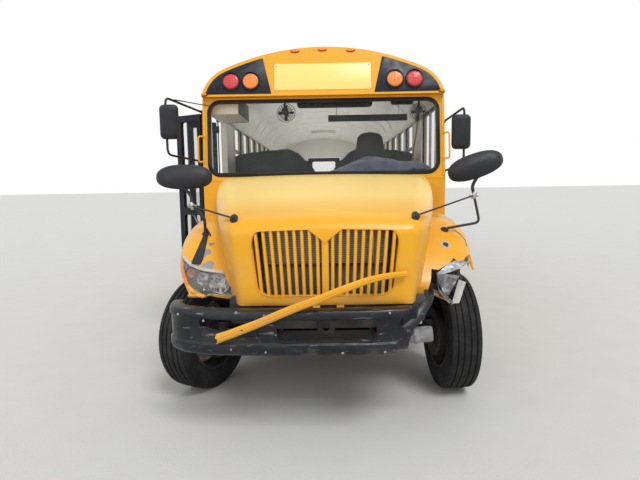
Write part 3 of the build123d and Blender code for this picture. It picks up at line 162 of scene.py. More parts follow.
# A finish is one dictionary: colour, roughness, metal, layers laid over the colour, and bumps
def makeFinish(name, look):
    made = bpy.data.materials.new(name)
    made.use_nodes = True
    tree = made.node_tree
    shader = tree.nodes["Principled BSDF"]
    coords = addNode(tree, "ShaderNodeTexCoord").outputs["Object"]
    shader.inputs["Metallic"].default_value = look.get("metal", 0.0)
    for socket, value in look.get("sockets", {}).items():
        shader.inputs[socket].default_value = value
    colour = look["colour"]
    for layer in look.get("layers", ()):
        colour = mixColour(tree, makeMask(tree, coords, layer), colour, layer["colour"])
    if isinstance(colour, tuple):
        shader.inputs["Base Color"].default_value = (*colour, 1)
    else:
        tree.links.new(colour, shader.inputs["Base Color"])
    rough = look["rough"]
    spread = look.get("roughSpread", 0.0)
    if spread:
        cloud = cloudMask(tree, coords, 14, 0.3, 0.7)
        ranged = addNode(
            tree, "ShaderNodeMapRange",
            {"Value": cloud, "To Min": rough - spread, "To Max": rough + spread},
        )
        tree.links.new(ranged.outputs[0], shader.inputs["Roughness"])
    else:
        shader.inputs["Roughness"].default_value = rough
    normal = None
    for bump in look.get("bumps", ()):
        if bump["kind"] == "wave":
            height = addNode(
                tree, "ShaderNodeTexWave", {"Vector": coords, "Scale": bump["scale"]},
                bands_direction=bump["axis"],
            ).outputs["Fac"]
        else:
            height = cloudMask(tree, coords, bump["scale"], 0.3, 0.7, bump["stretch"], 3)
        inputs = {"Height": height, "Strength": bump["strength"], "Distance": bump["depth"]}
        if normal:
            inputs["Normal"] = normal
        normal = addNode(tree, "ShaderNodeBump", inputs).outputs["Normal"]
    if normal:
        tree.links.new(normal, shader.inputs["Normal"])
    return made


# Layers and bumps of a finish
def cloud(scale, low, high, amount=1.0, colour=None, stretch=(1, 1, 1), within=None):
    return {"kind": "cloud", "scale": scale, "low": low, "high": high, "amount": amount, "colour": colour,
            "stretch": stretch, "within": within}


def chips(scale, size, amount, colour, within=None):
    return {"kind": "chips", "scale": scale, "size": size, "amount": amount, "colour": colour, "within": within}


def cells(scale, low, high, amount, colour):
    return {"kind": "cells", "scale": scale, "low": low, "high": high, "amount": amount, "colour": colour}


def spot(centre, radius, rag, colour):
    return {"kind": "spot", "centre": centre, "radius": radius, "rag": rag, "colour": colour}


def slope(start, end, amount=1.0, colour=None):
    return {"kind": "axis", "axis": "Z", "start": start, "end": end, "amount": amount, "colour": colour}


def dust(amount, start, end):
    return cloud(5, 0.35, 0.75, amount, (0.42, 0.38, 0.32), within=slope(start, end))


def runs(amount, stretch=(1, 1, 0.12)):
    return cloud(9, 0.52, 0.8, amount, (0.30, 0.21, 0.10), stretch)


def grime(amount, colour=(0.12, 0.10, 0.08), scale=3):
    return cloud(scale, 0.45, 0.8, amount, colour)


def grain(scale, strength, depth, stretch=(1, 1, 1)):
    return {"kind": "grain", "scale": scale, "strength": strength, "depth": depth, "stretch": stretch}


def wave(axis, scale, strength, depth):
    return {"kind": "wave", "axis": axis, "scale": scale, "strength": strength, "depth": depth}


orangePeel = grain(220, 0.05, 0.001)
panelWaves = grain(2.2, 0.12, 0.012)
looks = {
    "busYellow": {
        "colour": (0.74, 0.345, 0.008), "rough": 0.34, "roughSpread": 0.07,
        "layers": (cloud(0.9, 0.3, 0.75, 0.5, (0.78, 0.39, 0.015)), runs(0.22), dust(0.5, 1.1, 0.5)),
        "bumps": (panelWaves, orangePeel),
        "sockets": {"Coat Weight": 0.15, "Coat Roughness": 0.15, "Specular IOR Level": 0.35},
    },
    "hoodYellow": {
        "colour": (0.75, 0.345, 0.008), "rough": 0.32,
        "layers": (
            # The slope layer paints the top of the hood paler from 1.46 m up: a painted highlight where
            # sunlight falls on the top
            cloud(1.7, 0.35, 0.75, 0.4, (0.8, 0.41, 0.018)), slope(1.46, 1.6, 0.85, (0.95, 0.72, 0.24)),
            spot((-0.835, -5.19, 1.255), 0.026, 0.07, (0.2, 0.2, 0.21)),
            spot((-0.87, -5.25, 1.205), 0.04, 0.07, (0.24, 0.24, 0.26)),
            spot((-0.925, -5.29, 1.15), 0.05, 0.07, (0.24, 0.24, 0.26)),
            spot((-0.84, -5.32, 1.12), 0.046, 0.07, (0.26, 0.26, 0.28)),
            spot((0.875, -5.215, 1.235), 0.034, 0.09, (0.4, 0.39, 0.37)),
            spot((0.875, -5.215, 1.235), 0.016, 0.07, (0.02, 0.02, 0.02)),
            spot((1.02, -5.32, 1.15), 0.055, 0.1, (0.42, 0.41, 0.39)),
            spot((0.86, -5.35, 1.1), 0.032, 0.08, (0.4, 0.39, 0.37)), dust(0.45, 1.25, 0.7),
        ),
        "bumps": (grain(6, 0.04, 0.006),),
        "sockets": {"Specular IOR Level": 0.4},
    },
    "roofWhite": {
        "colour": (0.78, 0.74, 0.62), "rough": 0.45, "roughSpread": 0.1,
        "layers": (runs(0.12, (0.15, 1, 1)), grime(0.1)),
        "bumps": (panelWaves,),
    },
    "trimBlack": {
        "colour": (0.006, 0.008, 0.015), "rough": 0.36, "roughSpread": 0.1,
        "layers": (grime(0.2, (0.05, 0.05, 0.055)), dust(0.4, 1.0, 0.35)),
        "bumps": (orangePeel,),
        "sockets": {"Specular IOR Level": 0.25},
    },
    "bumperBlack": {
        "colour": (0.006, 0.007, 0.01), "rough": 0.38, "roughSpread": 0.14,
        "layers": (
            grime(0.3, (0.05, 0.05, 0.05)),
            cloud(30, 0.62, 0.72, 0.5, (0.28, 0.28, 0.28), stretch=(0.25, 1, 1.6)),
            chips(60, 0.12, 0.9, (0.35, 0.35, 0.35), within=cloud(5, 0.56, 0.66)),
            cloud(12, 0.5, 0.7, 0.4, (0.24, 0.23, 0.21), within=slope(0.68, 0.6)),
        ),
        "bumps": (grain(60, 0.12, 0.002),),
        "sockets": {"Specular IOR Level": 0.35},
    },
    "mouldedBlack": {
        "colour": (0.01, 0.011, 0.014), "rough": 0.5, "roughSpread": 0.08,
        "layers": (grime(0.4, (0.05, 0.05, 0.055)),),
        "bumps": (grain(420, 0.2, 0.0006),),
        "sockets": {"Specular IOR Level": 0.35},
    },
    "gasketRubber": {
        "colour": (0.013, 0.013, 0.014), "rough": 0.62,
        "layers": (grime(0.3, (0.11, 0.105, 0.1)),),
        "bumps": (grain(160, 0.15, 0.001),),
        "sockets": {"Specular IOR Level": 0.25},
    },
    "tyreRubber": {
        "colour": (0.014, 0.014, 0.015), "rough": 0.78, "roughSpread": 0.08,
        "layers": (grime(0.5, (0.07, 0.065, 0.06), scale=6), cloud(40, 0.5, 0.75, 0.2, (0.1, 0.09, 0.08))),
        "bumps": (grain(130, 0.25, 0.001),),
        "sockets": {"Specular IOR Level": 0.2},
    },
    "wheelPaint": {
        "colour": (0.62, 0.6, 0.55), "rough": 0.45, "roughSpread": 0.1,
        "layers": (grime(0.6, (0.22, 0.17, 0.12), scale=8), chips(40, 0.08, 0.8, (0.2, 0.09, 0.04))),
        "bumps": (orangePeel,),
    },
    "chassisPaint": {
        "colour": (0.018, 0.018, 0.019), "rough": 0.6, "roughSpread": 0.12,
        "layers": (grime(0.7, (0.16, 0.13, 0.1), scale=4), chips(22, 0.1, 0.6, (0.17, 0.07, 0.03))),
        "bumps": (grain(40, 0.3, 0.003),),
    },
    "castIron": {
        "colour": (0.03, 0.03, 0.031), "rough": 0.65, "metal": 0.3, "roughSpread": 0.12,
        "layers": (cloud(7, 0.45, 0.75, 0.5, (0.1, 0.06, 0.04)),),
        "bumps": (grain(90, 0.5, 0.002),),
    },
    "bareSteel": {
        "colour": (0.42, 0.42, 0.43), "rough": 0.38, "metal": 0.9, "roughSpread": 0.12,
        "layers": (grime(0.5, (0.13, 0.11, 0.09), scale=12), chips(30, 0.1, 0.5, (0.22, 0.1, 0.05))),
        "bumps": (grain(60, 0.15, 0.001),),
    },
    "zincBolt": {
        "colour": (0.4, 0.4, 0.39), "rough": 0.38, "metal": 0.9, "roughSpread": 0.1,
        "layers": (grime(0.5, scale=60),),
    },
    "sashMetal": {
        "colour": (0.3, 0.3, 0.31), "rough": 0.42, "metal": 0.75, "roughSpread": 0.1,
        "layers": (grime(0.5, scale=9), runs(0.3)),
        "bumps": (grain(90, 0.1, 0.001, (1, 0.05, 1)),),
    },
    "radiatorCore": {
        "colour": (0.2, 0.205, 0.21), "rough": 0.5, "metal": 0.6,
        "layers": (grime(0.6, (0.1, 0.09, 0.07), scale=8),),
        "bumps": (wave("Z", 60, 0.5, 0.002),),
    },
    "creamPanel": {
        "colour": (0.82, 0.8, 0.71), "rough": 0.5, "roughSpread": 0.08,
        "layers": (grime(0.25, (0.35, 0.32, 0.26)),),
        "bumps": (panelWaves, orangePeel),
    },
    "rubberFloor": {
        "colour": (0.085, 0.085, 0.088), "rough": 0.6, "roughSpread": 0.1,
        "layers": (grime(0.6, (0.2, 0.17, 0.13), scale=4),),
        "bumps": (wave("X", 12, 0.4, 0.003),),
    },
    "seatVinyl": {
        "colour": (0.018, 0.02, 0.028), "rough": 0.48, "roughSpread": 0.1,
        "layers": (grime(0.5, (0.06, 0.06, 0.065), scale=7),),
        "bumps": (grain(300, 0.35, 0.0012), grain(11, 0.25, 0.006)),
        "sockets": {"Sheen Weight": 0.15},
    },
    "woodPanel": {
        "colour": (0.3, 0.19, 0.1), "rough": 0.65, "roughSpread": 0.1,
        "layers": (cloud(6, 0.35, 0.7, 0.6, (0.42, 0.29, 0.17), stretch=(0.2, 1, 1)), grime(0.4)),
    },
    "dashVinyl": {
        "colour": (0.022, 0.028, 0.05), "rough": 0.6, "roughSpread": 0.08,
        "layers": (cloud(10, 0.4, 0.8, 0.5, (0.1, 0.11, 0.14)),),
        "bumps": (grain(260, 0.3, 0.0012),),
    },
    "clothBlue": {
        "colour": (0.03, 0.042, 0.085), "rough": 0.85,
        "layers": (cloud(9, 0.42, 0.7, 0.6, (0.1, 0.125, 0.19)), grime(0.4, scale=14)),
        "bumps": (wave("X", 260, 0.15, 0.0006), wave("Y", 260, 0.15, 0.0006)),
        "sockets": {"Sheen Weight": 0.3},
    },
    "beltWebbing": {
        "colour": (0.45, 0.1, 0.015), "rough": 0.7,
        "layers": (grime(0.4, scale=20),),
        "bumps": (wave("Z", 90, 0.4, 0.001),),
    },
    "primerGrey": {
        "colour": (0.2, 0.2, 0.205), "rough": 0.6, "roughSpread": 0.1,
        "layers": (cloud(14, 0.45, 0.6, 0.7, (0.42, 0.42, 0.42)), chips(18, 0.14, 0.6, (0.05, 0.05, 0.05))),
        "bumps": (grain(30, 0.4, 0.004),),
    },
    # Headlamp reflector: its light base colour stands in for the chrome's reflection, its white and black cells
    # are painted glints and painted reflections of the facets, and the brown cloud is dirt
    "reflectorPaintedGlints": {
        "colour": (0.66, 0.67, 0.69), "rough": 0.25, "metal": 0.2,
        "layers": (
            cells(62, 0.4, 0.68, 0.95, (0.97, 0.98, 1.0)), cells(44, 0.62, 0.8, 0.85, (0.05, 0.05, 0.055)),
            cloud(12, 0.52, 0.68, 0.5, (0.3, 0.17, 0.08)),
        ),
        "bumps": (grain(48, 0.5, 0.006),),
    },
    "bareSheet": {
        "colour": (0.26, 0.27, 0.29), "rough": 0.36, "metal": 0.55, "roughSpread": 0.1,
        "layers": (
            cloud(40, 0.5, 0.62, 0.6, (0.55, 0.55, 0.54)), cloud(16, 0.55, 0.7, 0.7, (0.06, 0.06, 0.065)),
        ),
        "bumps": (grain(30, 0.4, 0.004),),
    },
    "amberDusty": {
        "colour": (0.3, 0.13, 0.03), "rough": 0.4, "roughSpread": 0.1,
        "layers": (cloud(30, 0.45, 0.6, 0.7, (0.1, 0.05, 0.02)),),
        "bumps": (wave("X", 30, 0.4, 0.003),),
    },
    "paleTrim": {
        "colour": (0.5, 0.49, 0.45), "rough": 0.45, "roughSpread": 0.1,
        "layers": (grime(0.5, scale=14), chips(30, 0.1, 1.0, (0.1, 0.1, 0.1))),
    },
    "mirrorGlass": {
        "colour": (0.8, 0.82, 0.84), "rough": 0.03, "metal": 1.0,
        "layers": (grime(0.08, scale=16),),
    },
    "clearGlass": {
        "colour": (0.16, 0.19, 0.19), "rough": 0.03,
        "layers": (grime(0.2, (0.5, 0.48, 0.4), scale=5),),
        "sockets": {"Alpha": 0.06, "IOR": 1.45},
    },
    "tintedGlass": {
        "colour": (0.045, 0.055, 0.06), "rough": 0.03,
        "layers": (grime(0.2, (0.2, 0.19, 0.16), scale=5),),
        "sockets": {"Alpha": 0.1, "IOR": 1.45},
    },
    "lampLens": {
        "colour": (0.93, 0.94, 0.95), "rough": 0.06,
        "layers": (grime(0.25, (0.6, 0.55, 0.42), scale=9),),
        "sockets": {"Alpha": 0.07, "IOR": 1.45},
    },
    "redLens": {
        "colour": (0.55, 0.008, 0.014), "rough": 0.3, "roughSpread": 0.05,
        "layers": (grime(0.3, (0.4, 0.05, 0.05), scale=14),),
        "bumps": (wave("Z", 20, 0.35, 0.003), wave("X", 20, 0.35, 0.003)),
        "sockets": {"Coat Weight": 0.3, "Subsurface Weight": 0.25},
    },
    "amberLens": {
        "colour": (0.86, 0.2, 0.004), "rough": 0.3, "roughSpread": 0.05,
        "layers": (grime(0.3, (0.5, 0.2, 0.05), scale=14),),
        "bumps": (wave("Z", 20, 0.35, 0.003), wave("X", 20, 0.35, 0.003)),
        "sockets": {"Coat Weight": 0.3, "Subsurface Weight": 0.25},
    },
    "signRed": {
        "colour": (0.62, 0.02, 0.02), "rough": 0.4, "roughSpread": 0.06,
        "layers": (grime(0.3, (0.3, 0.05, 0.04)),),
        "bumps": (orangePeel,),
    },
}
finishes = {name: makeFinish(name, look) for name, look in looks.items()}


# The body shell is painted outside and cream inside. Faces that look back at the middle are inner ones,
# and so is all of a wall that stands inside its outer skin
def makeShellFinish(name, outside, middle, axes, skinX=None):
    made = finishes[outside].copy()
    made.name = name
    tree = made.node_tree
    shader = tree.nodes["Principled BSDF"]
    coords = addNode(tree, "ShaderNodeTexCoord").outputs["Object"]
    facing = addNode(tree, "ShaderNodeNewGeometry").outputs["True Normal"]
    moved = addNode(tree, "ShaderNodeVectorMath", {0: coords, 1: middle}, operation="SUBTRACT")
    level = addNode(tree, "ShaderNodeVectorMath", {0: moved.outputs[0], 1: axes}, operation="MULTIPLY")
    outward = addNode(tree, "ShaderNodeVectorMath", {0: level.outputs[0], 1: facing}, operation="DOT_PRODUCT")
    inner = addNode(
        tree, "ShaderNodeMath", {0: outward.outputs["Value"], 1: -0.25}, operation="LESS_THAN",
    ).outputs[0]
    split = addNode(tree, "ShaderNodeSeparateXYZ", {"Vector": coords}).outputs
    if skinX:
        away = addNode(tree, "ShaderNodeMath", {0: split["X"]}, operation="ABSOLUTE")
        within = addNode(tree, "ShaderNodeMath", {0: away.outputs[0], 1: skinX}, operation="LESS_THAN")
        inner = addNode(tree, "ShaderNodeMath", {0: inner, 1: within.outputs[0]},
                        operation="MAXIMUM").outputs[0]
    dirt = cloudMask(tree, coords, 3, 0.4, 0.8)
    cream = mixColour(tree, multiply(tree, dirt, 0.3), (0.83, 0.81, 0.73), (0.50, 0.47, 0.40))
    underFloor = bus["floorZ"] - 0.06
    deck = addNode(tree, "ShaderNodeMath", {0: split["Z"], 1: underFloor}, operation="LESS_THAN").outputs[0]
    lining = mixColour(tree, deck, cream, (0.03, 0.03, 0.031))   # below the floor the inside is undercoat
    before = shader.inputs["Base Color"].links[0].from_socket
    tree.links.new(mixColour(tree, inner, before, lining), shader.inputs["Base Color"])
    return made


finishes["sideShell"] = makeShellFinish("sideShell", "busYellow", (0, 0, 1.6), (1, 0, 1), half - 0.008)
finishes["roofShell"] = makeShellFinish("roofShell", "roofWhite", (0, 0, 2.0), (1, 0, 1))
finishes["wallShell"] = makeShellFinish("wallShell", "busYellow", (0, 1, 0), (0, 1, 0))
print("finishes made:", len(finishes))


# Mesh tools

def placement(origin, alongU, alongV):
    u = Vector(alongU).normalized()
    v = Vector(alongV).normalized()
    w = u.cross(v)
    return Matrix((
        (u.x, v.x, w.x, origin[0]), (u.y, v.y, w.y, origin[1]), (u.z, v.z, w.z, origin[2]), (0, 0, 0, 1),
    ))


frontView = Matrix(((1, 0, 0, 0), (0, 0, 1, 0), (0, 1, 0, 0), (0, 0, 0, 1)))   # u = X, v = Z, w = Y


def addFaces(bm, points, faces, mat=0, place=None):
    made = [bm.verts.new(place @ Vector(point) if place else Vector(point)) for point in points]
    for face in faces:
        try:
            bm.faces.new([made[i] for i in face]).material_index = mat
        except ValueError:
            pass
    return made


def addGrid(bm, rows, mat=0, closeAcross=False, closeAlong=False):
    across = len(rows[0])
    points = [point for row in rows for point in row]
    faces = []
    for r in range(len(rows) if closeAlong else len(rows) - 1):
        for c in range(across if closeAcross else across - 1):
            nextRow = (r + 1) % len(rows)
            nextCol = (c + 1) % across
            faces.append((r * across + c, r * across + nextCol, nextRow * across + nextCol,
                          nextRow * across + c))
    return addFaces(bm, points, faces, mat)


# A closed outline pushed from w = start to w = end in the given placement
def addPrism(bm, outline, start, end, place=None, mat=0):
    count = len(outline)
    points = [(u, v, start) for u, v in outline] + [(u, v, end) for u, v in outline]
    faces = [tuple(range(count)), tuple(reversed(range(count, 2 * count)))]
    faces += [(i, i + count, (i + 1) % count + count, (i + 1) % count) for i in range(count)]
    return addFaces(bm, points, faces, mat, place)


# A block between two opposite corners, given in any order
def addBlock(bm, corner, opposite, mat=0, bevel=0.0):
    low, high = zip(*(sorted(pair) for pair in zip(corner, opposite)))
    outline = ((low[0], low[1]), (high[0], low[1]), (high[0], high[1]), (low[0], high[1]))
    made = addPrism(bm, outline, low[2], high[2], mat=mat)
    if bevel:
        edges = dict.fromkeys(edge for vert in made for edge in vert.link_edges)
        bmesh.ops.bevel(bm, geom=list(edges), offset=bevel, segments=2, profile=0.6, affect="EDGES",
                        material=-1)


# A section that is the same on both sides of its middle, from the points of one side
def even(*points):
    return [*points, *((-across, up) for across, up in reversed(points))]


# The outline of a plain disc, rod or ring, for a lathe
def rod(start, end, radius, inner=0.001):
    return [(start, inner), (start, radius), (end, radius), (end, inner)]


def roundedOutline(width, height, radius, steps=5, middle=(0, 0)):
    points = []
    for cornerX, cornerY, start in ((1, 1, 0), (-1, 1, 90), (-1, -1, 180), (1, -1, 270)):
        for step in range(steps + 1):
            angle = math.radians(start + 90 * step / steps)
            points.append((
                middle[0] + cornerX * (width / 2 - radius) + radius * math.cos(angle),
                middle[1] + cornerY * (height / 2 - radius) + radius * math.sin(angle),
            ))
    return points


def ellipseOutline(halfWidth, halfHeight, steps=40):
    angles = [2 * math.pi * step / steps for step in range(steps)]
    return [(halfWidth * math.cos(angle), halfHeight * math.sin(angle)) for angle in angles]


# Rings of the same count, each an outline at its own depth, joined into a shell and capped
def addLoft(bm, rings, place=None, mat=0, capStart=True, capEnd=True):
    count = len(rings[0][0])
    points = [(u, v, depth) for outline, depth in rings for u, v in outline]
    faces = []
    for r in range(len(rings) - 1):
        for c in range(count):
            nextCol = (c + 1) % count
            faces.append((r * count + c, r * count + nextCol, (r + 1) * count + nextCol, (r + 1) * count + c))
    if capStart:
        faces.append(tuple(reversed(range(count))))
    if capEnd:
        faces.append(tuple(range((len(rings) - 1) * count, len(rings) * count)))
    return addFaces(bm, points, faces, mat, place)


def roundPath(points, radius, steps=5):
    points = [Vector(point) for point in points]
    path = [points[0]]
    for before, corner, after in zip(points, points[1:], points[2:]):
        inward, outward = before - corner, after - corner
        reach = min(radius, inward.length * 0.45, outward.length * 0.45)
        start = corner + inward.normalized() * reach
        end = corner + outward.normalized() * reach
        for step in range(steps + 1):
            t = step / steps
            path.append((1 - t) ** 2 * start + 2 * t * (1 - t) * corner + t ** 2 * end)
    path.append(points[-1])
    return path


def smoothPath(points, steps=6):
    points = [Vector(point) for point in points]
    padded = [2 * points[0] - points[1]] + points + [2 * points[-1] - points[-2]]
    path = []
    for a, b, c, d in zip(padded, padded[1:], padded[2:], padded[3:]):
        for step in range(steps):
            t = step / steps
            path.append(0.5 * (2 * b + (c - a) * t + (2 * a - 5 * b + 4 * c - d) * t * t
                               + (3 * b - a - 3 * c + d) * t ** 3))
    path.append(points[-1])
    return path


# A section of (across, up) points carried along a path; up is the direction the section's top keeps to
def addSweep(bm, path, section, up=(0, 0, 1), mat=0, closed=False):
    path = [Vector(point) for point in path]
    up = Vector(up)
    count = len(path)
    rings = []
    for i in range(count):
        if closed:
            before, after = path[i] - path[i - 1], path[(i + 1) % count] - path[i]
        else:
            before = path[i] - path[max(i - 1, 0)]
            after = path[min(i + 1, count - 1)] - path[i]
            before = before if before.length > 1e-9 else after
            after = after if after.length > 1e-9 else before
        before, after = before.normalized(), after.normalized()
        ahead = (before + after).normalized()
        widen = 1 / max(0.45, ahead.dot(after))
        across = ahead.cross(up).normalized()
        top = across.cross(ahead).normalized()
        rings.append([path[i] + across * (a * widen) + top * b for a, b in section])
    addGrid(bm, rings, mat, closeAcross=True, closeAlong=closed)
    if not closed:
        for ring, order in ((rings[0], -1), (rings[-1], 1)):
            addFaces(bm, ring[::order], [tuple(range(len(ring)))], mat)


def addTube(bm, path, radius, sides=12, mat=0, closed=False):
    path = [Vector(point) for point in path]
    count = len(path)
    radii = radius if isinstance(radius, (list, tuple)) else [radius] * count
    ahead = (path[1] - path[0]).normalized()
    normal = ahead.orthogonal().normalized()
    rings = []
    for i in range(count):
        after = path[(i + 1) % count] - path[i] if (closed or i < count - 1) else path[i] - path[i - 1]
        before = path[i] - path[i - 1] if (closed or i > 0) else after
        turned = (before.normalized() + after.normalized()).normalized()
        normal = (normal - turned * normal.dot(turned)).normalized()
        other = turned.cross(normal)
        rings.append([
            path[i] + radii[i] * (math.cos(2 * math.pi * k / sides) * normal
                                  + math.sin(2 * math.pi * k / sides) * other)
            for k in range(sides)
        ])
    addGrid(bm, rings, mat, closeAcross=True, closeAlong=closed)
    if not closed:
        addFaces(bm, rings[0][::-1], [tuple(range(sides))], mat)
        addFaces(bm, rings[-1], [tuple(range(sides))], mat)


# A profile of (along, radius) points turned round an axis
def addLathe(bm, profile, origin, axis, steps=48, mat=0, closedProfile=False):
    axis = Vector(axis).normalized()
    origin = Vector(origin)
    first = axis.orthogonal().normalized()
    second = axis.cross(first)
    rows = []
    for step in range(steps):
        angle = 2 * math.pi * step / steps
        out = math.cos(angle) * first + math.sin(angle) * second
        rows.append([origin + axis * along + out * max(radius, 0.0004) for along, radius in profile])
    addGrid(bm, rows, mat, closeAcross=closedProfile, closeAlong=True)
    if not closedProfile:
        for index, order in ((0, 1), (-1, -1)):
            if profile[index][1] < 0.02:
                addFaces(bm, [row[index] for row in rows][::order], [tuple(range(steps))], mat)


def addBolt(bm, centre, axis, size, mat=0):
    place = Matrix.Translation(Vector(centre)) @ Vector(axis).to_track_quat("Z", "Y").to_matrix().to_4x4()
    washer = ellipseOutline(size * 1.05, size * 1.05, 18)
    addLoft(bm, [(washer, -0.001), (washer, size * 0.18)], place, mat)
    hexagon = ellipseOutline(size * 0.82, size * 0.82, 6)
    rounded = ellipseOutline(size * 0.66, size * 0.66, 6)
    addLoft(bm, [(hexagon, size * 0.15), (hexagon, size * 0.62), (rounded, size * 0.78)], place, mat)


def applyModifiers(piece):
    bpy.context.view_layer.update()
    depsgraph = bpy.context.evaluated_depsgraph_get()
    made = bpy.data.meshes.new_from_object(piece.evaluated_get(depsgraph))
    piece.modifiers.clear()
    piece.data = made


def addModifier(piece, kind, **settings):
    made = piece.modifiers.new(kind, kind)
    for key, value in settings.items():
        setattr(made, key, value)
    return made


def newPiece(name, bm, finishNames=()):
    mesh = bpy.data.meshes.new(name)
    bm.to_mesh(mesh)
    bm.free()
    for finishName in finishNames:
        mesh.materials.append(finishes[finishName])
    piece = bpy.data.objects.new(name, mesh)
    bpy.context.scene.collection.objects.link(piece)
    return piece


# Turns a bmesh into an object; closed shells get their faces turned outwards
def makeObject(name, bm, finishNames=(), turned=True):
    bmesh.ops.remove_doubles(bm, verts=bm.verts, dist=0.00005)
    if turned:
        bmesh.ops.recalc_face_normals(bm, faces=bm.faces)
    return newPiece(name, bm, finishNames)


def finishPiece(piece, body="bus", replaces=(), bevel=0.0, smooth=35):
    if bevel:
        addModifier(
            piece, "BEVEL", width=bevel, segments=2, limit_method="ANGLE",
            angle_limit=math.radians(40), harden_normals=False,
        )
    if piece.modifiers:
        applyModifiers(piece)
    piece.data.shade_smooth()
    piece.data.set_sharp_from_angle(angle=math.radians(smooth))
    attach(piece, body)
    if replaces:
        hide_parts(*replaces)
    return piece


# A Geometry Nodes tree that sets a small shape along lines, such as rivets
def makeStudTree():
    tree = bpy.data.node_groups.new("studsAlongLines", "GeometryNodeTree")
    face = tree.interface
    face.new_socket("Geometry", in_out="INPUT", socket_type="NodeSocketGeometry")
    face.new_socket("Geometry", in_out="OUTPUT", socket_type="NodeSocketGeometry")
    for socketName, kind, value in (
        ("Spacing", "NodeSocketFloat", 0.05), ("Size", "NodeSocketVector", (0.005, 0.005, 0.003)),
        ("Facing", "NodeSocketVector", (0, 0, 1)), ("Shape", "NodeSocketObject", None),
        ("Finish", "NodeSocketMaterial", None),
    ):
        socket = face.new_socket(socketName, in_out="INPUT", socket_type=kind)
        if value is not None:
            socket.default_value = value
    inputs = addNode(tree, "NodeGroupInput").outputs
    curve = addNode(tree, "GeometryNodeMeshToCurve", {"Mesh": inputs["Geometry"]})
    spaced = addNode(
        tree, "GeometryNodeResampleCurve", {"Curve": curve.outputs[0], "Length": inputs["Spacing"]},
        mode="LENGTH",
    )
    turned = addNode(tree, "FunctionNodeAlignRotationToVector", {"Vector": inputs["Facing"]}, axis="Z")
    shape = addNode(tree, "GeometryNodeObjectInfo", {"Object": inputs["Shape"]})
    placed = addNode(
        tree, "GeometryNodeInstanceOnPoints",
        {"Points": spaced.outputs[0], "Instance": shape.outputs["Geometry"],
         "Rotation": turned.outputs[0], "Scale": inputs["Size"]},
    )
    real = addNode(tree, "GeometryNodeRealizeInstances", {"Geometry": placed.outputs[0]})
    dressed = addNode(
        tree, "GeometryNodeSetMaterial", {"Geometry": real.outputs[0], "Material": inputs["Finish"]},
    )
    addNode(tree, "NodeGroupOutput", {"Geometry": dressed.outputs[0]})
    return tree


studTree = makeStudTree()


rivetForm = bmesh.new()
addLoft(rivetForm, [(ellipseOutline(r, r, 8), w) for r, w in ((1, -0.3), (0.93, 0.4), (0.5, 0.95))])
bmesh.ops.recalc_face_normals(rivetForm, faces=rivetForm.faces)
rivetMesh = bpy.data.meshes.new("unitRivet")
rivetForm.to_mesh(rivetMesh)
rivetForm.free()
unitRivet = bpy.data.objects.new("unitRivet", rivetMesh)


def setAlong(name, lines, spacing, size, facing, finishName):
    bm = bmesh.new()
    for line in lines:
        made = [bm.verts.new(Vector(point)) for point in line]
        for first, second in zip(made, made[1:]):
            bm.edges.new((first, second))
    piece = newPiece(name, bm)
    modifier = piece.modifiers.new("studs", "NODES")
    modifier.node_group = studTree
    keys = {item.name: item.identifier for item in studTree.interface.items_tree if item.in_out == "INPUT"}
    for key, value in (
        ("Spacing", spacing), ("Size", size), ("Facing", facing), ("Shape", unitRivet),
        ("Finish", finishes[finishName]),
    ):
        modifier[keys[key]] = value
    applyModifiers(piece)
    piece.data.materials.clear()
    piece.data.materials.append(finishes[finishName])
    return finishPiece(piece, smooth=50)


# Joins pieces that ride on one body into a single object before it is finished
def joined(name, parts):
    bm = bmesh.new()
    finishNames = []
    for part in parts:
        mesh = part.data
        slots = []
        for material in mesh.materials:
            if material.name not in finishNames:
                finishNames.append(material.name)
            slots.append(finishNames.index(material.name))
        before = len(bm.faces)
        bm.from_mesh(mesh)
        bm.faces.ensure_lookup_table()
        for face in bm.faces[before:]:
            face.material_index = slots[face.material_index]
        bpy.data.objects.remove(part)
    return newPiece(name, bm, finishNames)


def cutWith(piece, cutters, useSelf=False):
    for cutter in cutters:
        addModifier(piece, "BOOLEAN", operation="DIFFERENCE", solver="EXACT", use_self=useSelf, object=cutter)
    applyModifiers(piece)
    for cutter in cutters:
        bpy.data.objects.remove(cutter)


# Keeps only what lies inside an outline seen from ahead
def keepInside(piece, outline, start, end):
    bm = bmesh.new()
    addPrism(bm, outline, start, end, frontView)
    keeper = makeObject("keeper", bm)
    addModifier(piece, "BOOLEAN", operation="INTERSECT", solver="EXACT", object=keeper)
    applyModifiers(piece)
    bpy.data.objects.remove(keeper)


def skinOf(piece):
    return BVHTree.FromPolygons([v.co for v in piece.data.vertices], [p.vertices for p in piece.data.polygons])


def lerp(first, second, share):
    return first + (second - first) * share


# Reads a table of rows at any place between its first column's values
def readTable(table, at):
    if at <= table[0][0]:
        return table[0]
    for low, high in zip(table, table[1:]):
        if at <= high[0]:
            share = (at - low[0]) / (high[0] - low[0])
            return [lerp(a, b, share) for a, b in zip(low, high)]
    return table[-1]


bothSides = (("left", 1), ("right", -1))
print("tools ready")


# Hood, fenders and grille

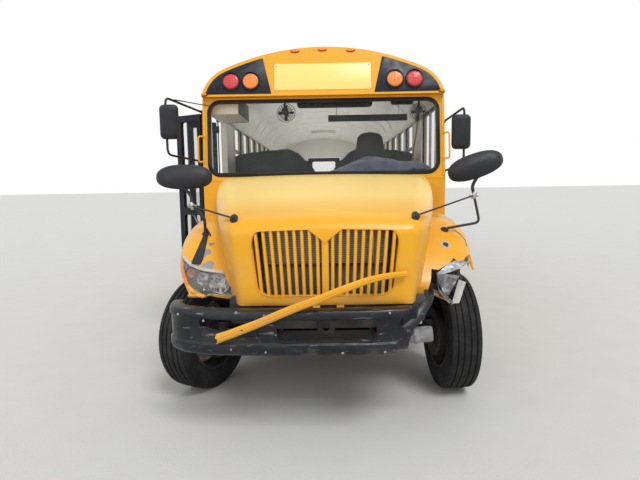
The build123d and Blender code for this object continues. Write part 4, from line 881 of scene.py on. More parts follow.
hoodShape = {
    "frontY": axleY - 0.860,
    "footZ": 0.905,
    "skin": 0.009,
    # distance behind the front, half-width at the shoulder, top height, half-width at the foot, corner radius
    "rows": (
        (0.000, 0.600, 1.418, 0.556, 0.055), (0.012, 0.618, 1.440, 0.565, 0.065),
        (0.045, 0.648, 1.470, 0.583, 0.085), (0.100, 0.682, 1.492, 0.606, 0.105),
        (0.180, 0.728, 1.513, 0.640, 0.120), (0.45, 0.802, 1.565, 0.704, 0.130),
        (0.90, 0.908, 1.645, 0.810, 0.140), (1.40, 1.012, 1.722, 0.916, 0.145),
        (1.855, 1.088, 1.786, 1.000, 0.145),
    ),
    "crown": 0.022,
}
fenderShape = {
    # distance behind the axle, inner top height, outer half-width, turn-down height, foot height
    "rows": (
        (-0.655, 1.004, 0.950, 0.950, 0.925), (-0.60, 1.072, 0.985, 0.985, 0.922),
        (-0.52, 1.170, 1.032, 1.048, 0.925), (-0.42, 1.262, 1.070, 1.085, 0.950),
        (-0.33, 1.330, 1.098, 1.112, 0.975), (-0.18, 1.392, 1.130, 1.136, 0.985),
        (-0.03, 1.422, 1.155, 1.150, 0.960), (0.15, 1.434, 1.174, 1.156, 0.70),
        (0.30, 1.436, 1.186, 1.160, 0.60), (0.64, 1.398, 1.200, 1.142, 0.565),
        (0.995, 1.332, 1.204, 1.082, 0.565),
    ),
    "innerX": 0.520,
    "round": 0.280,
    # distance behind the axle and how far the foot is tucked in there
    "tucks": ((-0.655, 0.120), (-0.52, 0.110), (-0.42, 0.060), (-0.30, 0.020), (-0.10, 0.0)),
    "archRadius": 0.575,
}
grilleOutline = (
    (-0.440, 1.000), (-0.478, 1.330), (-0.450, 1.392), (-0.108, 1.400), (0, 1.312), (0.108, 1.400),
    (0.450, 1.392), (0.478, 1.330), (0.440, 1.000), (0.375, 0.968), (-0.375, 0.968),
)
lampOutline = ((-1.060, 1.166), (-0.955, 1.114), (-0.862, 1.088), (-0.706, 1.072), (-0.607, 0.896),
               (-0.700, 0.901), (-0.805, 0.921), (-0.888, 0.955), (-0.955, 1.002), (-1.018, 1.080))
tornOutline = ((0.688, 0.800), (0.700, 0.935), (0.728, 1.02), (0.742, 1.085), (0.790, 1.078), (0.835, 1.100),
               (0.880, 1.118), (0.915, 1.148), (0.940, 1.126), (0.975, 1.120), (1.015, 1.146), (1.062, 1.158),
               (1.300, 1.130), (1.300, 0.800))


def hoodSection(row):
    behind, shoulder, top, foot, radius = row
    y = hoodShape["frontY"] + behind
    crown = hoodShape["crown"]
    sidePoints = []
    footZ = hoodShape["footZ"]
    shoulderZ = top - crown
    for step in range(6):   # up the side to where the corner starts
        share = step / 5
        z = lerp(footZ, shoulderZ - radius, share)
        x = lerp(foot, shoulder, (z - footZ) / (shoulderZ - footZ))
        sidePoints.append((x, z))
    startX = sidePoints[-1][0]
    for step in range(1, 8):   # round the corner
        angle = math.radians(90 * step / 7)
        sidePoints.append((
            startX - radius * (1 - math.cos(angle)) + 0.006 * math.sin(2 * angle),
            shoulderZ - radius + radius * math.sin(angle) + 0.004 * math.sin(angle),
        ))
    edgeX, edgeZ = sidePoints[-1]
    for step in range(1, 9):   # over the crown to the middle
        share = step / 8
        x = edgeX * (1 - share)
        sidePoints.append((x, edgeZ + (top - edgeZ) * (1 - (x / edgeX) ** 2)))
    right = [(-x, y, z) for x, z in sidePoints]
    left = [(x, y, z) for x, z in reversed(sidePoints[:-1])]
    return right + left


# A closed outline with its corners rounded, all by one radius or each by its own
def roundOff(points, radius, steps=3):
    radii = radius if isinstance(radius, tuple) else (radius,) * len(points)
    made = []
    for k, corner in enumerate(points):
        here = Vector(corner)
        before, after = Vector(points[k - 1]) - here, Vector(points[(k + 1) % len(points)]) - here
        reach = min(radii[k], before.length * 0.45, after.length * 0.45)
        start, end = here + before.normalized() * reach, here + after.normalized() * reach
        for step in range(steps + 1):
            t = step / steps
            made.append(tuple((1 - t) ** 2 * start + 2 * t * (1 - t) * here + t ** 2 * end))
    return made


grilleLoop = roundOff(grilleOutline, (0.05, 0.04, 0.03, 0.006, 0.004, 0.006, 0.03, 0.04, 0.05, 0.035, 0.035))


def makeHood():
    bm = bmesh.new()
    rows = [hoodSection(row) for row in hoodShape["rows"]]
    addGrid(bm, rows)
    # The front panel closes the first section; the grille's opening is cut out of it with a turned-in lip
    frontY = hoodShape["frontY"]
    rim = [Vector((x, z)) for x, _, z in rows[0]]
    rim += [rim[-1].lerp(rim[0], step / 14) for step in range(1, 14)]
    centre = Vector((0, 1.19))
    rings = [
        [(lerp(p.x, centre.x, share), frontY - depth, lerp(p.y, centre.y, share)) for p in rim]
        for share, depth in ((0, 0.0), (0.05, 0.010), (0.2, 0.016), (0.5, 0.019), (0.8, 0.020), (0.98, 0.020))
    ]
    addGrid(bm, rings, closeAcross=True)
    addFaces(bm, rings[-1], [tuple(range(len(rim)))])
    bmesh.ops.remove_doubles(bm, verts=bm.verts, dist=0.0004)
    hood = makeObject("hoodShell", bm, ["hoodYellow"])
    addModifier(hood, "SUBSURF", levels=1, render_levels=1)
    addModifier(hood, "SOLIDIFY", thickness=hoodShape["skin"], offset=-1)
    applyModifiers(hood)
    opening = bmesh.new()
    addPrism(opening, grilleLoop, frontY - 0.1, frontY + 0.1, frontView)
    cutWith(hood, [makeObject("openingCutter", opening)])
    lip = bmesh.new()
    addLoft(lip, [
        ([tuple(Vector(p).lerp(centre, share)) for p in grilleLoop], frontY + depth)
        for share, depth in ((-0.006, -0.019), (0.004, -0.0205), (0.012, -0.015), (0.014, 0.0), (0.014, 0.034),
                             (0.004, 0.034), (0.002, -0.010))
    ], frontView, capStart=False, capEnd=False)
    lipPiece = makeObject("openingLip", lip, ["hoodYellow"])
    return joined("hoodShell", [hood, lipPiece])


def fenderSection(row, side, inset):
    behind, top, outer, turnZ, foot = row
    y = axleY + behind
    outer -= inset
    top -= inset
    turnZ -= inset
    points = []
    tuck = readTable(fenderShape["tucks"], behind)[1]
    for step in range(5):
        share = step / 4
        points.append((
            outer + 0.004 * math.sin(math.pi * share) - tuck * (1 - share) ** 2, lerp(foot, turnZ, share),
        ))
    reach = fenderShape["round"] - inset
    for step in range(1, 10):
        angle = math.radians(90 * step / 9)
        points.append((
            outer - reach * (1 - math.cos(angle)),
            turnZ + (top - turnZ) * math.sin(angle) ** 0.92,
        ))
    flatX = points[-1][0]
    for step in range(1, 6):
        points.append((lerp(flatX, fenderShape["innerX"], step / 5),
                       top + 0.006 * math.sin(math.pi * step / 5)))
    return [(side * x, y, z) for x, z in points]


def makeFender(side, cut=True):
    bm = bmesh.new()
    rows = [fenderSection(row, side, 0) for row in fenderShape["rows"]]
    addGrid(bm, rows)
    # The nose closes the front from the top edge down to the foot
    nose = rows[0]
    foot = [(x, y + 0.004, fenderShape["rows"][0][4]) for x, y, _ in nose]
    between = [(lerp(a[0], b[0], 0.5), a[1] - 0.004, lerp(a[2], b[2], 0.5)) for a, b in zip(nose, foot)]
    addGrid(bm, [nose, between, foot])
    bmesh.ops.remove_doubles(bm, verts=bm.verts, dist=0.0004)
    bmesh.ops.recalc_face_normals(bm, faces=bm.faces)
    middle = max(bm.faces, key=lambda face: face.calc_center_median().z)
    if middle.normal.z < 0:
        bmesh.ops.reverse_faces(bm, faces=bm.faces)
    fender = makeObject(f"fender{side}", bm, ["hoodYellow"], turned=False)
    addModifier(fender, "SUBSURF", levels=2, render_levels=2)
    addModifier(fender, "SOLIDIFY", thickness=hoodShape["skin"], offset=-1)
    applyModifiers(fender)
    if not cut:
        return fender
    arch = bmesh.new()
    addLathe(
        arch, [(side * 0.54, 0.001), (side * 0.54, fenderShape["archRadius"]),
               (side * 1.40, fenderShape["archRadius"]), (side * 1.40, 0.001)],
        (0, axleY, bus["tyreRadius"]), (1, 0, 0), 96,
    )
    corner = bmesh.new()
    outline = lampOutline if side < 0 else tornOutline
    addPrism(corner, outline, axleY - 1.0, axleY - (0.40 if side < 0 else 0.15), frontView)
    cutters = [makeObject("archCutter", arch), makeObject("cornerCutter", corner)]
    cutWith(fender, cutters, useSelf=True)
    return fender


# The skin of a whole fender, for what follows its shape where the fender itself is cut away
def wholeFenderSkin(side):
    whole = makeFender(side, cut=False)
    skin = skinOf(whole)
    bpy.data.objects.remove(whole)
    return skin


hood = makeHood()
fenders = [makeFender(side) for side in (-1, 1)]
cornerCut = bmesh.new()
addPrism(cornerCut, lampOutline, axleY - 1.0, axleY - 0.50, frontView)
addPrism(cornerCut, tornOutline, axleY - 1.0, axleY - 0.30, frontView)
cutWith(hood, [makeObject("cornerCutter", cornerCut)])
hood = joined("hoodAndFenders", [hood, *fenders])
finishPiece(hood, replaces=["hood"], bevel=0.002, smooth=38)
print("hood made:", len(hood.data.polygons))

grilleBars = {"count": 19, "footPitch": 2 * 0.430 / 19, "topPitch": 2 * 0.478 / 19, "width": 0.0225,
              "depth": 0.030}


def makeGrille():
    bm = bmesh.new()
    y0 = hoodShape["frontY"] - 0.010
    for i in range(grilleBars["count"]):
        offset = i - (grilleBars["count"] - 1) / 2
        halfBar = grilleBars["width"] * (1.0 if offset == 0 else 0.5)
        lines = []
        for z in (0.960, 1.08, 1.20, 1.32, 1.405):
            share = (z - 0.900) / 0.550
            x = lerp(offset * grilleBars["footPitch"], offset * grilleBars["topPitch"], share)
            lines.append(Vector((x, y0 + 0.012, z)))
        section = even((-halfBar, -0.012), (-halfBar, 0.008), (-halfBar * 0.6, 0.015))
        addSweep(bm, lines, section, up=(0, -1, 0))
    bars = makeObject("bars", bm, ["hoodYellow"])
    # Each bar ends at the opening's edge
    keepInside(bars, [(u * 1.012, 1.19 + (v - 1.19) * 1.012) for u, v in grilleLoop], y0 - 0.1, y0 + 0.2)
    return bars


grille = makeGrille()
finishPiece(grille, replaces=["grille"], bevel=0.0015, smooth=40)
print("grille made")


# Front cap: black panels, bare sign plate, warning lamps and markers

cap = {
    "frontY": cowlY + 0.015, "footZ": 2.570, "lean": 0.110 / 0.490, "lampXs": (-0.910, -0.715, 0.715, 0.910),
    "lampZ": 2.708, "lampRadius": 0.092, "signHalf": 0.482, "signLow": 2.622, "signHigh": 2.888,
}
capTilt = math.atan(cap["lean"])
capView = placement(
    (0, cap["frontY"], cap["footZ"]), (1, 0, 0), (0, math.sin(capTilt), math.cos(capTilt)),
)   # u = X, v = up the slope, w = towards the viewer


def onCap(x, z):
    return (x, (z - cap["footZ"]) / math.cos(capTilt))


# The roof's line across the bus: one wide arc, and a small one at each eaves
roofLine = {"wideX": 0.994, "wideZ": 0.635, "wideRadius": 2.425, "cornerX": 0.839, "cornerRadius": 0.380}


def roofEdge(inset, fromX, toX, steps=18):
    points = []
    for step in range(steps + 1):
        x = lerp(fromX, toX, step / steps)
        if abs(x) <= roofLine["wideX"]:
            z = roofLine["wideZ"] + math.sqrt((roofLine["wideRadius"] - inset) ** 2 - x * x)
        else:
            reach = (roofLine["cornerRadius"] - inset) ** 2 - (abs(x) - roofLine["cornerX"]) ** 2
            z = bus["eavesZ"] + math.sqrt(max(0, reach))
        points.append((x, z))
    return points


def ceilingZ(x):
    return roofEdge(0.0665, x, x, 1)[0][1]


bm = bmesh.new()
for side in (-1, 1):
    edge = roofEdge(0.034, 0.598, 1.176)
    outline = [(0.512, 2.590)] + edge + [(1.160, 2.592)]
    outline = [onCap(side * x, min(z, 3.004)) for x, z in outline]
    addPrism(bm, outline if side > 0 else outline[::-1], 0.0003, 0.006, capView)
finishPiece(makeObject("capPanels", bm, ["trimBlack"]), bevel=0.002)

bm = bmesh.new()
low = onCap(-cap["signHalf"], cap["signLow"])
high = onCap(cap["signHalf"], cap["signHigh"])
addPrism(bm, roundedOutline(
    high[0] - low[0], high[1] - low[1], 0.015, 3, (0, (low[1] + high[1]) / 2),
), 0.0003, 0.0045, capView)
for side in (-1, 1):
    for z in (cap["signLow"] + 0.022, cap["signHigh"] - 0.022):
        u, v = onCap(side * (cap["signHalf"] - 0.022), z)
        addBolt(bm, capView @ Vector((u, v, 0.0045)), capView.to_3x3() @ Vector((0, 0, 1)), 0.0075, 1)
finishPiece(makeObject("signPlate", bm, ["hoodYellow", "zincBolt"]), bevel=0.0012)


def makeWarningLamps(name, place, colours, replaces):
    bm = bmesh.new()
    radius = cap["lampRadius"]
    for x, colour in zip(cap["lampXs"], colours):
        centre = place @ Vector((*onCap(x, cap["lampZ"]), 0))
        axis = place.to_3x3() @ Vector((0, 0, 1))
        addLathe(bm, [
            (0.0005, 0.02), (0.0005, radius), (0.016, radius), (0.022, radius - 0.006), (0.030, radius - 0.008),
            (0.030, radius - 0.014), (0.018, radius - 0.016), (0.018, 0.02),
        ], centre, axis, 56, 0)
        lens = [(0.019, radius - 0.0165), (0.033, radius - 0.0165), (0.037, radius - 0.021)]
        for ring in range(1, 8):
            share = ring / 7
            lens.append((
                0.0375 + 0.0065 * share + (0.0012 if ring % 2 else 0.0),
                (radius - 0.021) * (1 - share) + 0.001,
            ))
        addLathe(bm, lens, centre, axis, 56, colour)
        hood = [[centre + place.to_3x3() @ Vector((r * math.cos(math.radians(a)), r * math.sin(math.radians(a)),
                                                   0.0145 + depth * math.sin(math.radians(min(max(a, 10),
                                                                                              170))) ** 1.5))
                 for a in range(10, 171, 10)] for r, depth in ((radius, 0.0), (radius + 0.001, 0.029),
                                                               (radius - 0.003, 0.029), (radius - 0.003, 0.0))]
        addGrid(bm, hood, 0)
    finishPiece(makeObject(name, bm, ["mouldedBlack", "redLens", "amberLens"]),
                replaces=replaces, smooth=30)


makeWarningLamps("capLamps", capView, (1, 2, 2, 1), ["warning_lamps_front"])


# A small oval marker lamp on a dark foot
def addMarker(bm, centre, axis, up, halfWidth=0.042, halfHeight=0.019, height=0.022, footMat=0, lensMat=1):
    axis = Vector(axis).normalized()
    place = placement(centre, Vector(up).cross(axis), up)
    addLoft(bm, [
        (ellipseOutline(halfWidth, halfHeight, 24), -0.001), (ellipseOutline(halfWidth, halfHeight, 24), 0.006),
        (ellipseOutline(halfWidth * 0.93, halfHeight * 0.9, 24), 0.008),
    ], place, footMat)
    addLoft(bm, [
        (ellipseOutline(halfWidth * 0.90, halfHeight * 0.86, 24), 0.0075),
        (ellipseOutline(halfWidth * 0.86, halfHeight * 0.8, 24), height * 0.7),
        (ellipseOutline(halfWidth * 0.7, halfHeight * 0.6, 24), height * 0.93),
        (ellipseOutline(halfWidth * 0.35, halfHeight * 0.3, 24), height),
    ], place, lensMat)


bm = bmesh.new()
for x in (-0.275, 0.0, 0.285):
    centre = capView @ Vector((*onCap(x, 3.028 - 0.012 * abs(x) / 0.28), 0.0))
    addMarker(bm, centre + Vector((0, 0.004, 0)), (0, -1, 0.25), (0, 0.25, 1), 0.046, 0.017)
for side in (-1, 1):
    addMarker(bm, (side * 1.180, cap["frontY"] - 0.0005, 2.590), (0, -1, 0.1), (0, 0.1, 1), 0.030, 0.017)
finishPiece(makeObject("capMarkers", bm, ["mouldedBlack", "amberLens"]))

# Windscreen: rubber gasket with a filler strip, and the body seam under it

screen = {"width": 2.300, "height": 0.730, "middleZ": 2.160, "corner": 0.110}


def onFront(x, z, out=0.0):
    return Vector((x, cowlY + 0.085 * max(0.0, z - 1.760) / 0.810 - out, z))


bm = bmesh.new()
loop = [onFront(u, v) for u, v in roundedOutline(
    screen["width"], screen["height"], screen["corner"], 8, (0, screen["middleZ"]),
)]
addSweep(bm, loop, [
    (-0.020, 0.0), (-0.021, 0.007), (-0.014, 0.012), (-0.003, 0.013), (0.002, 0.009), (0.004, 0.013),
    (0.012, 0.012), (0.020, 0.006), (0.022, -0.020), (0.012, -0.024), (0.010, 0.0),
], up=(0, -1, 0.1), closed=True)
finishPiece(makeObject("screenGasket", bm, ["gasketRubber"]), smooth=50)

bm = bmesh.new()
for z in (1.742, 2.556):
    addSweep(bm, [onFront(-1.205, z), onFront(1.205, z)], even((-0.010, 0.0), (-0.010, 0.003)), up=(0, -1, 0))
for side in (-1, 1):   # folded corner posts of the front wall
    addSweep(bm, [onFront(side * 1.203, 1.76), onFront(side * 1.203, 2.56)],
             even((-0.014, -0.003), (-0.012, 0.006)), up=(0, -1, 0))
finishPiece(makeObject("frontSeams", bm, ["busYellow"]), bevel=0.001)
frontRivets = [
    [onFront(-1.16, 2.545), onFront(1.16, 2.545)],
    [onFront(-1.19, 1.80), onFront(-1.19, 2.52)], [onFront(1.19, 1.80), onFront(1.19, 2.52)],
]
setAlong("frontRivets", frontRivets, 0.082, (0.0055, 0.0055, 0.003), (0, -1, 0.1), "busYellow")

# Grab handles on the front corner posts
bm = bmesh.new()
for side in (-1, 1):
    foot, head = onFront(side * 1.207, 1.930), onFront(side * 1.207, 2.185)
    out = Vector((side * 0.050, -0.034, 0))
    addTube(bm, roundPath([foot, foot + out, head + out, head], 0.035, 6), 0.0095, 12)
    for point in (foot, head):
        addLathe(bm, [(-0.003, 0.001), (-0.003, 0.021), (0.005, 0.019), (0.006, 0.001)], point, out, 20)
finishPiece(makeObject("grabHandles", bm, ["busYellow"]))
print("cap and windscreen made")

# Bumper: one rolled steel section, torn at the left end, with its openings, bolts and brackets

bumper = {"middleZ": 0.760, "faceY": axleY - 1.035, "bowHalf": 0.760, "bow": 0.050}


# Where the bumper's bowed face stands at a place across the bus
def bumperFace(x):
    radius = (bumper["bowHalf"] ** 2 + bumper["bow"] ** 2) / (2 * bumper["bow"])
    return bumper["faceY"] + radius - math.sqrt(radius ** 2 - x ** 2)


def bumperPlan():
    points = [(-1.062, axleY - 0.675), (-1.058, axleY - 0.745), (-1.035, axleY - 0.820),
              (-0.960, axleY - 0.905)]
    for step in range(15):
        x = lerp(-bumper["bowHalf"], bumper["bowHalf"], step / 14)
        points.append((x, bumperFace(x)))
    return points


def makeBumper():
    bm = bmesh.new()
    path = roundPath([(x, y, bumper["middleZ"]) for x, y in bumperPlan()], 0.05, 3)
    # outward, upward
    section = [
        (-0.086, 0.149), (-0.030, 0.149), (-0.010, 0.143), (-0.001, 0.128), (0.0, 0.096), (-0.010, 0.086),
        (-0.012, -0.060), (-0.001, -0.072), (0.0, -0.112), (-0.009, -0.134), (-0.030, -0.149), (-0.086, -0.149),
        (-0.086, -0.140), (-0.034, -0.140), (-0.019, -0.127), (-0.010, -0.108), (-0.011, -0.076),
        (-0.022, -0.064), (-0.020, 0.088), (-0.010, 0.100), (-0.011, 0.122), (-0.019, 0.134), (-0.034, 0.140),
        (-0.086, 0.140),
    ]
    addSweep(bm, path, section)
    beam = makeObject("bumperBeam", bm, ["bumperBlack"])
    cut = bmesh.new()
    front, back = axleY - 1.2, axleY - 0.80
    addPrism(cut, roundedOutline(0.620, 0.127, 0.038, 5, (0.004, 0.783)), front, back, frontView)
    addPrism(cut, roundOff([(-0.800, 0.856), (-0.480, 0.843), (-0.432, 0.738), (-0.560, 0.750),
                            (-0.790, 0.802)], 0.02), front, back, frontView)
    addPrism(cut, [
        (0.470, 0.50), (0.452, 0.60), (0.430, 0.655), (0.446, 0.69), (0.520, 0.735), (0.500, 0.77),
        (0.462, 0.805), (0.470, 0.845), (0.515, 0.875), (0.528, 0.93), (0.540, 1.0), (1.3, 1.0), (1.3, 0.5),
    ], front, back, frontView)
    cutWith(beam, [makeObject("bumperCutter", cut)])
    detail = bmesh.new()
    # A raised rim round the central opening and the slot
    for outline, width in ((roundedOutline(0.640, 0.147, 0.048, 6, (0.004, 0.783)), 0.010),
                           (roundOff([(-0.812, 0.866), (-0.470, 0.852), (-0.418, 0.728), (-0.558, 0.740),
                                      (-0.802, 0.794)], 0.03), 0.008)):
        loop = [Vector((u, bumperFace(u) + 0.010, v)) for u, v in outline]
        addSweep(detail, loop, even((-width, -0.004), (-width * 0.6, 0.006)), up=(0, -1, 0), closed=True)
    for x, z in ((-0.955, 0.868), (-0.775, 0.842), (-0.560, 0.898), (-0.600, 0.660), (-0.380, 0.645),
                 (-0.385, 0.880), (0.365, 0.640), (0.395, 0.885), (0.10, 0.640)):
        if abs(x) < bumper["bowHalf"]:
            y = bumperFace(x)
        else:
            y = lerp(axleY - 0.985, axleY - 0.905, (abs(x) - bumper["bowHalf"]) / 0.2)
        lean = 0.25 if abs(x) > bumper["bowHalf"] else 0.04
        addBolt(detail, (x, y + 0.004, z), (math.copysign(lean, x), -1, 0), 0.0085, 1)
    for side in (-1, 1):   # channel brackets back to the frame rails
        addBlock(detail, (side * 0.394 - 0.031, axleY - 1.008, 0.70),
                 (side * 0.394 + 0.031, axleY - 0.846, 0.868), 2, bevel=0.004)
    parts = makeObject("bumperDetail", detail, ["bumperBlack", "zincBolt", "chassisPaint"])
    return joined("frontBumper", [beam, parts])


frontBumper = makeBumper()
for vert in frontBumper.data.vertices:   # dents and a bent torn end
    place = vert.co
    dent = noise.noise(place * 3.1) * 0.010 + noise.noise(place * 11) * 0.003
    pull = max(0.0, place.x - 0.30) / 0.2
    vert.co.y += abs(dent) * 0.8 + 0.030 * pull * pull * (1 if place.z < 0.72 else 0.35)
    vert.co.z += noise.noise(place * 2.3 + Vector((5, 0, 0))) * 0.006
finishPiece(frontBumper, replaces=["front_bumper"], bevel=0.0015, smooth=40)

# Two arms carry the tow loop that shows in the opening
bm = bmesh.new()
eyeY = axleY - 0.925
addPrism(bm, roundedOutline(0.110, 0.110, 0.020, 5, (0, 0.770)), eyeY, eyeY + 0.026, frontView)
eye = makeObject("towEye", bm, ["chassisPaint"])
bore = bmesh.new()
addLathe(bore, rod(-0.05, 0.05, 0.022), (0, eyeY, 0.770), (0, 1, 0), 32)
cutWith(eye, [makeObject("bore", bore)])
arms = bmesh.new()
for side in (-1, 1):
    addBlock(arms, (side * 0.046 - 0.009, eyeY + 0.020, 0.737), (side * 0.046 + 0.009, axleY - 0.816, 0.803))
eye = joined("towEye", [eye, makeObject("arms", arms, ["chassisPaint"])])
finishPiece(eye, replaces=["tow_eye"], bevel=0.003)

# The yellow rail that was torn off and jammed across the grille
bm = bmesh.new()
railPath = smoothPath([
    (-0.700, axleY - 1.010, 0.727), (-0.632, axleY - 1.015, 0.751), (-0.463, axleY - 1.031, 0.817),
    (-0.220, axleY - 1.053, 0.920), (-0.011, axleY - 1.058, 1.000), (0.226, axleY - 1.010, 1.077),
    (0.358, axleY - 0.955, 1.100), (0.476, axleY - 0.912, 1.107), (0.522, axleY - 0.900, 1.109),
], 5)
channel = [
    (-0.024, -0.010), (-0.0245, -0.006), (-0.016, -0.003), (-0.013, 0.009), (-0.004, 0.0105), (-0.0025, 0.0075),
    (0.0025, 0.0075), (0.004, 0.0105), (0.013, 0.009), (0.016, -0.003), (0.0245, -0.006), (0.024, -0.010),
    (0.0135, -0.006), (0.0105, 0.0055), (-0.0105, 0.0055), (-0.0135, -0.006),
]
addSweep(bm, railPath, channel, up=(0, -1, 0))
rail = makeObject("tornRail", bm, ["busYellow"])
for vert in rail.data.vertices:   # flattened wider at its torn end
    nearest = min(railPath, key=lambda p: abs(p[0] - vert.co.x))
    vert.co.z = nearest[2] + (vert.co.z - nearest[2]) * lerp(1.22, 0.80, (vert.co.x + 0.7) / 1.22)
    vert.co += noise.noise_vector(vert.co * 6) * 0.0035
cut = bmesh.new()
addLathe(cut, rod(-0.06, 0.06, 0.006), (-0.524, axleY - 1.02, 0.793), (0, 1, 0), 16)
addPrism(cut, [(-0.75, 0.650), (-0.684, 0.710), (-0.680, 0.732), (-0.695, 0.742), (-0.687, 0.775),
               (-0.76, 0.800)], axleY - 1.15, axleY - 0.9, frontView)
cutWith(rail, [makeObject("railCutter", cut)])
finishPiece(rail, replaces=["broken_bar"], smooth=30)
print("bumper made")


# What is fixed to the hood sits on its skin, found by a straight look from ahead or from above

hoodSkin = skinOf(hood)


def onSkin(point, direction=(0, 1, 0)):
    start = Vector(point) - Vector(direction) * 3
    hit, normal, _, _ = hoodSkin.ray_cast(start, Vector(direction))
    if hit is None:
        return Vector(point), -Vector(direction)
    if normal.dot(Vector(direction)) > 0:
        normal = -normal
    return hit, normal


def makeCord(name, path, radius):
    path = [Vector(point) for point in path]
    bm = bmesh.new()
    addTube(bm, path, radius, 12, 0)
    lead = makeObject(name, bm, ["gasketRubber"])
    finishPiece(lead, smooth=60)
    tuple(path[0])
    sum((b - a).length for a, b in zip(path, path[1:]))
    [tuple(point) for point in path]


# Mirrors: flat ones on bent tubes, domed ones on a mast and a stay rod

flatMirror = {
    "width": 0.166, "height": 0.306, "depth": 0.058, "y": axleY + 0.495, "arm": 0.0105, "armY": axleY + 0.5,
    # name, side, distance from the middle and height
    "places": (("left", 1, half + 0.016, 2.135), ("right", -1, half + 0.166, 2.265)),
}
armY = flatMirror["armY"]
cornerY = cowlY + 0.0755

for name, side, x, z in flatMirror["places"]:
    bm = bmesh.new()
    w, h, d, y = (flatMirror[key] for key in ("width", "height", "depth", "y"))
    middle = (side * x, z)
    addLoft(bm, [
        (roundedOutline(w - dw, h - dh, r, 6, middle), y + dy)
        for dw, dh, r, dy in (
            (0.080, 0.090, 0.028, -d / 2), (0.046, 0.052, 0.034, -d / 2 + 0.003),
            (0.020, 0.024, 0.038, -d / 2 + 0.011), (0.004, 0.006, 0.040, -d / 2 + 0.024),
            (0.0, 0.0, 0.040, -d / 2 + 0.036), (0.0, 0.0, 0.040, d / 2 - 0.004), (0.008, 0.008, 0.038, d / 2),
            (0.020, 0.020, 0.034, d / 2), (0.022, 0.022, 0.034, d / 2 - 0.006),
        )
    ], frontView, 0)
    addLoft(bm, [
        (roundedOutline(w - 0.024, h - 0.024, 0.032, 6, middle), y + d / 2 - 0.007),
        (roundedOutline(w - 0.026, h - 0.026, 0.031, 6, middle), y + d / 2 - 0.003),
    ], frontView, 1)
    tubeX = side * (x + 0.025)
    feet = [Vector((side * (half + 0.014), cornerY + dy, z + dz))
            for dy, dz in ((0.060, 0.170), (0.030, -0.330))]
    corners = [Vector((tubeX, armY, z + dz)) for dz in (0.215, -0.290)]
    path = roundPath([feet[0], *corners, feet[1]], 0.065, 8)
    addTube(bm, path, flatMirror["arm"], 14, 2)
    for foot in feet:   # a folded foot with two bolts on the corner post
        addBlock(bm, (side * half, foot.y - 0.028, foot.z - 0.034),
                 (side * (half + 0.006), foot.y + 0.028, foot.z + 0.034), 2)
        addTube(bm, [foot - Vector((side * 0.012, 0, 0)), foot + Vector((side * 0.012, 0, 0))], 0.017, 14, 2)
        for dz in (-0.022, 0.022):
            addBolt(bm, (side * (half + 0.006), foot.y, foot.z + dz), (side, 0, 0), 0.008, 3)
    for dz in (-0.095, 0.095):   # clamps that hold the housing on its tube
        addTube(bm, [(tubeX, armY, z + dz - 0.020), (tubeX, armY, z + dz + 0.020)], 0.0155, 14, 0)
    if side < 0:   # the second, thin stay that reaches the windscreen's corner
        addTube(bm, [(tubeX + 0.075, axleY + 0.52, z + 0.196), feet[0] + Vector((0.10, -0.03, 0.055)),
                     onFront(-1.13, 2.462, 0.008)], 0.0055, 10, 2)
    mirror = makeObject(f"flatMirror_{name}", bm, ["mouldedBlack", "mirrorGlass", "mouldedBlack", "zincBolt"])
    finishPiece(mirror, replaces=[f"mirror_{name}"], smooth=40)

dish = {
    "halfWidth": 0.214, "y": axleY - 0.28, "steps": 56,
    # name, side, distance from the middle, height and roll
    "places": (("left", 1, half - 0.075, 1.815, math.radians(18)), ("right", -1, half - 0.152, 1.767, 0.0)),
}


def dishOutline(grow, middle, roll):
    points = []
    for step in range(dish["steps"]):
        angle = 2 * math.pi * step / dish["steps"]
        c, s = math.cos(angle), math.sin(angle)
        u = (dish["halfWidth"] - grow) * math.copysign(abs(c) ** 0.86, c)
        v = ((0.085 if s > 0 else 0.104) - grow * 0.62) * math.copysign(abs(s) ** 0.80, s)
        v -= 0.010 * (abs(c) ** 3)
        points.append((middle[0] + u * math.cos(roll) - v * math.sin(roll),
                       middle[1] + u * math.sin(roll) + v * math.cos(roll)))
    return points


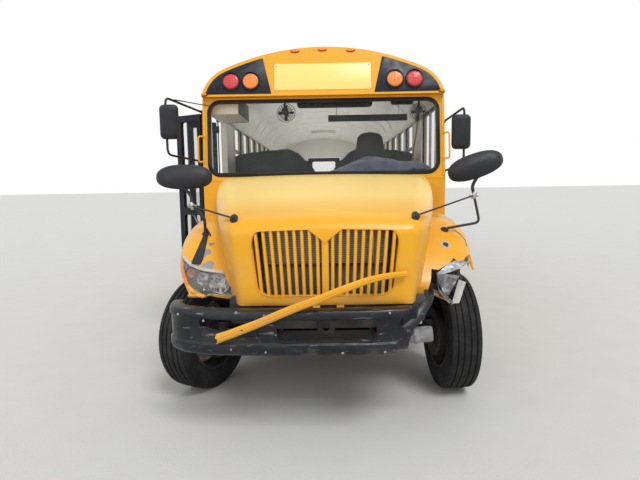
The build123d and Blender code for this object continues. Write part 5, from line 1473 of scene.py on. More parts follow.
for name, side, x, z, roll in dish["places"]:
    bm = bmesh.new()
    middle = (side * x, z)
    low = (middle[0] + 0.014 * math.sin(roll), middle[1] - 0.014)
    y = dish["y"]
    rings = [(dishOutline(grow, low if grow > 0.03 else middle, roll), y + dy)
             for grow, dy in ((0.150, 0.002), (0.120, 0.003), (0.085, 0.007), (0.055, 0.014), (0.032, 0.024),
                              (0.016, 0.036), (0.008, 0.046), (0.008, 0.052), (0.001, 0.054), (0.0, 0.058),
                              (0.0, 0.066), (0.005, 0.069), (0.012, 0.068), (0.014, 0.062))]
    addLoft(bm, rings, frontView, 0)
    glass = [(dishOutline(grow, middle, roll), y + dy) for grow, dy in (
        (0.015, 0.060), (0.030, 0.067), (0.060, 0.073), (0.10, 0.077), (0.15, 0.0795),
    )]
    addLoft(bm, glass, frontView, 1)
    joint = Vector((side * (x - (0.062 if side < 0 else 0.015)), y + 0.020, z - 0.230))
    pad, _ = onSkin((side * 0.580, axleY - 0.80, 1.466), (side * 0.182, 1, -0.068))
    padNormal = Vector((side * 0.38, -0.86, 0.34)).normalized()
    pad = pad + padNormal * 0.018
    foot, footNormal = onSkin((side * (half - 0.319), axleY - 0.30, 1.345), (0, 0, -1))
    neck = Vector((side * x + 0.05 * math.sin(roll), y + 0.040, z - 0.088))
    addTube(bm, smoothPath([neck + Vector((0, 0, 0.02)), neck,
                            (neck + joint) / 2 + Vector((-side * 0.022, 0.006, 0)), joint], 5), 0.0125, 14, 2)
    addLathe(bm, [(-0.030, 0.001), (-0.030, 0.024), (0.004, 0.026), (0.012, 0.018), (0.013, 0.001)], neck,
             (0, 0, -1), 24, 0)
    # pale cast clamp with its bolt, where the tubes meet
    addLathe(bm, [(-0.028, 0.001), (-0.027, 0.016), (-0.012, 0.020), (0.012, 0.020), (0.027, 0.016),
                  (0.028, 0.001)], joint, (0.35 * side, 0.1, 0.9), 24, 3)
    addLathe(bm, rod(-0.034, 0.034, 0.010), joint, (1, 0, 0), 20, 3)
    addBolt(bm, joint + Vector((0, -0.016, 0)), (0, -1, 0), 0.010, 3)
    addTube(bm, [joint, pad + padNormal * 0.012], 0.0062, 12, 2)
    for place, normal, radius in ((pad, padNormal, 0.031), (foot, footNormal, 0.029)):
        addLathe(bm, [
            (0.0006, 0.001), (0.0006, radius), (0.004, radius), (0.009, radius * 0.86), (0.011, radius * 0.5),
            (0.017, radius * 0.42), (0.022, radius * 0.30), (0.023, 0.001),
        ], place, normal, 28, 0)
    if side < 0:
        knee = Vector((foot.x - 0.004, foot.y, foot.z + 0.125))
        addTube(bm, roundPath([joint, knee, foot + footNormal * 0.012], 0.05, 6), 0.0115, 14, 2)
        # the tapered strap that carries the mast down the fender's nose
        strap = []
        for k, (px, pz, width) in enumerate((
            (-0.892, 1.330, 0.020), (-0.897, 1.270, 0.026), (-0.906, 1.215, 0.034), (-0.917, 1.160, 0.040),
            (-0.925, 1.128, 0.036),
        )):
            rows = []
            for across, lift in even((-1, 0.0005), (-0.86, 0.007)):
                spot, normal = onSkin((px + across * width, axleY - 0.5, pz))
                rows.append(spot + normal * lift)
            strap.append(rows)
        addGrid(bm, strap, 0)
        addTube(bm, [(foot.x + 0.002, foot.y - 0.004, foot.z + 0.050),
                     (foot.x + 0.050, foot.y - 0.06, foot.z - 0.010)], 0.006, 10, 2)
    else:
        knee = Vector((1.166, axleY - 0.285, foot.z + 0.052))
        addTube(bm, roundPath([joint, knee, foot + footNormal * 0.012 + Vector((0.02, 0, 0.004))], 0.04, 6),
                0.0095, 14, 2)
        wireEnd, wireNormal = onSkin((1.06, axleY - 0.34, 1.21))
        wire = smoothPath([foot + footNormal * 0.018, foot + Vector((0.055, -0.03, 0.010)),
                           wireEnd + Vector((-0.03, -0.01, 0.06)), wireEnd + wireNormal * 0.002], 8)
        makeCord("mirrorLead", wire, 0.0022)
    finishPiece(makeObject(f"domedMirror_{name}", bm,
                           ["mouldedBlack", "mirrorGlass", "mouldedBlack", "bareSteel"]),
                replaces=[f"crossview_{name}"], smooth=50)
print("mirrors made")

# Headlamp: the lens is the part of the fender's own skin that the lamp's outline takes

lamp = {
    "gap": 0.0072, "backY": axleY - 0.405,
    # place across and height of each bowl, its radius and its finish
    "bowls": ((-0.765, 0.992, 0.078, 0), (-0.880, 1.025, 0.050, 0), (-0.965, 1.068, 0.034, 2)),
}


def shrunk(outline, by):
    centre = sum((Vector(p) for p in outline), Vector((0, 0))) / len(outline)
    return [tuple(Vector(p) + (centre - Vector(p)).normalized() * by) for p in outline]


lensOutline = shrunk(lampOutline, lamp["gap"])
lens = makeFender(-1, cut=False)
keepInside(lens, lensOutline, axleY - 0.80, axleY - 0.41)
lens.data.materials.clear()
lens.data.materials.append(finishes["lampLens"])
lens.name = "headlampLens"
finishPiece(lens, replaces=["headlamp_right"], smooth=30)

bm = bmesh.new()
front = roundOff(shrunk(lampOutline, 0.008), 0.012, 2)
deep = roundOff(shrunk(lampOutline, 0.022), 0.012, 2)
frontRow = [(u, lerp(axleY - 0.425, axleY - 0.560, min(1, max(0, (u + 1.10) / 0.40))), v) for u, v in front]
backRow = [(u, lamp["backY"] - 0.030, v) for u, v in deep]
addGrid(bm, [frontRow, backRow], 0, closeAcross=True)
centre = sum((Vector(p) for p in backRow), Vector()) / len(backRow)
addGrid(bm, [[tuple(Vector(p).lerp(centre, share)) for p in backRow] for share in (0, 0.5, 0.999)], 0,
        closeAcross=True)
bowlY, fluteY = lamp["backY"] - 0.110, lamp["backY"] - 0.100
for u, v, radius, mat in lamp["bowls"]:
    bowl = [(0.062 * (1 - (k / 8) ** 2), 0.012 + (radius - 0.012) * k / 8) for k in range(9)]
    addLathe(bm, bowl, (u, bowlY, v), (0, 1, 0), 40, mat)
    addLathe(bm, [(-0.008, radius), (-0.010, radius + 0.006), (0.004, radius + 0.008), (0.006, radius)],
             (u, bowlY, v), (0, 1, 0), 40, 3, closedProfile=True)
    addLathe(bm, [(-0.018, 0.001), (-0.016, 0.010), (0.016, 0.012), (0.018, 0.001)],
             (u, lamp["backY"] - 0.052, v), (0, 1, 0), 20, 1)
for k in range(13):   # the reflector's upright flutes along the foot; every other one is moulded black, a painted shade between the bright flutes
    u = lerp(-0.90, -0.66, k / 12)
    footZ = 0.918 + 0.12 * max(0, -0.72 - u)
    addTube(bm, [(u, fluteY, footZ), (u + 0.003, fluteY, 0.952)], 0.007, 8, 0 if k % 2 else 3)
reflector = makeObject("headlampReflector", bm, ["reflectorPaintedGlints", "lampLens", "amberLens", "mouldedBlack"])
addModifier(reflector, "SOLIDIFY", thickness=0.002, offset=1)
finishPiece(reflector, smooth=30)


# A strip that follows the fender's skin past points given as seen from ahead
def addSkinStrip(bm, tree, points, width, lift, mat):
    rows = []
    path = smoothPath([(u, 0, v) for u, v in points], 8)
    for k, here in enumerate(path):
        along = (path[min(k + 1, len(path) - 1)] - path[max(k - 1, 0)]).normalized()
        across = Vector((-along.z, 0, along.x))
        row = []
        for a, raised in ((-0.5, 0.0), (-0.42, 1.0), (0.0, 1.25), (0.42, 1.0), (0.5, 0.0)):
            spot = here + across * (a * width)
            hit, normal, _, _ = tree.ray_cast(Vector((spot.x, axleY - 2, spot.z)), Vector((0, 1, 0)))
            if hit is None:
                hit, normal = Vector((spot.x, axleY - 0.55, spot.z)), Vector((0, -1, 0))
            if normal.y > 0:
                normal = -normal
            row.append(hit + normal * (lift * raised - 0.002 * (1 - min(raised, 1))))
        rows.append(row)
    addGrid(bm, rows, mat)


wholeSkin = wholeFenderSkin(-1)
bm = bmesh.new()
addSkinStrip(bm, wholeSkin, [(-1.052, 1.176), (-0.955, 1.126), (-0.862, 1.099), (-0.712, 1.082)], 0.019, 0.005,
             0)
addSkinStrip(bm, wholeSkin, [(-1.050, 1.150), (-1.024, 1.078), (-0.964, 0.996)], 0.024, 0.006, 2)
addSkinStrip(bm, wholeSkin, [(-0.964, 0.996), (-0.894, 0.946), (-0.806, 0.912), (-0.700, 0.894),
                             (-0.625, 0.889)], 0.022, 0.006, 1)
bezel = makeObject("headlampBezel", bm, ["paleTrim", "hoodYellow", "amberLens"])
addModifier(bezel, "SOLIDIFY", thickness=0.003, offset=-1)
finishPiece(bezel, smooth=40)
print("headlamp made")

# Torn corner: crumpled inner sheets, the strut behind the bumper's end and the brake chamber


# A sheet between four corners; push moves each of its points off the flat
def addSheet(bm, corners, across, down, mat, push):
    a, b, c, d = (Vector(corner) for corner in corners)
    normal = (b - a).cross(d - a).normalized()
    rows = []
    for r in range(down + 1):
        row = []
        for k in range(across + 1):
            u, v = k / across, r / down
            row.append(push(a.lerp(b, u).lerp(d.lerp(c, u), v), normal, u, v))
        rows.append(row)
    addGrid(bm, rows, mat)


def addCrumpled(bm, corners, across, down, crease, seed, mat):
    def push(spot, normal, u, v):
        fold = noise.noise(Vector((u * 2.6, v * 2.6, seed))) + 0.5 * noise.noise(Vector((u * 7, v * 5,
                                                                                         seed + 9)))
        ridge = abs(noise.noise(Vector((u * 3.1 + seed, v * 1.9, 4.0)))) * 1.6
        fine = noise.noise_vector(Vector((u * 9, v * 9, seed))) * crease * 0.12
        return spot + normal * crease * (fold + ridge) + fine

    addSheet(bm, corners, across, down, mat, push)


# A sheet bent round like a gutter
def addCurved(bm, corners, across, down, bow, crease, seed, mat):
    def push(spot, normal, u, v):
        dent = noise.noise(Vector((u * 3, v * 4, seed)))
        return spot + normal * (bow * math.sin(math.pi * u) + crease * dent)

    addSheet(bm, corners, across, down, mat, push)


bm = bmesh.new()
y = axleY
for corners, crease, seed, mat in ((((0.735, y - 0.46, 1.085), (0.905, y - 0.43, 1.110),
                                     (0.930, y - 0.41, 0.960), (0.745, y - 0.46, 0.945)), 0.028, 1.0, 2),
                                   (((0.700, y - 0.53, 1.030), (0.800, y - 0.54, 0.990),
                                     (0.840, y - 0.55, 0.895), (0.690, y - 0.52, 0.930)), 0.020, 12.0, 2),
                                   (((0.690, y - 0.545, 0.962), (0.868, y - 0.575, 0.885),
                                     (0.858, y - 0.575, 0.850), (0.682, y - 0.545, 0.928)), 0.007, 15.0, 3),
                                   (((0.800, y - 0.44, 1.120), (1.050, y - 0.39, 1.165),
                                     (1.075, y - 0.34, 1.085), (0.850, y - 0.42, 1.030)), 0.022, 19.0, 0),
                                   (((1.040, y - 0.385, 1.160), (1.075, y - 0.372, 1.152),
                                     (1.104, y - 0.380, 1.040), (1.090, y - 0.384, 1.035)), 0.006, 23.0, 4),
                                   (((0.930, y - 0.44, 1.050), (1.000, y - 0.40, 1.045),
                                     (1.030, y - 0.36, 0.930), (0.960, y - 0.40, 0.900)), 0.014, 27.0, 2)):
    addCrumpled(bm, corners, 12, 9, crease, seed, mat)
addCurved(bm, ((0.790, y - 0.540, 1.052), (0.965, y - 0.500, 1.020), (0.880, y - 0.530, 0.882),
               (0.800, y - 0.560, 0.925)), 14, 10, 0.040, 0.010, 3.0, 5)
addCurved(bm, ((0.946, y - 0.545, 0.998), (1.008, y - 0.515, 0.972), (0.952, y - 0.540, 0.826),
               (0.892, y - 0.565, 0.822)), 8, 10, 0.012, 0.006, 8.0, 1)
addCurved(bm, ((0.792, y - 0.580, 0.930), (0.822, y - 0.585, 0.918), (0.905, y - 0.575, 0.835),
               (0.872, y - 0.570, 0.832)), 6, 8, 0.008, 0.004, 11.0, 5)
leftSkin = wholeFenderSkin(1)
ragged = []
for k in range(25):   # the fender's torn, bared lip
    share = k / 24
    x = lerp(0.780, 1.052, share)
    z = lerp(1.046, 1.118, share ** 1.3)
    row = []
    swell = 0.042 * math.sin(math.pi * min(1, share * 1.15))
    for h, out in ((0.0, 0.008), (0.35, 0.004), (0.7, 0.003), (1.0, 0.0015)):
        rise = (0.012 + swell + 0.012 * noise.noise(Vector((share * 9, h * 2, 2)))) * h
        hit = leftSkin.ray_cast(Vector((x, axleY - 2, z + rise)), Vector((0, 1, 0)))[0]
        if hit is None:
            hit = Vector((x, axleY - 0.47, z))
        row.append(hit + Vector((0, -out - 0.004 * abs(noise.noise(Vector((share * 14, h, 5)))), 0)))
    ragged.append(row)
addGrid(bm, ragged, 5)
sheets = makeObject("crumpledSheets", bm,
                    ["primerGrey", "paleTrim", "chassisPaint", "amberDusty", "hoodYellow", "bareSheet"])
addModifier(sheets, "SOLIDIFY", thickness=0.0022, offset=0)
finishPiece(sheets, smooth=25)

bm = bmesh.new()
strut = smoothPath([(0.455, y - 0.905, 0.720), (0.560, y - 0.870, 0.775), (0.650, y - 0.800, 0.865),
                    (0.700, y - 0.720, 0.925), (0.715, y - 0.60, 0.945)], 6)
addSweep(bm, strut, even((-0.030, -0.006), (-0.030, 0.006), (-0.022, 0.010)), up=(0, -1, 0.3))
addCrumpled(bm, ((0.470, y - 0.900, 0.905), (0.610, y - 0.850, 0.890), (0.560, y - 0.880, 0.700),
                 (0.452, y - 0.915, 0.690)), 10, 10, 0.016, 31.0, 0)
addCrumpled(bm, ((0.440, y - 0.910, 0.700), (0.560, y - 0.870, 0.720), (0.535, y - 0.850, 0.600),
                 (0.430, y - 0.920, 0.615)), 8, 7, 0.012, 37.0, 0)
shards = makeObject("cornerStrut", bm, ["bumperBlack"])
addModifier(shards, "SOLIDIFY", thickness=0.005, offset=0)
finishPiece(shards, smooth=30)

bm = bmesh.new()
place, axis = Vector((0.565, y - 0.720, 0.650)), Vector((1, -0.10, 0.10))
addLathe(bm, [
    (0.0, 0.001), (0.0, 0.040), (0.012, 0.052), (0.030, 0.054), (0.032, 0.061), (0.048, 0.061), (0.050, 0.054),
    (0.120, 0.054), (0.150, 0.052), (0.158, 0.044), (0.158, 0.001),
], place, axis, 44, 0)
addTube(bm, [place - axis * 0.10, place], 0.012, 14, 1)
addTube(bm, smoothPath([place + axis * 0.05 + Vector((0, 0, 0.055)), place + Vector((-0.02, 0.02, 0.12)),
                        place + Vector((-0.16, 0.05, 0.15)), (0.36, y - 0.74, 0.83)], 6), 0.008, 12, 2)
finishPiece(makeObject("airCylinder", bm, ["primerGrey", "bareSteel", "gasketRubber"]), smooth=35)

# Radiator: a condenser of thin bright rows in front of the dark core, between side tanks
bm = bmesh.new()
coreY = axleY - 0.785
addBlock(bm, (-0.425, coreY, 0.950), (0.425, coreY + 0.078, 1.408), 0)
addBlock(bm, (-0.410, coreY - 0.020, 1.165), (0.400, coreY - 0.002, 1.395), 0)
for side in (-1, 1):
    addTube(bm, [(side * 0.402, coreY - 0.012, 1.150), (side * 0.402, coreY - 0.012, 1.400)], 0.014, 14, 1)
    addBlock(bm, (side * 0.430 - 0.020, coreY - 0.006, 0.950), (side * 0.430 + 0.020, coreY + 0.060, 1.408), 2)
# The dark air guide below the core: a real part that also stands as painted shade, closing the open gap behind
# the hood's lower front
addPrism(bm, roundedOutline(1.300, 0.190, 0.030, 4, (0.01, 0.862)), coreY - 0.004, coreY, frontView, 2)
addTube(bm, [(-0.405, coreY - 0.026, 1.160), (0.405, coreY - 0.026, 1.160)], 0.008, 12, 2)
addTube(bm, smoothPath([(0.30, coreY - 0.03, 1.40), (0.315, coreY - 0.034, 1.32), (0.31, coreY - 0.03, 1.24),
                        (0.325, coreY - 0.03, 1.16)], 5), 0.009, 10, 1)
finishPiece(makeObject("radiatorAssembly", bm, ["radiatorCore", "bareSteel", "chassisPaint"]),
            replaces=["radiator"], bevel=0.002)
bm = bmesh.new()
for k in range(15):
    z = 1.176 + 0.0145 * k
    addSweep(bm, [(-0.398, coreY - 0.022, z), (0.398, coreY - 0.022, z)],
             even((-0.0022, 0.0), (-0.0018, 0.0035)), up=(0, -1, 0))
finishPiece(makeObject("condenserRows", bm, ["bareSteel"]))

# Hood furniture: the low oval ledge, side latches and the two tabs under the lip
bm = bmesh.new()
ledge, ledgeNormal = onSkin((0.0, axleY - 0.70, 1.60), (0, 0, -1))
place = placement(ledge, (1, 0, 0), ledgeNormal.cross(Vector((1, 0, 0))))
addLoft(bm, [(ellipseOutline(0.094, 0.016, 32), -0.004), (ellipseOutline(0.092, 0.015, 32), 0.005),
             (ellipseOutline(0.084, 0.011, 32), 0.009), (ellipseOutline(0.060, 0.006, 32), 0.0105)], place, 0)
for x in (-0.062, 0.095):
    addBlock(bm, (x - 0.024, axleY - 0.858, 0.880), (x + 0.024, axleY - 0.850, 0.908), 0, bevel=0.002)
for side in (-1, 1):   # rubber hood latches low on the sides
    spot, normal = onSkin((side * 0.92, axleY + 0.80, 1.30), (-side, 0, 0))
    addTube(bm, [spot + Vector((side * 0.012, 0, -0.055)), spot + Vector((side * 0.014, 0, 0.055))], 0.011, 12,
            1)
    for dz in (-0.060, 0.060):
        addBlock(bm, (spot.x, spot.y - 0.022, spot.z + dz - 0.012),
                 (spot.x + side * 0.020, spot.y + 0.022, spot.z + dz + 0.012), 1, bevel=0.003)
finishPiece(makeObject("hoodFurniture", bm, ["hoodYellow", "gasketRubber"]), smooth=40)
print("torn corner, radiator and hood fittings made")


# Wheels: ribbed tyres, pressed steel discs with hand holes and studs, drums behind them

wheel = {"outer": 0.4648, "halfWidth": 0.1270, "grooves": (-0.071, -0.026, 0.026, 0.071), "studs": 10,
         "studCircle": 0.1425, "holes": 10, "holeCircle": 0.198, "centreZ": bus["tyreRadius"]}
tyreHalf = (
    (0.098, 0.284), (0.104, 0.290), (0.108, 0.300), (0.1125, 0.303), (0.119, 0.320), (0.1215, 0.3235),
    (0.1215, 0.329), (0.1245, 0.332), (0.1268, 0.356), (0.1270, 0.3755), (0.1256, 0.3785), (0.1256, 0.386),
    (0.1245, 0.396), (0.120, 0.416), (0.1215, 0.4175), (0.1215, 0.4245), (0.1175, 0.427), (0.1135, 0.438),
    (0.1150, 0.440), (0.1145, 0.447), (0.110, 0.4555), (0.102, 0.4605),
)


def addTyre(bm, centre, axis):
    profile = [(-a, r) for a, r in tyreHalf]
    for groove in wheel["grooves"]:
        crown = wheel["outer"] - 0.0035 * (abs(groove) / 0.1) ** 2
        profile += [(groove - 0.0072, crown - 0.0003), (groove - 0.0060, crown - 0.0016),
                    (groove - 0.0042, crown - 0.0125), (groove + 0.0042, crown - 0.0125),
                    (groove + 0.0060, crown - 0.0016), (groove + 0.0072, crown - 0.0003)]
        if groove < 0.07:
            middle = groove + 0.024
            profile.append((middle, wheel["outer"] - 0.0032 * (abs(middle) / 0.1) ** 2))
    profile += [(a, r) for a, r in reversed(tyreHalf)]
    profile += [(0.080, 0.279), (-0.080, 0.279)]
    addLathe(bm, profile, centre, axis, 96, 0, closedProfile=True)


# facing = 1 puts the disc's flat face outwards as on the steered wheels, -1 dishes it inwards as on the twins
def makeRim(name, centre, axis, facing, outerMat=0):
    bm = bmesh.new()
    barrel = [
        (-0.110, 0.286), (-0.113, 0.294), (-0.110, 0.3005), (-0.106, 0.3000), (-0.104, 0.291), (-0.098, 0.283),
        (-0.060, 0.276), (-0.040, 0.262), (0.040, 0.262), (0.060, 0.276), (0.098, 0.283), (0.104, 0.291),
        (0.106, 0.3000), (0.110, 0.3005), (0.113, 0.294), (0.110, 0.286), (0.100, 0.279), (0.064, 0.270),
        (0.044, 0.256), (-0.044, 0.256), (-0.064, 0.270), (-0.100, 0.279),
    ]
    addLathe(bm, barrel, centre, axis, 72, 1, closedProfile=True)
    for face in bm.faces:
        along = (face.calc_center_median() - centre).dot(axis)
        face.material_index = 0 if along > 0.058 else 1
    rimPiece = makeObject(f"{name}Barrel", bm, ["wheelPaint", "chassisPaint"])
    bm = bmesh.new()
    reach = 0.092 * facing
    front = [
        (reach, 0.078), (reach, 0.165), (reach * 0.93, 0.174), (reach * 0.70, 0.186), (reach * 0.30, 0.214),
        (reach * 0.10, 0.238), (0.018 * facing, 0.2565),
    ]
    back = [(a - 0.0095 * facing, r) for a, r in reversed(front)]
    addLathe(bm, front + back, centre, axis, 72, 0, closedProfile=True)
    disc = makeObject(f"{name}Disc", bm, ["wheelPaint", "chassisPaint"])
    cut = bmesh.new()
    side = Vector((0, 0, 1))
    across = axis.cross(side).normalized()

    def outwards(turns):
        return across * math.cos(2 * math.pi * turns) + side * math.sin(2 * math.pi * turns)

    for k in range(wheel["holes"]):
        out = outwards((k + 0.5) / wheel["holes"])
        place = placement(centre + out * wheel["holeCircle"], out, axis.cross(out))
        addPrism(cut, ellipseOutline(0.0165, 0.026, 20), -0.2, 0.2, place)
    cutWith(disc, [makeObject("holes", cut)])
    detail = bmesh.new()
    for k in range(wheel["studs"]):
        out = outwards(k / wheel["studs"])
        spot = centre + out * wheel["studCircle"] + axis * reach
        addLathe(detail, [(-0.002, 0.001), (-0.002, 0.0185), (0.003, 0.0185), (0.004, 0.0165), (0.021, 0.0158),
                          (0.024, 0.013), (0.024, 0.0085), (0.034, 0.0085), (0.036, 0.006), (0.036, 0.001)],
                 spot, axis, 6, 2)
    if facing > 0:   # oil-filled hub cap
        hub = [(-0.02, 0.001), (-0.02, 0.080), (0.022, 0.078), (0.028, 0.066), (0.030, 0.058), (0.046, 0.056),
               (0.052, 0.048), (0.054, 0.022), (0.057, 0.018), (0.057, 0.001)]
    else:            # axle hub with its flange of bolts
        hub = [(-0.06, 0.001), (-0.06, 0.110), (0.02, 0.104), (0.06, 0.090), (0.105, 0.086), (0.112, 0.082),
               (0.112, 0.062), (0.122, 0.058), (0.124, 0.030), (0.126, 0.001)]
        for k in range(8):
            addBolt(detail, centre + outwards(k / 8) * 0.073 + axis * (reach + 0.112), axis, 0.008, 2)
    addLathe(detail, hub, centre + axis * reach, axis, 40, 3)
    addLathe(detail, [   # brake drum
        (-0.150, 0.060), (-0.150, 0.196), (-0.140, 0.206), (-0.120, 0.206), (-0.118, 0.198), (-0.030, 0.198),
        (-0.010, 0.190), (0.0, 0.150), (0.004, 0.060),
    ], centre + axis * (0.0 if facing > 0 else -0.12), axis, 48, 1)
    parts = makeObject(f"{name}Hub", detail, ["wheelPaint", "castIron", "bareSteel", "castIron"])
    if outerMat:
        for piece in (rimPiece, disc, parts):
            for face in piece.data.polygons:
                face.material_index = 1
    return joined(name, [rimPiece, disc, parts])


for name, side, angle in (("left", 1, bus["steerLeft"]), ("right", -1, bus["steerRight"])):
    turn = math.radians(angle)
    axis = Vector((side * math.cos(turn), math.sin(turn), 0))
    centre = Vector((side * bus["kingpinX"], axleY, wheel["centreZ"])) + axis * 0.155
    bm = bmesh.new()
    addTyre(bm, centre, axis)
    finishPiece(makeObject(f"tyreFront_{name}", bm, ["tyreRubber"]), f"wheel_front_{name}",
                replaces=[f"tyre_front_{name}"], smooth=32)
    rim = makeRim(f"wheelFront_{name}", centre, axis, 1)
    finishPiece(rim, f"wheel_front_{name}", replaces=[f"rim_front_{name}"], smooth=32)

for name, side in bothSides:
    axis = Vector((side, 0, 0))
    bm = bmesh.new()
    rims = []
    for k, x in enumerate((1.067, 0.745)):
        centre = Vector((side * x, bus["rearAxleY"], wheel["centreZ"]))
        addTyre(bm, centre, axis)
        rims.append(makeRim(f"twin{k}", centre, axis, -1 if k == 0 else 1, outerMat=k))
    finishPiece(makeObject(f"tyresRear_{name}", bm, ["tyreRubber"]), f"wheels_rear_{name}",
                replaces=[f"tyres_rear_{name}"], smooth=32)
    rim = joined(f"wheelsRear_{name}", rims)
    finishPiece(rim, f"wheels_rear_{name}", replaces=[f"rims_rear_{name}"], smooth=32)
print("wheels made")


# Side windows: a black frame, two bright sashes that pass each other, and their glass

window = {
    "firstY": -1.9945, "pitch": 0.711, "count": 11, "width": 0.623, "height": 0.735, "middleZ": 2.1125,
    "corner": 0.038, "outer": half - 0.018, "split": 0.545,
}
railSection = even((-0.011, -0.006), (-0.011, 0.004), (-0.007, 0.008))


def addSash(bm, side, x, y, low, high, width):
    corners = [(side * x, y - width / 2 + 0.011, low), (side * x, y + width / 2 - 0.011, low),
               (side * x, y + width / 2 - 0.011, high), (side * x, y - width / 2 + 0.011, high)]
    addSweep(bm, corners, railSection, up=(side, 0, 0), mat=1, closed=True)
    addBlock(bm, (side * x - 0.0015, y - width / 2 + 0.006, low - 0.004),
             (side * x + 0.0015, y + width / 2 - 0.006, high + 0.004), 2)


for name, side in bothSides:
    bm = bmesh.new()
    places = [(window["firstY"] + i * window["pitch"], window["width"]) for i in range(window["count"])]
    if side > 0:
        places.append((-3.220, 0.700))
    for y, width in places:
        loop = [(side * window["outer"], y + u, v) for u, v in roundedOutline(
            width - 0.020, window["height"] - 0.020, window["corner"], 4, (0, window["middleZ"]),
        )]
        addSweep(bm, loop, even((-0.012, -0.030), (-0.012, 0.004), (-0.006, 0.0085)), up=(side, 0, 0), mat=0,
                 closed=True)
        low = window["middleZ"] - window["height"] / 2 + 0.030
        high = window["middleZ"] + window["height"] / 2 - 0.030
        middle = lerp(low, high, window["split"])
        if width < 0.65:
            addSash(bm, side, window["outer"] - 0.010, y, middle - 0.011, high, width - 0.044)
            addSash(bm, side, window["outer"] - 0.024, y, low, middle + 0.011, width - 0.044)
            for dy in (-0.17, 0.17):   # thumb latches on the middle rail
                addBlock(bm, (side * (window["outer"] - 0.034), y + dy - 0.02, middle - 0.005),
                         (side * (window["outer"] - 0.030), y + dy + 0.02, middle + 0.015))
        else:
            for dy in (-0.164, 0.164):   # the driver's window slides along
                addSash(bm, side, window["outer"] - (0.010 if dy > 0 else 0.024), y + dy, low, high, 0.336)
    finishPiece(makeObject(f"sideWindows_{name}", bm, ["gasketRubber", "sashMetal", "tintedGlass"]),
                replaces=[f"side_windows_{name}"], smooth=40)

# Rub rails: pressed steel with two grooves, cut by the wheel arch
railRows = ((1.690, 0.030), (1.380, 0.040), (1.010, 0.040), (0.545, 0.040))
for name, side, startY in (("left", 1, -3.704), ("right", -1, -2.790)):
    bm = bmesh.new()
    for z, h in railRows:
        section = even((-h, -0.001), (-h, 0.009), (-h * 0.86, 0.0135), (-h * 0.60, 0.0135), (-h * 0.50, 0.007),
                       (-h * 0.34, 0.007), (-h * 0.24, 0.0135))
        line = [(side * half, lerp(startY, 5.569, k / 24), z) for k in range(25)]
        addSweep(bm, line, section, up=(side, 0, 0))
    rails = makeObject(f"rubRails_{name}", bm, ["trimBlack"])
    cut = bmesh.new()
    addLathe(cut, rod(-2, 2, 0.576), (0, bus["rearAxleY"], bus["tyreRadius"]), (1, 0, 0), 72)
    cutWith(rails, [makeObject("arch", cut)])
    finishPiece(rails, replaces=[f"rub_rails_{name}"], smooth=30)

# Side dress: drip rail, sheet joints, arch lip, mud flaps, markers and reflectors
bm = bmesh.new()
for side in (-1, 1):
    sill = [(side * half, -3.62, 2.508), (side * half, 5.62, 2.508)]
    addSweep(bm, sill, [(-0.004, -0.002), (-0.010, 0.010), (-0.006, 0.016), (-0.002, 0.012), (0.002, 0.004),
                        (0.014, 0.002), (0.014, -0.002)], up=(side, 0, 0))
    front = -2.78 if side < 0 else -3.70
    for z, fromY, toY in ((1.728, front, 5.60), (0.505, front, 1.66), (0.505, 2.80, 5.60)):
        addSweep(bm, [(side * half, fromY, z), (side * half, toY, z)], even((-0.006, -0.001), (-0.006, 0.0035)),
                 up=(side, 0, 0))
    for i in range(12):   # upright joints of the side sheets, between the rails
        y = -2.35 + window["pitch"] * i
        spans = ((1.05, 1.34), (1.42, 1.66)) if i % 2 else ((0.585, 0.97), (1.05, 1.34), (1.42, 1.66))
        for low, high in spans:
            if abs(y - bus["rearAxleY"]) < 0.6 and low < 0.9:
                continue
            addSweep(bm, [(side * half, y, low), (side * half, y, high)],
                     even((-0.016, -0.001), (-0.015, 0.0022)), up=(side, 0, 0))
        post = [(side * half, y, 1.755), (side * half, y, 2.485)]   # capped window posts
        addSweep(bm, post, even((-0.028, -0.001), (-0.026, 0.0045), (-0.008, 0.006)), up=(side, 0, 0))
    arc = [(side * (half + 0.001), bus["rearAxleY"] + 0.556 * math.cos(math.radians(a)),
            bus["tyreRadius"] + 0.556 * math.sin(math.radians(a))) for a in range(5, 176, 5)]
    addSweep(bm, arc, [(-0.013, -0.003), (-0.016, 0.004), (-0.010, 0.014), (0.004, 0.020), (0.013, 0.012),
                       (0.013, -0.003)], up=(side, 0, 0), mat=1)
    flap = []
    for k in range(9):
        z = lerp(0.930, 0.215, k / 8)
        flap.append([(side * x,
                      bus["rearAxleY"] + 0.690 + 0.012 * math.sin(k * 0.9) + 0.006 * math.sin(x * 9) + dy, z)
                     for x, dy in ((0.625, 0), (0.80, 0), (1.0, 0), (1.180, 0), (1.180, 0.008), (1.0, 0.008),
                                   (0.80, 0.008), (0.625, 0.008))])
    addGrid(bm, flap, 1, closeAcross=True)
    addFaces(bm, flap[-1], [tuple(range(8))], 1)
    addBlock(bm, (side * 0.43, bus["rearAxleY"] + 0.676, 0.905), (side * 1.19, bus["rearAxleY"] + 0.690, 0.950),
             1)
    for y, z, mat in ((-3.40, 2.585, 3), (0.9, 2.585, 3), (5.35, 2.585, 4), (-1.05, 0.93, 3), (5.25, 0.93, 4)):
        tilt = 0.22 if z > 2 else 0
        addMarker(bm, (side * (half - (0.006 if z > 2 else 0)), y, z), (side, 0, tilt), (-side * tilt, 0, 1),
                  0.046, 0.018, 0.020, 1, mat)
    for y, mat in ((-2.62, 3), (1.45, 3), (5.05, 4)):
        addLathe(bm, [(-0.001, 0.001), (-0.001, 0.040), (0.005, 0.040), (0.007, 0.036), (0.0075, 0.001)],
                 (side * half, y, 1.18), (side, 0, 0), 28, mat)
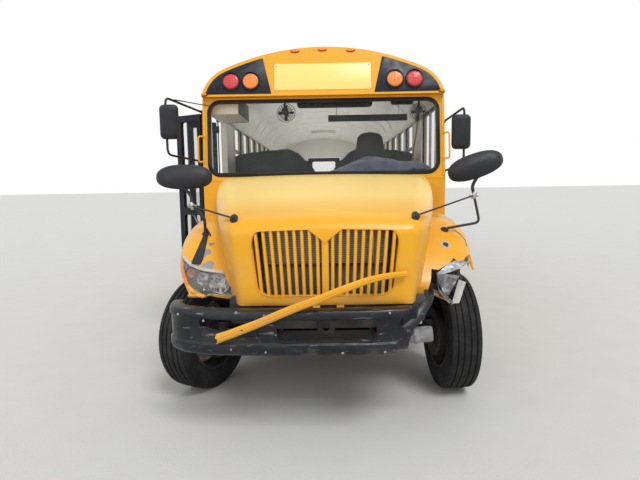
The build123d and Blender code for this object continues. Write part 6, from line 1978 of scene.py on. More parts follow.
# fuel door on the right, battery door on the left: hinged flaps in the skirt
for side, y, z, w, h in ((-1, -1.62, 0.775, 0.26, 0.26), (1, -2.85, 0.775, 0.58, 0.30),
                         (1, -0.95, 0.775, 0.34, 0.26)):
    place = placement((side * half, y, z), (0, side, 0), (0, 0, 1))
    addLoft(bm, [(roundedOutline(w, h, 0.02, 4), -0.001), (roundedOutline(w, h, 0.02, 4), 0.003),
                 (roundedOutline(w - 0.006, h - 0.006, 0.018, 4), 0.0045)], place, 0)
    addTube(bm, [place @ Vector((-w / 2 + 0.03, h / 2 - 0.004, 0.006)),
                 place @ Vector((w / 2 - 0.03, h / 2 - 0.004, 0.006))], 0.006, 10, 0)
    addLathe(bm, [(0.0, 0.001), (0.004, 0.022), (0.007, 0.020), (0.008, 0.001)],
             place @ Vector((0, -h / 2 + 0.05, 0.003)), (side, 0, 0), 20, 2)
finishPiece(makeObject("sideDress", bm, ["busYellow", "gasketRubber", "bareSteel", "amberLens", "redLens"]),
            smooth=35)

rivetLines = []
for side in (-1, 1):
    start = -2.70 if side < 0 else -3.66
    x = side * (half + 0.0004)
    for z in (1.742, 1.645, 1.435, 1.325, 1.065, 0.955, 0.600):
        for low, high in ((start, 1.60), (2.86, 5.60)) if z < 0.97 else ((start, 5.60),):
            rivetLines.append([(x, low, z), (x, high, z)])
    for i in range(12):
        y = -2.35 + window["pitch"] * i
        for dy in (-0.021, 0.021):
            rivetLines.append([(x + side * 0.0035, y + dy, 1.79), (x + side * 0.0035, y + dy, 2.46)])
for side in (-1, 1):
    part = [line for line in rivetLines if line[0][0] * side > 0]
    setAlong(f"sideRivets{side}", part, 0.098, (0.0058, 0.0058, 0.0032), (side, 0, 0), "busYellow")
print("sides made")

# Entrance leaves, each drawn flat from its hinge: u across the leaf, v up

leafShape = {"width": 0.368, "foot": 0.430, "head": 2.432, "stile": 0.062, "split": 1.420, "thick": 0.036,
             "edge": 0.022, "hingeX": -1.251, "knuckles": (0.470, 1.380, 2.312)}
for name, y, turn in (("front", -3.582, 1), ("rear", -2.838, -1)):
    across = Vector((-math.sin(math.radians(60)), turn * math.cos(math.radians(60)), 0))
    origin = Vector((leafShape["hingeX"], y, 0))
    place = placement(origin, across, (0, 0, 1))
    w, s, t = leafShape["width"], leafShape["stile"], leafShape["thick"] / 2
    bm = bmesh.new()
    addPrism(bm, [(leafShape["edge"], leafShape["foot"]), (w, leafShape["foot"]), (w, leafShape["head"]),
                  (leafShape["edge"], leafShape["head"])], -t, t, place)
    leaf = makeObject(f"entranceLeaf_{name}", bm, ["trimBlack", "gasketRubber", "tintedGlass", "bareSteel"])
    openings = ((leafShape["split"] + s / 2, leafShape["head"] - s),
                (leafShape["foot"] + 2 * s, leafShape["split"] - s / 2))
    cut = bmesh.new()
    for low, high in openings:
        addPrism(cut, roundedOutline(w - 2 * s, high - low, 0.030, 5, (w / 2, (low + high) / 2)), -0.1, 0.1,
                 place)
    cutWith(leaf, [makeObject("opening", cut)])
    bm = bmesh.new()
    for low, high in openings:
        loop = roundedOutline(w - 2 * s + 0.004, high - low + 0.004, 0.032, 5, (w / 2, (low + high) / 2))
        for face in (-1, 1):
            addSweep(bm, [place @ Vector((u, v, face * (t + 0.001))) for u, v in loop],
                     [(-0.009, -0.002), (-0.008, 0.003), (0.0, 0.005), (0.008, 0.003), (0.009, -0.002)],
                     up=place.to_3x3() @ Vector((0, 0, face)), mat=1, closed=True)
        addPrism(bm, roundedOutline(w - 2 * s + 0.01, high - low + 0.01, 0.032, 5, (w / 2, (low + high) / 2)),
                 -0.002, 0.002, place, 2)
    for z in leafShape["knuckles"]:
        addLathe(bm, rod(0, 0.08, 0.0148, 0.0078), origin + Vector((0, 0, z)), (0, 0, 1), 28, 0,
                 closedProfile=True)
        addPrism(bm, [(0.013, z), (0.040, z), (0.040, z + 0.08), (0.013, z + 0.08)], -0.008, 0.008, place, 0)
    # soft seal down the free edge and a brush along the foot
    addTube(bm, [place @ Vector((w - 0.007, leafShape["foot"] + 0.004, 0)),
                 place @ Vector((w - 0.007, leafShape["head"] - 0.004, 0))], 0.0068, 10, 1)
    foot = leafShape["foot"]
    addPrism(bm, [(0.03, foot), (w - 0.02, foot), (w - 0.02, foot + 0.03), (0.03, foot + 0.03)],
             -t - 0.004, t + 0.004, place, 1)
    inside = 1 if (place.to_3x3() @ Vector((0, 0, 1))).y * turn < 0 else -1
    bar = [place @ Vector((0.030, 1.10, -inside * (t + 0.001))),
           place @ Vector((0.060, 1.11, -inside * (t + 0.045))),
           place @ Vector((0.25, 1.38, -inside * (t + 0.045))),
           place @ Vector((0.335, 1.42, -inside * (t + 0.001)))]
    addTube(bm, roundPath(bar, 0.03, 4), 0.0105, 12, 3)
    parts = makeObject("parts", bm, ["trimBlack", "gasketRubber", "tintedGlass", "bareSteel"])
    leaf = joined(f"entranceLeaf_{name}", [leaf, parts])
    finishPiece(leaf, f"door_{name}_leaf", replaces=[f"door_leaf_{name}"], smooth=35)

# Stop arm: an octagon with a pale border and two lamps, its face left bare
bm = bmesh.new()
armShape = {"centre": (1.269, -3.202, 1.540), "width": 0.446, "faceWidth": 0.416, "hingeY": -3.480,
            "plateX": 1.261}
centre = Vector(armShape["centre"])


def octagon(size):
    reach = size / 2 / math.cos(math.pi / 8)
    angles = [math.pi / 8 + k * math.pi / 4 for k in range(8)]
    return [(reach * math.cos(angle), reach * math.sin(angle)) for angle in angles]


place = placement(centre, (0, 1, 0), (0, 0, 1))
addPrism(bm, octagon(armShape["width"]), -0.0045, 0.0045, place, 1)
for face in (-1, 1):
    addPrism(bm, octagon(armShape["faceWidth"]), face * 0.0046, face * 0.0056, place, 0)
    for dz in (-0.135, 0.135):
        addLathe(bm, [(0.004, 0.001), (0.004, 0.046), (0.010, 0.046), (0.011, 0.041), (0.0145, 0.030),
                      (0.0155, 0.001)], centre + Vector((0, 0, dz)), (face, 0, 0), 36, 2)
for dz in (-0.06, 0.06):
    addBlock(bm, (armShape["plateX"], armShape["hingeY"], 1.540 + dz - 0.018),
             (1.277, -3.380, 1.540 + dz + 0.018), 3, bevel=0.002)
addLathe(bm, rod(-0.074, 0.074, 0.0155, 0.0085), (centre.x, armShape["hingeY"], centre.z), (0, 0, 1), 28, 3,
         closedProfile=True)
for y, z in ((-3.40, 1.60), (-3.40, 1.48), (-3.42, 1.60), (-3.42, 1.48)):
    addBolt(bm, (1.277, y, z), (1, 0, 0), 0.006, 4)
finishPiece(makeObject("stopArm", bm, ["signRed", "roofWhite", "redLens", "trimBlack", "zincBolt"]), "stop_arm",
            replaces=["stop_arm"], smooth=35)
print("entrance and stop arm made")

# Rear: door skin, window rubbers, handle, lamps and the seams of the wall
rearView = placement((0, rearY, 0), (-1, 0, 0), (0, 0, 1))   # u = -X, v = Z, w = outwards
bm = bmesh.new()
for z, h in railRows[:3]:
    for u in (-1, 1):
        addSweep(bm, [rearView @ Vector((u * 0.500, z, 0)), rearView @ Vector((u * 1.195, z, 0))],
                 even((-h * 0.8, -0.001), (-h * 0.8, 0.009), (-h * 0.3, 0.012)), up=(0, 1, 0), mat=1)
for u in (-0.800, 0.800):
    loop = [rearView @ Vector((a, b, 0.0)) for a, b in roundedOutline(0.400, 0.620, 0.038, 5, (u, 2.060))]
    addSweep(bm, loop, [(-0.018, -0.002), (-0.018, 0.007), (-0.004, 0.012), (0.012, 0.010), (0.016, -0.030),
                        (0.006, -0.030)], up=(0, 1, 0), mat=1, closed=True)
for side in (-1, 1):   # stop, turn and reverse lamps below the windows
    for u, z, radius, steps, mat in ((1.0047, 1.555, 0.090, 44, 3), (1.02, 1.250, 0.070, 40, 2)):
        addLathe(bm, [
            (0.0, 0.001), (0.0, radius), (0.016, radius), (0.019, radius - 0.008), (0.026, radius - 0.016),
            (0.036, radius * 0.5), (0.038, 0.001),
        ], rearView @ Vector((side * u, z, 0)), (0, 1, 0), steps, mat)
    addLathe(bm, [
        (0.0, 0.001), (0.0, 0.055), (0.014, 0.055), (0.018, 0.048), (0.026, 0.028), (0.027, 0.001),
    ], rearView @ Vector((side * 0.85, 1.250, 0)), (0, 1, 0), 36, 4)
for u in (-0.265, 0.0, 0.265):
    addMarker(bm, rearView @ Vector((u, 2.965 - abs(u) * 0.10, 0)), (0, 1, 0), (0, 0, 1), 0.042, 0.018, 0.022,
              1, 3)
for u in (-1, 1):
    addMarker(bm, rearView @ Vector((u * 1.150, 2.560, 0)), (0, 1, 0), (0, 0, 1), 0.032, 0.017, 0.020, 1, 3)
    outline = [(0.520, 2.592), *roofEdge(0.040, 0.560, 1.170), (1.150, 2.592)]
    panel = [(u * a, min(b, 3.0)) for a, b in outline]
    addPrism(bm, panel if u > 0 else panel[::-1], 0.0003, 0.004, rearView, 1)
for dz in (0, 0.035):
    addTube(bm, roundPath([rearView @ Vector((-0.62, 2.50 + dz, 0)),
                           rearView @ Vector((-0.62, 2.50 + dz, 0.02)),
                           rearView @ Vector((0.62, 2.50 + dz, 0.02)), rearView @ Vector((0.62, 2.50 + dz, 0))],
                          0.01, 3), 0.004, 8, 0)
finishPiece(makeObject("rearDress", bm, ["busYellow", "trimBlack", "amberLens", "redLens", "lampLens"]),
            smooth=35)
makeWarningLamps("rearWarningLamps", placement((0, rearY, cap["footZ"]), (-1, 0, 0), (0, 0, 1)), (1, 2, 2, 1),
                 ["warning_lamps_rear"])

rearDoor = {"width": 0.922, "height": 1.462, "middleZ": 1.730, "thick": 0.046, "glassWidth": 0.690,
            "glassHeight": 0.710, "glassZ": 2.015, "hingeX": -0.470, "hingeY": 5.647}
glassMiddle = (0, rearDoor["glassZ"])
bm = bmesh.new()
addPrism(bm, roundedOutline(rearDoor["width"], rearDoor["height"], 0.012, 3, (0, rearDoor["middleZ"])), 0.0,
         rearDoor["thick"], rearView)
door = makeObject("rearDoorSkin", bm, ["busYellow", "trimBlack", "gasketRubber", "tintedGlass", "bareSteel"])
cut = bmesh.new()
addPrism(cut, roundedOutline(rearDoor["glassWidth"], rearDoor["glassHeight"], 0.060, 6, glassMiddle), -0.1, 0.1,
         rearView)
addPrism(cut, roundedOutline(0.700, 0.420, 0.030, 5, (0, 1.330)), 0.036, 0.1, rearView)
cutWith(door, [makeObject("opening", cut)])
bm = bmesh.new()
for depth, facing in ((rearDoor["thick"], 1), (0.0, -1)):
    loop = [rearView @ Vector((u, v, depth)) for u, v in roundedOutline(0.694, 0.714, 0.062, 6, glassMiddle)]
    addSweep(bm, loop, [(-0.016, -0.002), (-0.015, 0.006), (0.0, 0.009), (0.010, 0.006), (0.012, -0.016),
                        (0.002, -0.016)], up=(0, facing, 0), mat=2, closed=True)
addPrism(bm, roundedOutline(0.700, 0.720, 0.060, 6, glassMiddle), 0.018, 0.023, rearView, 3)
for z in (1.180, 1.560, 2.300):   # strap hinges
    addLathe(bm, rod(-0.034, 0.034, 0.0108, 0.006), (rearDoor["hingeX"], rearDoor["hingeY"], z), (0, 0, 1), 24,
             4, closedProfile=True)
    addBlock(bm, (-0.458, 5.679, z - 0.030), (-0.330, 5.686, z + 0.030), 4, bevel=0.002)
    addBlock(bm, (-0.466, 5.645, z - 0.030), (-0.454, 5.684, z + 0.030), 4)
    for x in (-0.43, -0.39, -0.35):
        addBolt(bm, (x, 5.686, z), (0, 1, 0), 0.006, 4)
grip = [(0.380, 5.680, 1.530), (0.380, 5.693, 1.515), (0.380, 5.693, 1.385), (0.380, 5.680, 1.370)]
addTube(bm, roundPath(grip, 0.012, 4), 0.0085, 12, 4)
addBlock(bm, (0.350, 5.679, 1.34), (0.410, 5.684, 1.56), 1, bevel=0.002)
addBlock(bm, (0.33, 5.600, 1.42), (0.41, 5.634, 1.50), 4, bevel=0.003)
parts = makeObject("parts", bm, ["busYellow", "trimBlack", "gasketRubber", "tintedGlass", "bareSteel"])
door = joined("rearDoorSkin", [door, parts])
for face in door.data.polygons:
    if face.material_index == 0 and face.normal.y < -0.5:
        face.material_index = 1
finishPiece(door, "rear_door", replaces=["rear_door"], bevel=0.0012, smooth=35)

bm = bmesh.new()
addSweep(bm, roundPath([(1.180, 5.640, 0.610), (1.180, 5.790, 0.610), (-1.180, 5.790, 0.610),
                        (-1.180, 5.640, 0.610)], 0.07, 5),
         [(-0.050, 0.118), (0.010, 0.118), (0.020, 0.108), (0.020, 0.050), (0.010, 0.036), (0.010, -0.036),
          (0.020, -0.050), (0.020, -0.108), (0.010, -0.118), (-0.050, -0.118), (-0.050, -0.112),
          (0.006, -0.112), (0.014, -0.104), (0.014, -0.050), (0.004, -0.036), (0.004, 0.036), (0.014, 0.050),
          (0.014, 0.104), (0.006, 0.112), (-0.050, 0.112)])
for side in (-1, 1):
    addBlock(bm, (side * 0.39 - 0.04, 5.600, 0.70 - 0.15), (side * 0.39 + 0.04, 5.792, 0.70), 1)
    for z in (0.575, 0.645):
        for x in (0.37, 0.41):
            addBolt(bm, (side * x, 5.798, z), (0, 1, 0), 0.009, 2)
finishPiece(makeObject("rearBumperBeam", bm, ["bumperBlack", "chassisPaint", "zincBolt"]),
            replaces=["rear_bumper"], smooth=35)
rearRivets = []
for side in (-1, 1):
    for z in (1.742, 1.640, 1.430, 1.325, 1.060, 0.955, 0.62):
        rearRivets.append([(side * 0.54, 5.6354, z), (side * 1.19, 5.6354, z)])
    for x in (0.535, 1.185):
        rearRivets.append([(side * x, 5.6354, 0.64), (side * x, 5.6354, 2.46)])
setAlong("rearRivets", rearRivets, 0.09, (0.0055, 0.0055, 0.003), (0, 1, 0), "busYellow")
print("rear made")

# Roof: lapped sheets with raised bow lines, and hatch lids with a pressed top
bm = bmesh.new()
for i in range(14):
    y = -3.60 + 9.20 * i / 13
    edge = roofEdge(0.0, 0.0, 1.21, 26)
    section = [(-x, z) for x, z in edge][::-1] + edge[1:]
    path = [Vector((x, y, z)) for x, z in section]
    rows = []
    for point in path:
        if abs(point.x) > 0.99:
            cornerX = math.copysign(roofLine["cornerX"], point.x)
            out = Vector((point.x - cornerX, 0, point.z - bus["eavesZ"])).normalized()
        else:
            out = Vector((point.x * 0.42, 0, 1.0)).normalized()
        rows.append([point + out * h + Vector((0, dy, 0))
                     for dy, h in even((-0.022, -0.002), (-0.020, 0.0028))])
    addGrid(bm, rows, 0)
finishPiece(makeObject("roofBows", bm, ["roofWhite"]), smooth=40)
for name, y in (("front", -0.880), ("rear", 3.520)):
    bm = bmesh.new()
    top = placement((0, y, 0), (1, 0, 0), (0, 1, 0))
    addLoft(bm, [(roundedOutline(0.688 - grow, 0.688 - grow, 0.055, 6), z)
                 for grow, z in ((0.020, 3.0866), (0.004, 3.0866), (0.0, 3.090), (0.0, 3.1035), (0.006, 3.109),
                                 (0.030, 3.1155), (0.10, 3.1175), (0.16, 3.1175), (0.19, 3.1145),
                                 (0.34, 3.1145), (0.37, 3.1195), (0.60, 3.1200))], top, 0)
    for x in (-0.200, 0.200):
        addLathe(bm, rod(-0.03, 0.03, 0.0088, 0.0047), (x, y + 0.353, 3.1033), (1, 0, 0), 24, 1,
                 closedProfile=True)
        addBlock(bm, (x - 0.03, y + 0.338, 3.0995), (x + 0.03, y + 0.350, 3.1070), 1)
    finishPiece(makeObject(f"hatchLid_{name}", bm, ["roofWhite", "bareSteel"]), f"hatch_{name}",
                replaces=[f"roof_hatch_{name}"], smooth=35)
print("roof made")


# Padded pieces: a slightly small form is remeshed, blown up by Cloth under pressure, and held to a cap

padding = {"pressure": 4.0, "frames": 20, "benchVoxel": 0.020, "seatVoxel": 0.013, "thin": 0.5}


def stuffPad(name, bm, voxel, cap, thin=1.0):
    pad = makeObject(name, bm, ["seatVinyl"])
    addModifier(pad, "REMESH", mode="VOXEL", voxel_size=voxel, use_smooth_shade=True)
    applyModifiers(pad)
    before = [vertex.co.copy() for vertex in pad.data.vertices]
    cloth = addModifier(pad, "CLOTH").settings
    cloth.quality = 5
    cloth.use_pressure = True
    cloth.uniform_pressure_force = padding["pressure"]
    cloth.effector_weights.gravity = 0
    for number in range(1, padding["frames"] + 1):
        bpy.context.scene.frame_set(number)
    applyModifiers(pad)
    bpy.context.scene.frame_set(1)
    for vertex, start in zip(pad.data.vertices, before):
        moved = vertex.co - start
        if moved.length > cap:
            vertex.co = start + moved.normalized() * cap
    addModifier(pad, "SUBSURF", levels=1, render_levels=1)
    if thin < 1:
        addModifier(pad, "DECIMATE", ratio=thin)
    applyModifiers(pad)
    pad.data.materials.clear()
    pad.data.materials.append(finishes["seatVinyl"])
    return pad


# A sewn welt laid on a pad: the line is dropped onto its skin along a direction
def addWelt(bm, pad, line, direction, radius, closed=True, lift=0.35):
    skin = skinOf(pad)
    direction = Vector(direction).normalized()
    path = []
    for point in line:
        hit, normal, _, _ = skin.ray_cast(Vector(point) - direction * 0.3, direction)
        if hit is None:
            hit, normal, _, _ = skin.find_nearest(Vector(point))
        path.append(hit + normal * radius * lift)
    addTube(bm, path, radius, 8, 0, closed=closed)


# Copies of finished forms, each moved along the bus and, on the right, mirrored
def placeCopy(name, source, moveY, side):
    mesh = source.data.copy()
    mesh.transform(Matrix.Translation((0, moveY, 0)))
    if side < 0:
        mesh.transform(Matrix.Diagonal((-1, 1, 1, 1)))
        mesh.flip_normals()
    piece = bpy.data.objects.new(name, mesh)
    bpy.context.scene.collection.objects.link(piece)
    return piece


bench = {"firstY": -2.080, "pitch": 0.711, "count": 10, "inner": 0.162, "outer": 1.147, "welt": 0.0045,
         "floorZ": 0.992, "legZ": 1.302}
lowX, highX = bench["inner"] + 0.010, bench["outer"] - 0.010
middleX, benchWidth = (lowX + highX) / 2, highX - lowX
bm = bmesh.new()
top = placement((0, bench["firstY"], 1.322), (1, 0, 0), (0, 1, -0.05))
addLoft(bm, [
    (roundedOutline(benchWidth - grow, 0.412 - grow, 0.045, 4, (middleX, 0.202)), 0.094 * share)
    for grow, share in ((0.030, 0.0), (0.004, 0.22), (0.0, 0.55), (0.008, 0.85), (0.040, 1.0))
], top)
seatPad = stuffPad("seatPad", bm, padding["benchVoxel"], 0.022, padding["thin"])
bm = bmesh.new()
back = placement((0, bench["firstY"] + 0.447, 1.360), (1, 0, 0), (0, 0.118, 1))   # w looks forwards
addLoft(bm, [(roundedOutline(benchWidth - grow, 0.700 - grow, 0.085 - grow / 3, 5, (middleX, 0.355)), depth)
             for grow, depth in ((0.030, -0.028), (0.004, -0.014), (0.004, 0.014), (0.030, 0.028))], back)
backPad = stuffPad("backPad", bm, padding["benchVoxel"], 0.022, padding["thin"])
bm = bmesh.new()
for face in (-1, 1):
    loop = [back @ Vector((u, v, 0)) for u, v in roundedOutline(
        benchWidth - 0.052, 0.638, 0.080, 6, (middleX, 0.360),
    )]
    addWelt(bm, backPad, loop, back.to_3x3() @ Vector((0, 0, -face)), bench["welt"])
loop = [top @ Vector((u, v, 0.1)) for u, v in roundedOutline(benchWidth - 0.05, 0.36, 0.045, 6,
                                                             (middleX, 0.202))]
addWelt(bm, seatPad, loop, (0, 0, -1), bench["welt"])
welts = makeObject("welts", bm, ["seatVinyl"])
for name, side in bothSides:
    for i in range(bench["count"]):
        moveY = bench["pitch"] * i
        for kind, source, fill in (("benchSeat", seatPad, 0.75), ("benchBack", backPad, 0.7)):
            pad = placeCopy(f"{kind}_{name}_{i + 1}", source, moveY, side)
            finishPiece(pad, smooth=60)
    bm = bmesh.new()
    for i in range(bench["count"]):
        y = bench["firstY"] + bench["pitch"] * i
        part = placeCopy("part", welts, y - bench["firstY"], side)
        bm.from_mesh(part.data)
        bpy.data.objects.remove(part)
        for x in (side * (bench["inner"] + 0.120), side * (bench["outer"] - 0.060)):
            leg = [(x, y + 0.060, bench["floorZ"]), (x, y + 0.060, bench["legZ"]),
                   (x, y + 0.430, bench["legZ"]), (x, y + 0.430, bench["floorZ"])]
            addTube(bm, roundPath(leg, 0.05, 5), 0.0125, 12, 1)
            for dy in (0.060, 0.430):
                addBlock(bm, (x - 0.030, y + dy - 0.022, 0.991), (x + 0.030, y + dy + 0.022, 0.997), 1)
                addBolt(bm, (x + 0.021, y + dy, 0.997), (0, 0, 1), 0.006, 2)
        for dy in (0.075, 0.400):
            addTube(bm, [(side * (bench["inner"] + 0.02), y + dy, 1.309),
                         (side * (bench["outer"] - 0.01), y + dy, 1.309)], 0.011, 10, 1)
        addBlock(bm, (side * (bench["inner"] + 0.015), y + 0.020, 1.314),
                 (side * (bench["outer"] - 0.015), y + 0.395, 1.324), 3)
        for x in (side * (bench["inner"] + 0.035), side * (bench["outer"] - 0.035)):
            addTube(bm, [(x, y + 0.420, 1.300), (x, y + 0.447, 1.390)], 0.011, 10, 1)
    finishPiece(makeObject(f"benchFrames_{name}", bm, ["seatVinyl", "chassisPaint", "zincBolt", "woodPanel"],
                           turned=False), replaces=[f"benches_{name}"], smooth=40)
for spare in (seatPad, backPad, welts):
    bpy.data.objects.remove(spare)
print("benches made")

# Padded barriers ahead of the first benches
bm = bmesh.new()
barrierView = placement((0, -2.495, 0), (1, 0, 0), (0, 0, 1))   # w looks forwards
barrierLine = [(1.137, 1.122), (1.137, 2.070), (0.98, 2.108), (0.70, 2.142), (0.425, 2.150), (0.30, 2.090),
               (0.215, 1.995), (0.164, 1.905), (0.164, 1.122)]
middle = Vector((0.65, 1.6))
addLoft(bm, [([tuple(Vector(p) + (middle - Vector(p)).normalized() * pull) for p in barrierLine], w)
             for pull, w in ((0.016, -0.016), (0.002, -0.008), (0.002, 0.008), (0.016, 0.016))], barrierView)
barrierPad = stuffPad("barrierPad", bm, 0.016, 0.010, 0.6)
bm = bmesh.new()
for face in (-1, 1):
    loop = [barrierView @ Vector((*(Vector(p) + (middle - Vector(p)).normalized() * 0.032), 0))
            for p in barrierLine]
    addWelt(bm, barrierPad, roundPath([*loop, loop[0]], 0.03, 4)[:-1], (0, face, 0), 0.0045)
for x in (1.107, 0.192):
    addTube(bm, [(x, -2.495, 0.992), (x, -2.495, 1.160)], 0.015, 14, 1)
    addLathe(bm, [(0, 0.001), (0, 0.034), (0.006, 0.034), (0.008, 0.016), (0.02, 0.016)], (x, -2.495, 0.991),
             (0, 0, 1), 20, 1)
weltsAndPosts = makeObject("weltsAndPosts", bm, ["seatVinyl", "chassisPaint"], turned=False)
for name, side in bothSides:
    pad = placeCopy(f"barrierPad_{name}", barrierPad, 0, side)
    finishPiece(pad, replaces=[f"barrier_{name}"], smooth=60)
    finishPiece(placeCopy(f"barrierPosts_{name}", weltsAndPosts, 0, side), smooth=40)
for spare in (barrierPad, weltsAndPosts):
    bpy.data.objects.remove(spare)

# The driver's high-backed seat: cushion, back with a raised head part, bellows and plinth
driver = {"x": 0.570, "frontY": -3.140}
bm = bmesh.new()
place = placement((driver["x"], driver["frontY"] + 0.200, 1.385), (1, 0, 0), (0, 1, -0.06))
addLoft(bm, [(roundedOutline(0.500 - grow, 0.385 - grow, 0.07, 5), w) for grow, w in (
    (0.06, 0.0), (0.01, 0.025), (0.0, 0.060), (0.03, 0.090), (0.09, 0.100),
)], place)
driverCushion = stuffPad("driverCushion", bm, padding["seatVoxel"], 0.020)
bm = bmesh.new()
backPlace = placement((driver["x"], driver["frontY"] + 0.408, 1.372), (1, 0, 0), (0, 0.12, 1))
side = ((0.210, 0.010), (0.232, 0.110), (0.244, 0.330), (0.244, 0.520), (0.224, 0.645), (0.198, 0.735),
        (0.178, 0.835), (0.158, 0.908), (0.110, 0.952), (0.036, 0.964))
outline = [*side, *[(-u, v) for u, v in reversed(side)]]
addLoft(bm, [([(u * (1 - pull), v * (1 - pull * 0.4) + pull * 0.12) for u, v in outline], w) for pull, w in (
    (0.11, -0.038), (0.01, -0.022), (0.0, 0.012), (0.07, 0.036), (0.16, 0.040),
)], backPlace)
driverBack = stuffPad("driverBack", bm, padding["seatVoxel"], 0.018)
bm = bmesh.new()
loop = [backPlace @ Vector((u * 0.80, 0.03 + v * 0.945, 0)) for u, v in outline]
addWelt(bm, driverBack, smoothPath([*loop, loop[0]], 3)[:-1], backPlace.to_3x3() @ Vector((0, 0, -1)), 0.004)
for v in (0.30, 0.42, 0.56):
    wide = 0.15 if v < 0.5 else 0.13
    addWelt(bm, driverBack, [backPlace @ Vector((lerp(-wide, wide, k / 14), v, 0)) for k in range(15)],
            backPlace.to_3x3() @ Vector((0, 0, -1)), 0.003, closed=False, lift=0.0)
loop = [place @ Vector((u, v, 0)) for u, v in roundedOutline(0.43, 0.32, 0.06, 6)]
addWelt(bm, driverCushion, loop, (0, 0, -1), 0.004)
rings = [(roundedOutline(0.300 - 0.022 * (k % 2), 0.300 - 0.022 * (k % 2), 0.04, 4),
          lerp(1.080, 1.385, k / 12)) for k in range(13)]
addLoft(bm, rings, placement((driver["x"], driver["frontY"] + 0.220, 0), (1, 0, 0), (0, 1, 0)), 2)
addBlock(bm, (driver["x"] - 0.150, driver["frontY"] + 0.070, 0.992),
         (driver["x"] + 0.150, driver["frontY"] + 0.370, 1.082), 1, bevel=0.006)
for x in (driver["x"] - 0.222, driver["x"] + 0.222):
    addTube(bm, roundPath([(x, -2.80, 1.40), (x, -2.745, 1.41), (x, -2.70, 1.55)], 0.05, 4), 0.012, 12, 1)
# the orange lap and shoulder belt, hanging from its reel on the wall
belt = [(1.140, -2.700, 2.440), (1.128, -2.690, 2.300), (1.095, -2.700, 2.100), (1.060, -2.730, 1.900),
        (1.035, -2.760, 1.700), (1.020, -2.780, 1.560)]
addSweep(bm, smoothPath(belt, 5), even((-0.024, -0.0009), (-0.024, 0.0009)), up=(1, 0.2, 0), mat=3)
addBlock(bm, (1.118, -2.730, 2.430), (1.150, -2.665, 2.500), 2, bevel=0.006)
addBlock(bm, (0.995, -2.815, 1.500), (1.045, -2.755, 1.575), 2, bevel=0.006)
finishPiece(makeObject("driverSeatFittings", bm, ["seatVinyl", "chassisPaint", "mouldedBlack", "beltWebbing"],
                       turned=False), smooth=40)
for pad, fill in ((driverCushion, 0.75), (driverBack, 0.8)):
    finishPiece(pad, replaces=["driver_seat"] if pad is driverBack else (), smooth=60)
print("driver's seat made")

# Dash: a moulded sill under a loose cover, with the instrument hump, its gauges and switches
dash = {"low": -0.540, "high": 1.153, "frontY": -3.714, "foot": 1.330, "columns": 110}
bm = bmesh.new()
rows = []
for c in range(dash["columns"] + 1):
    x = lerp(dash["low"] + 0.004, dash["high"] - 0.004, c / dash["columns"])
    bump = max(0.0, 1 - abs((x - driver["x"]) / 0.345) ** 5)
    hump = 0.066 * bump ** 0.6 if bump > 0 else 0
    section = [(0.002, 0.0), (0.002, 0.335), (0.004, 0.412), (0.020, 0.420), (0.060, 0.421 + hump * 0.2),
               (0.110, 0.421 + hump * 0.75), (0.160, 0.421 + hump), (0.215, 0.420 + hump),
               (0.262, 0.417 + hump * 0.98), (0.292, 0.400 + hump), (0.312, 0.372 + hump * 0.6), (0.318, 0.335),
               (0.324, 0.297), (0.300, 0.200), (0.262, 0.090), (0.231, 0.0)]
    rows.append([(x, dash["frontY"] + y + 0.018 * bump * (y > 0.25), dash["foot"] + z) for y, z in section])
fine = []
for row in rows:
    path = smoothPath([Vector(p) for p in row], 3)
    crumpled = []
    for p in path:
        lift = (noise.noise(Vector((p.x * 7, p.y * 9, p.z * 9))) + 0.5 * noise.noise(Vector((p.x * 19, p.y * 16,
                                                                                             p.z * 16))))
        crease = abs(noise.noise(Vector((p.x * 5 + 3, p.y * 12, 1.7))))
        covered = 1.0 if p.x > -0.1 else 0.25
        p = p.copy()
        p.z -= covered * (0.010 + 0.010 * lift + 0.022 * max(0, 0.16 - crease) * 4) * (p.z > 1.55)
        crumpled.append(p)
    fine.append(crumpled)
addGrid(bm, fine, 0, closeAcross=True)
for row in (fine[0], fine[-1][::-1]):
    addFaces(bm, row, [tuple(range(len(row)))], 0)
for dx, radius in ((-0.14, 0.052), (0.0, 0.034), (0.14, 0.052)):
    addLathe(bm, [(-0.02, 0.001), (-0.02, radius), (0.006, radius), (0.008, radius - 0.006),
                  (0.003, radius - 0.009), (0.002, 0.001)], (driver["x"] + dx, -3.384, 1.735), (0, 0.94, 0.20),
             30, 1)
for i in range(9):
    x = 0.06 + 0.055 * i if i < 3 else 0.80 + 0.04 * (i - 3)
    addBlock(bm, (x - 0.012, -3.402, 1.655), (x + 0.012, -3.382, 1.690), 1, bevel=0.002)
addTube(bm, [(0.57, -3.444, 1.605), (0.57, -3.283, 1.747)], 0.036, 24, 1)
finishPiece(makeObject("dashCover", bm, ["dashVinyl", "mouldedBlack"]), replaces=["dash"],
            smooth=50)

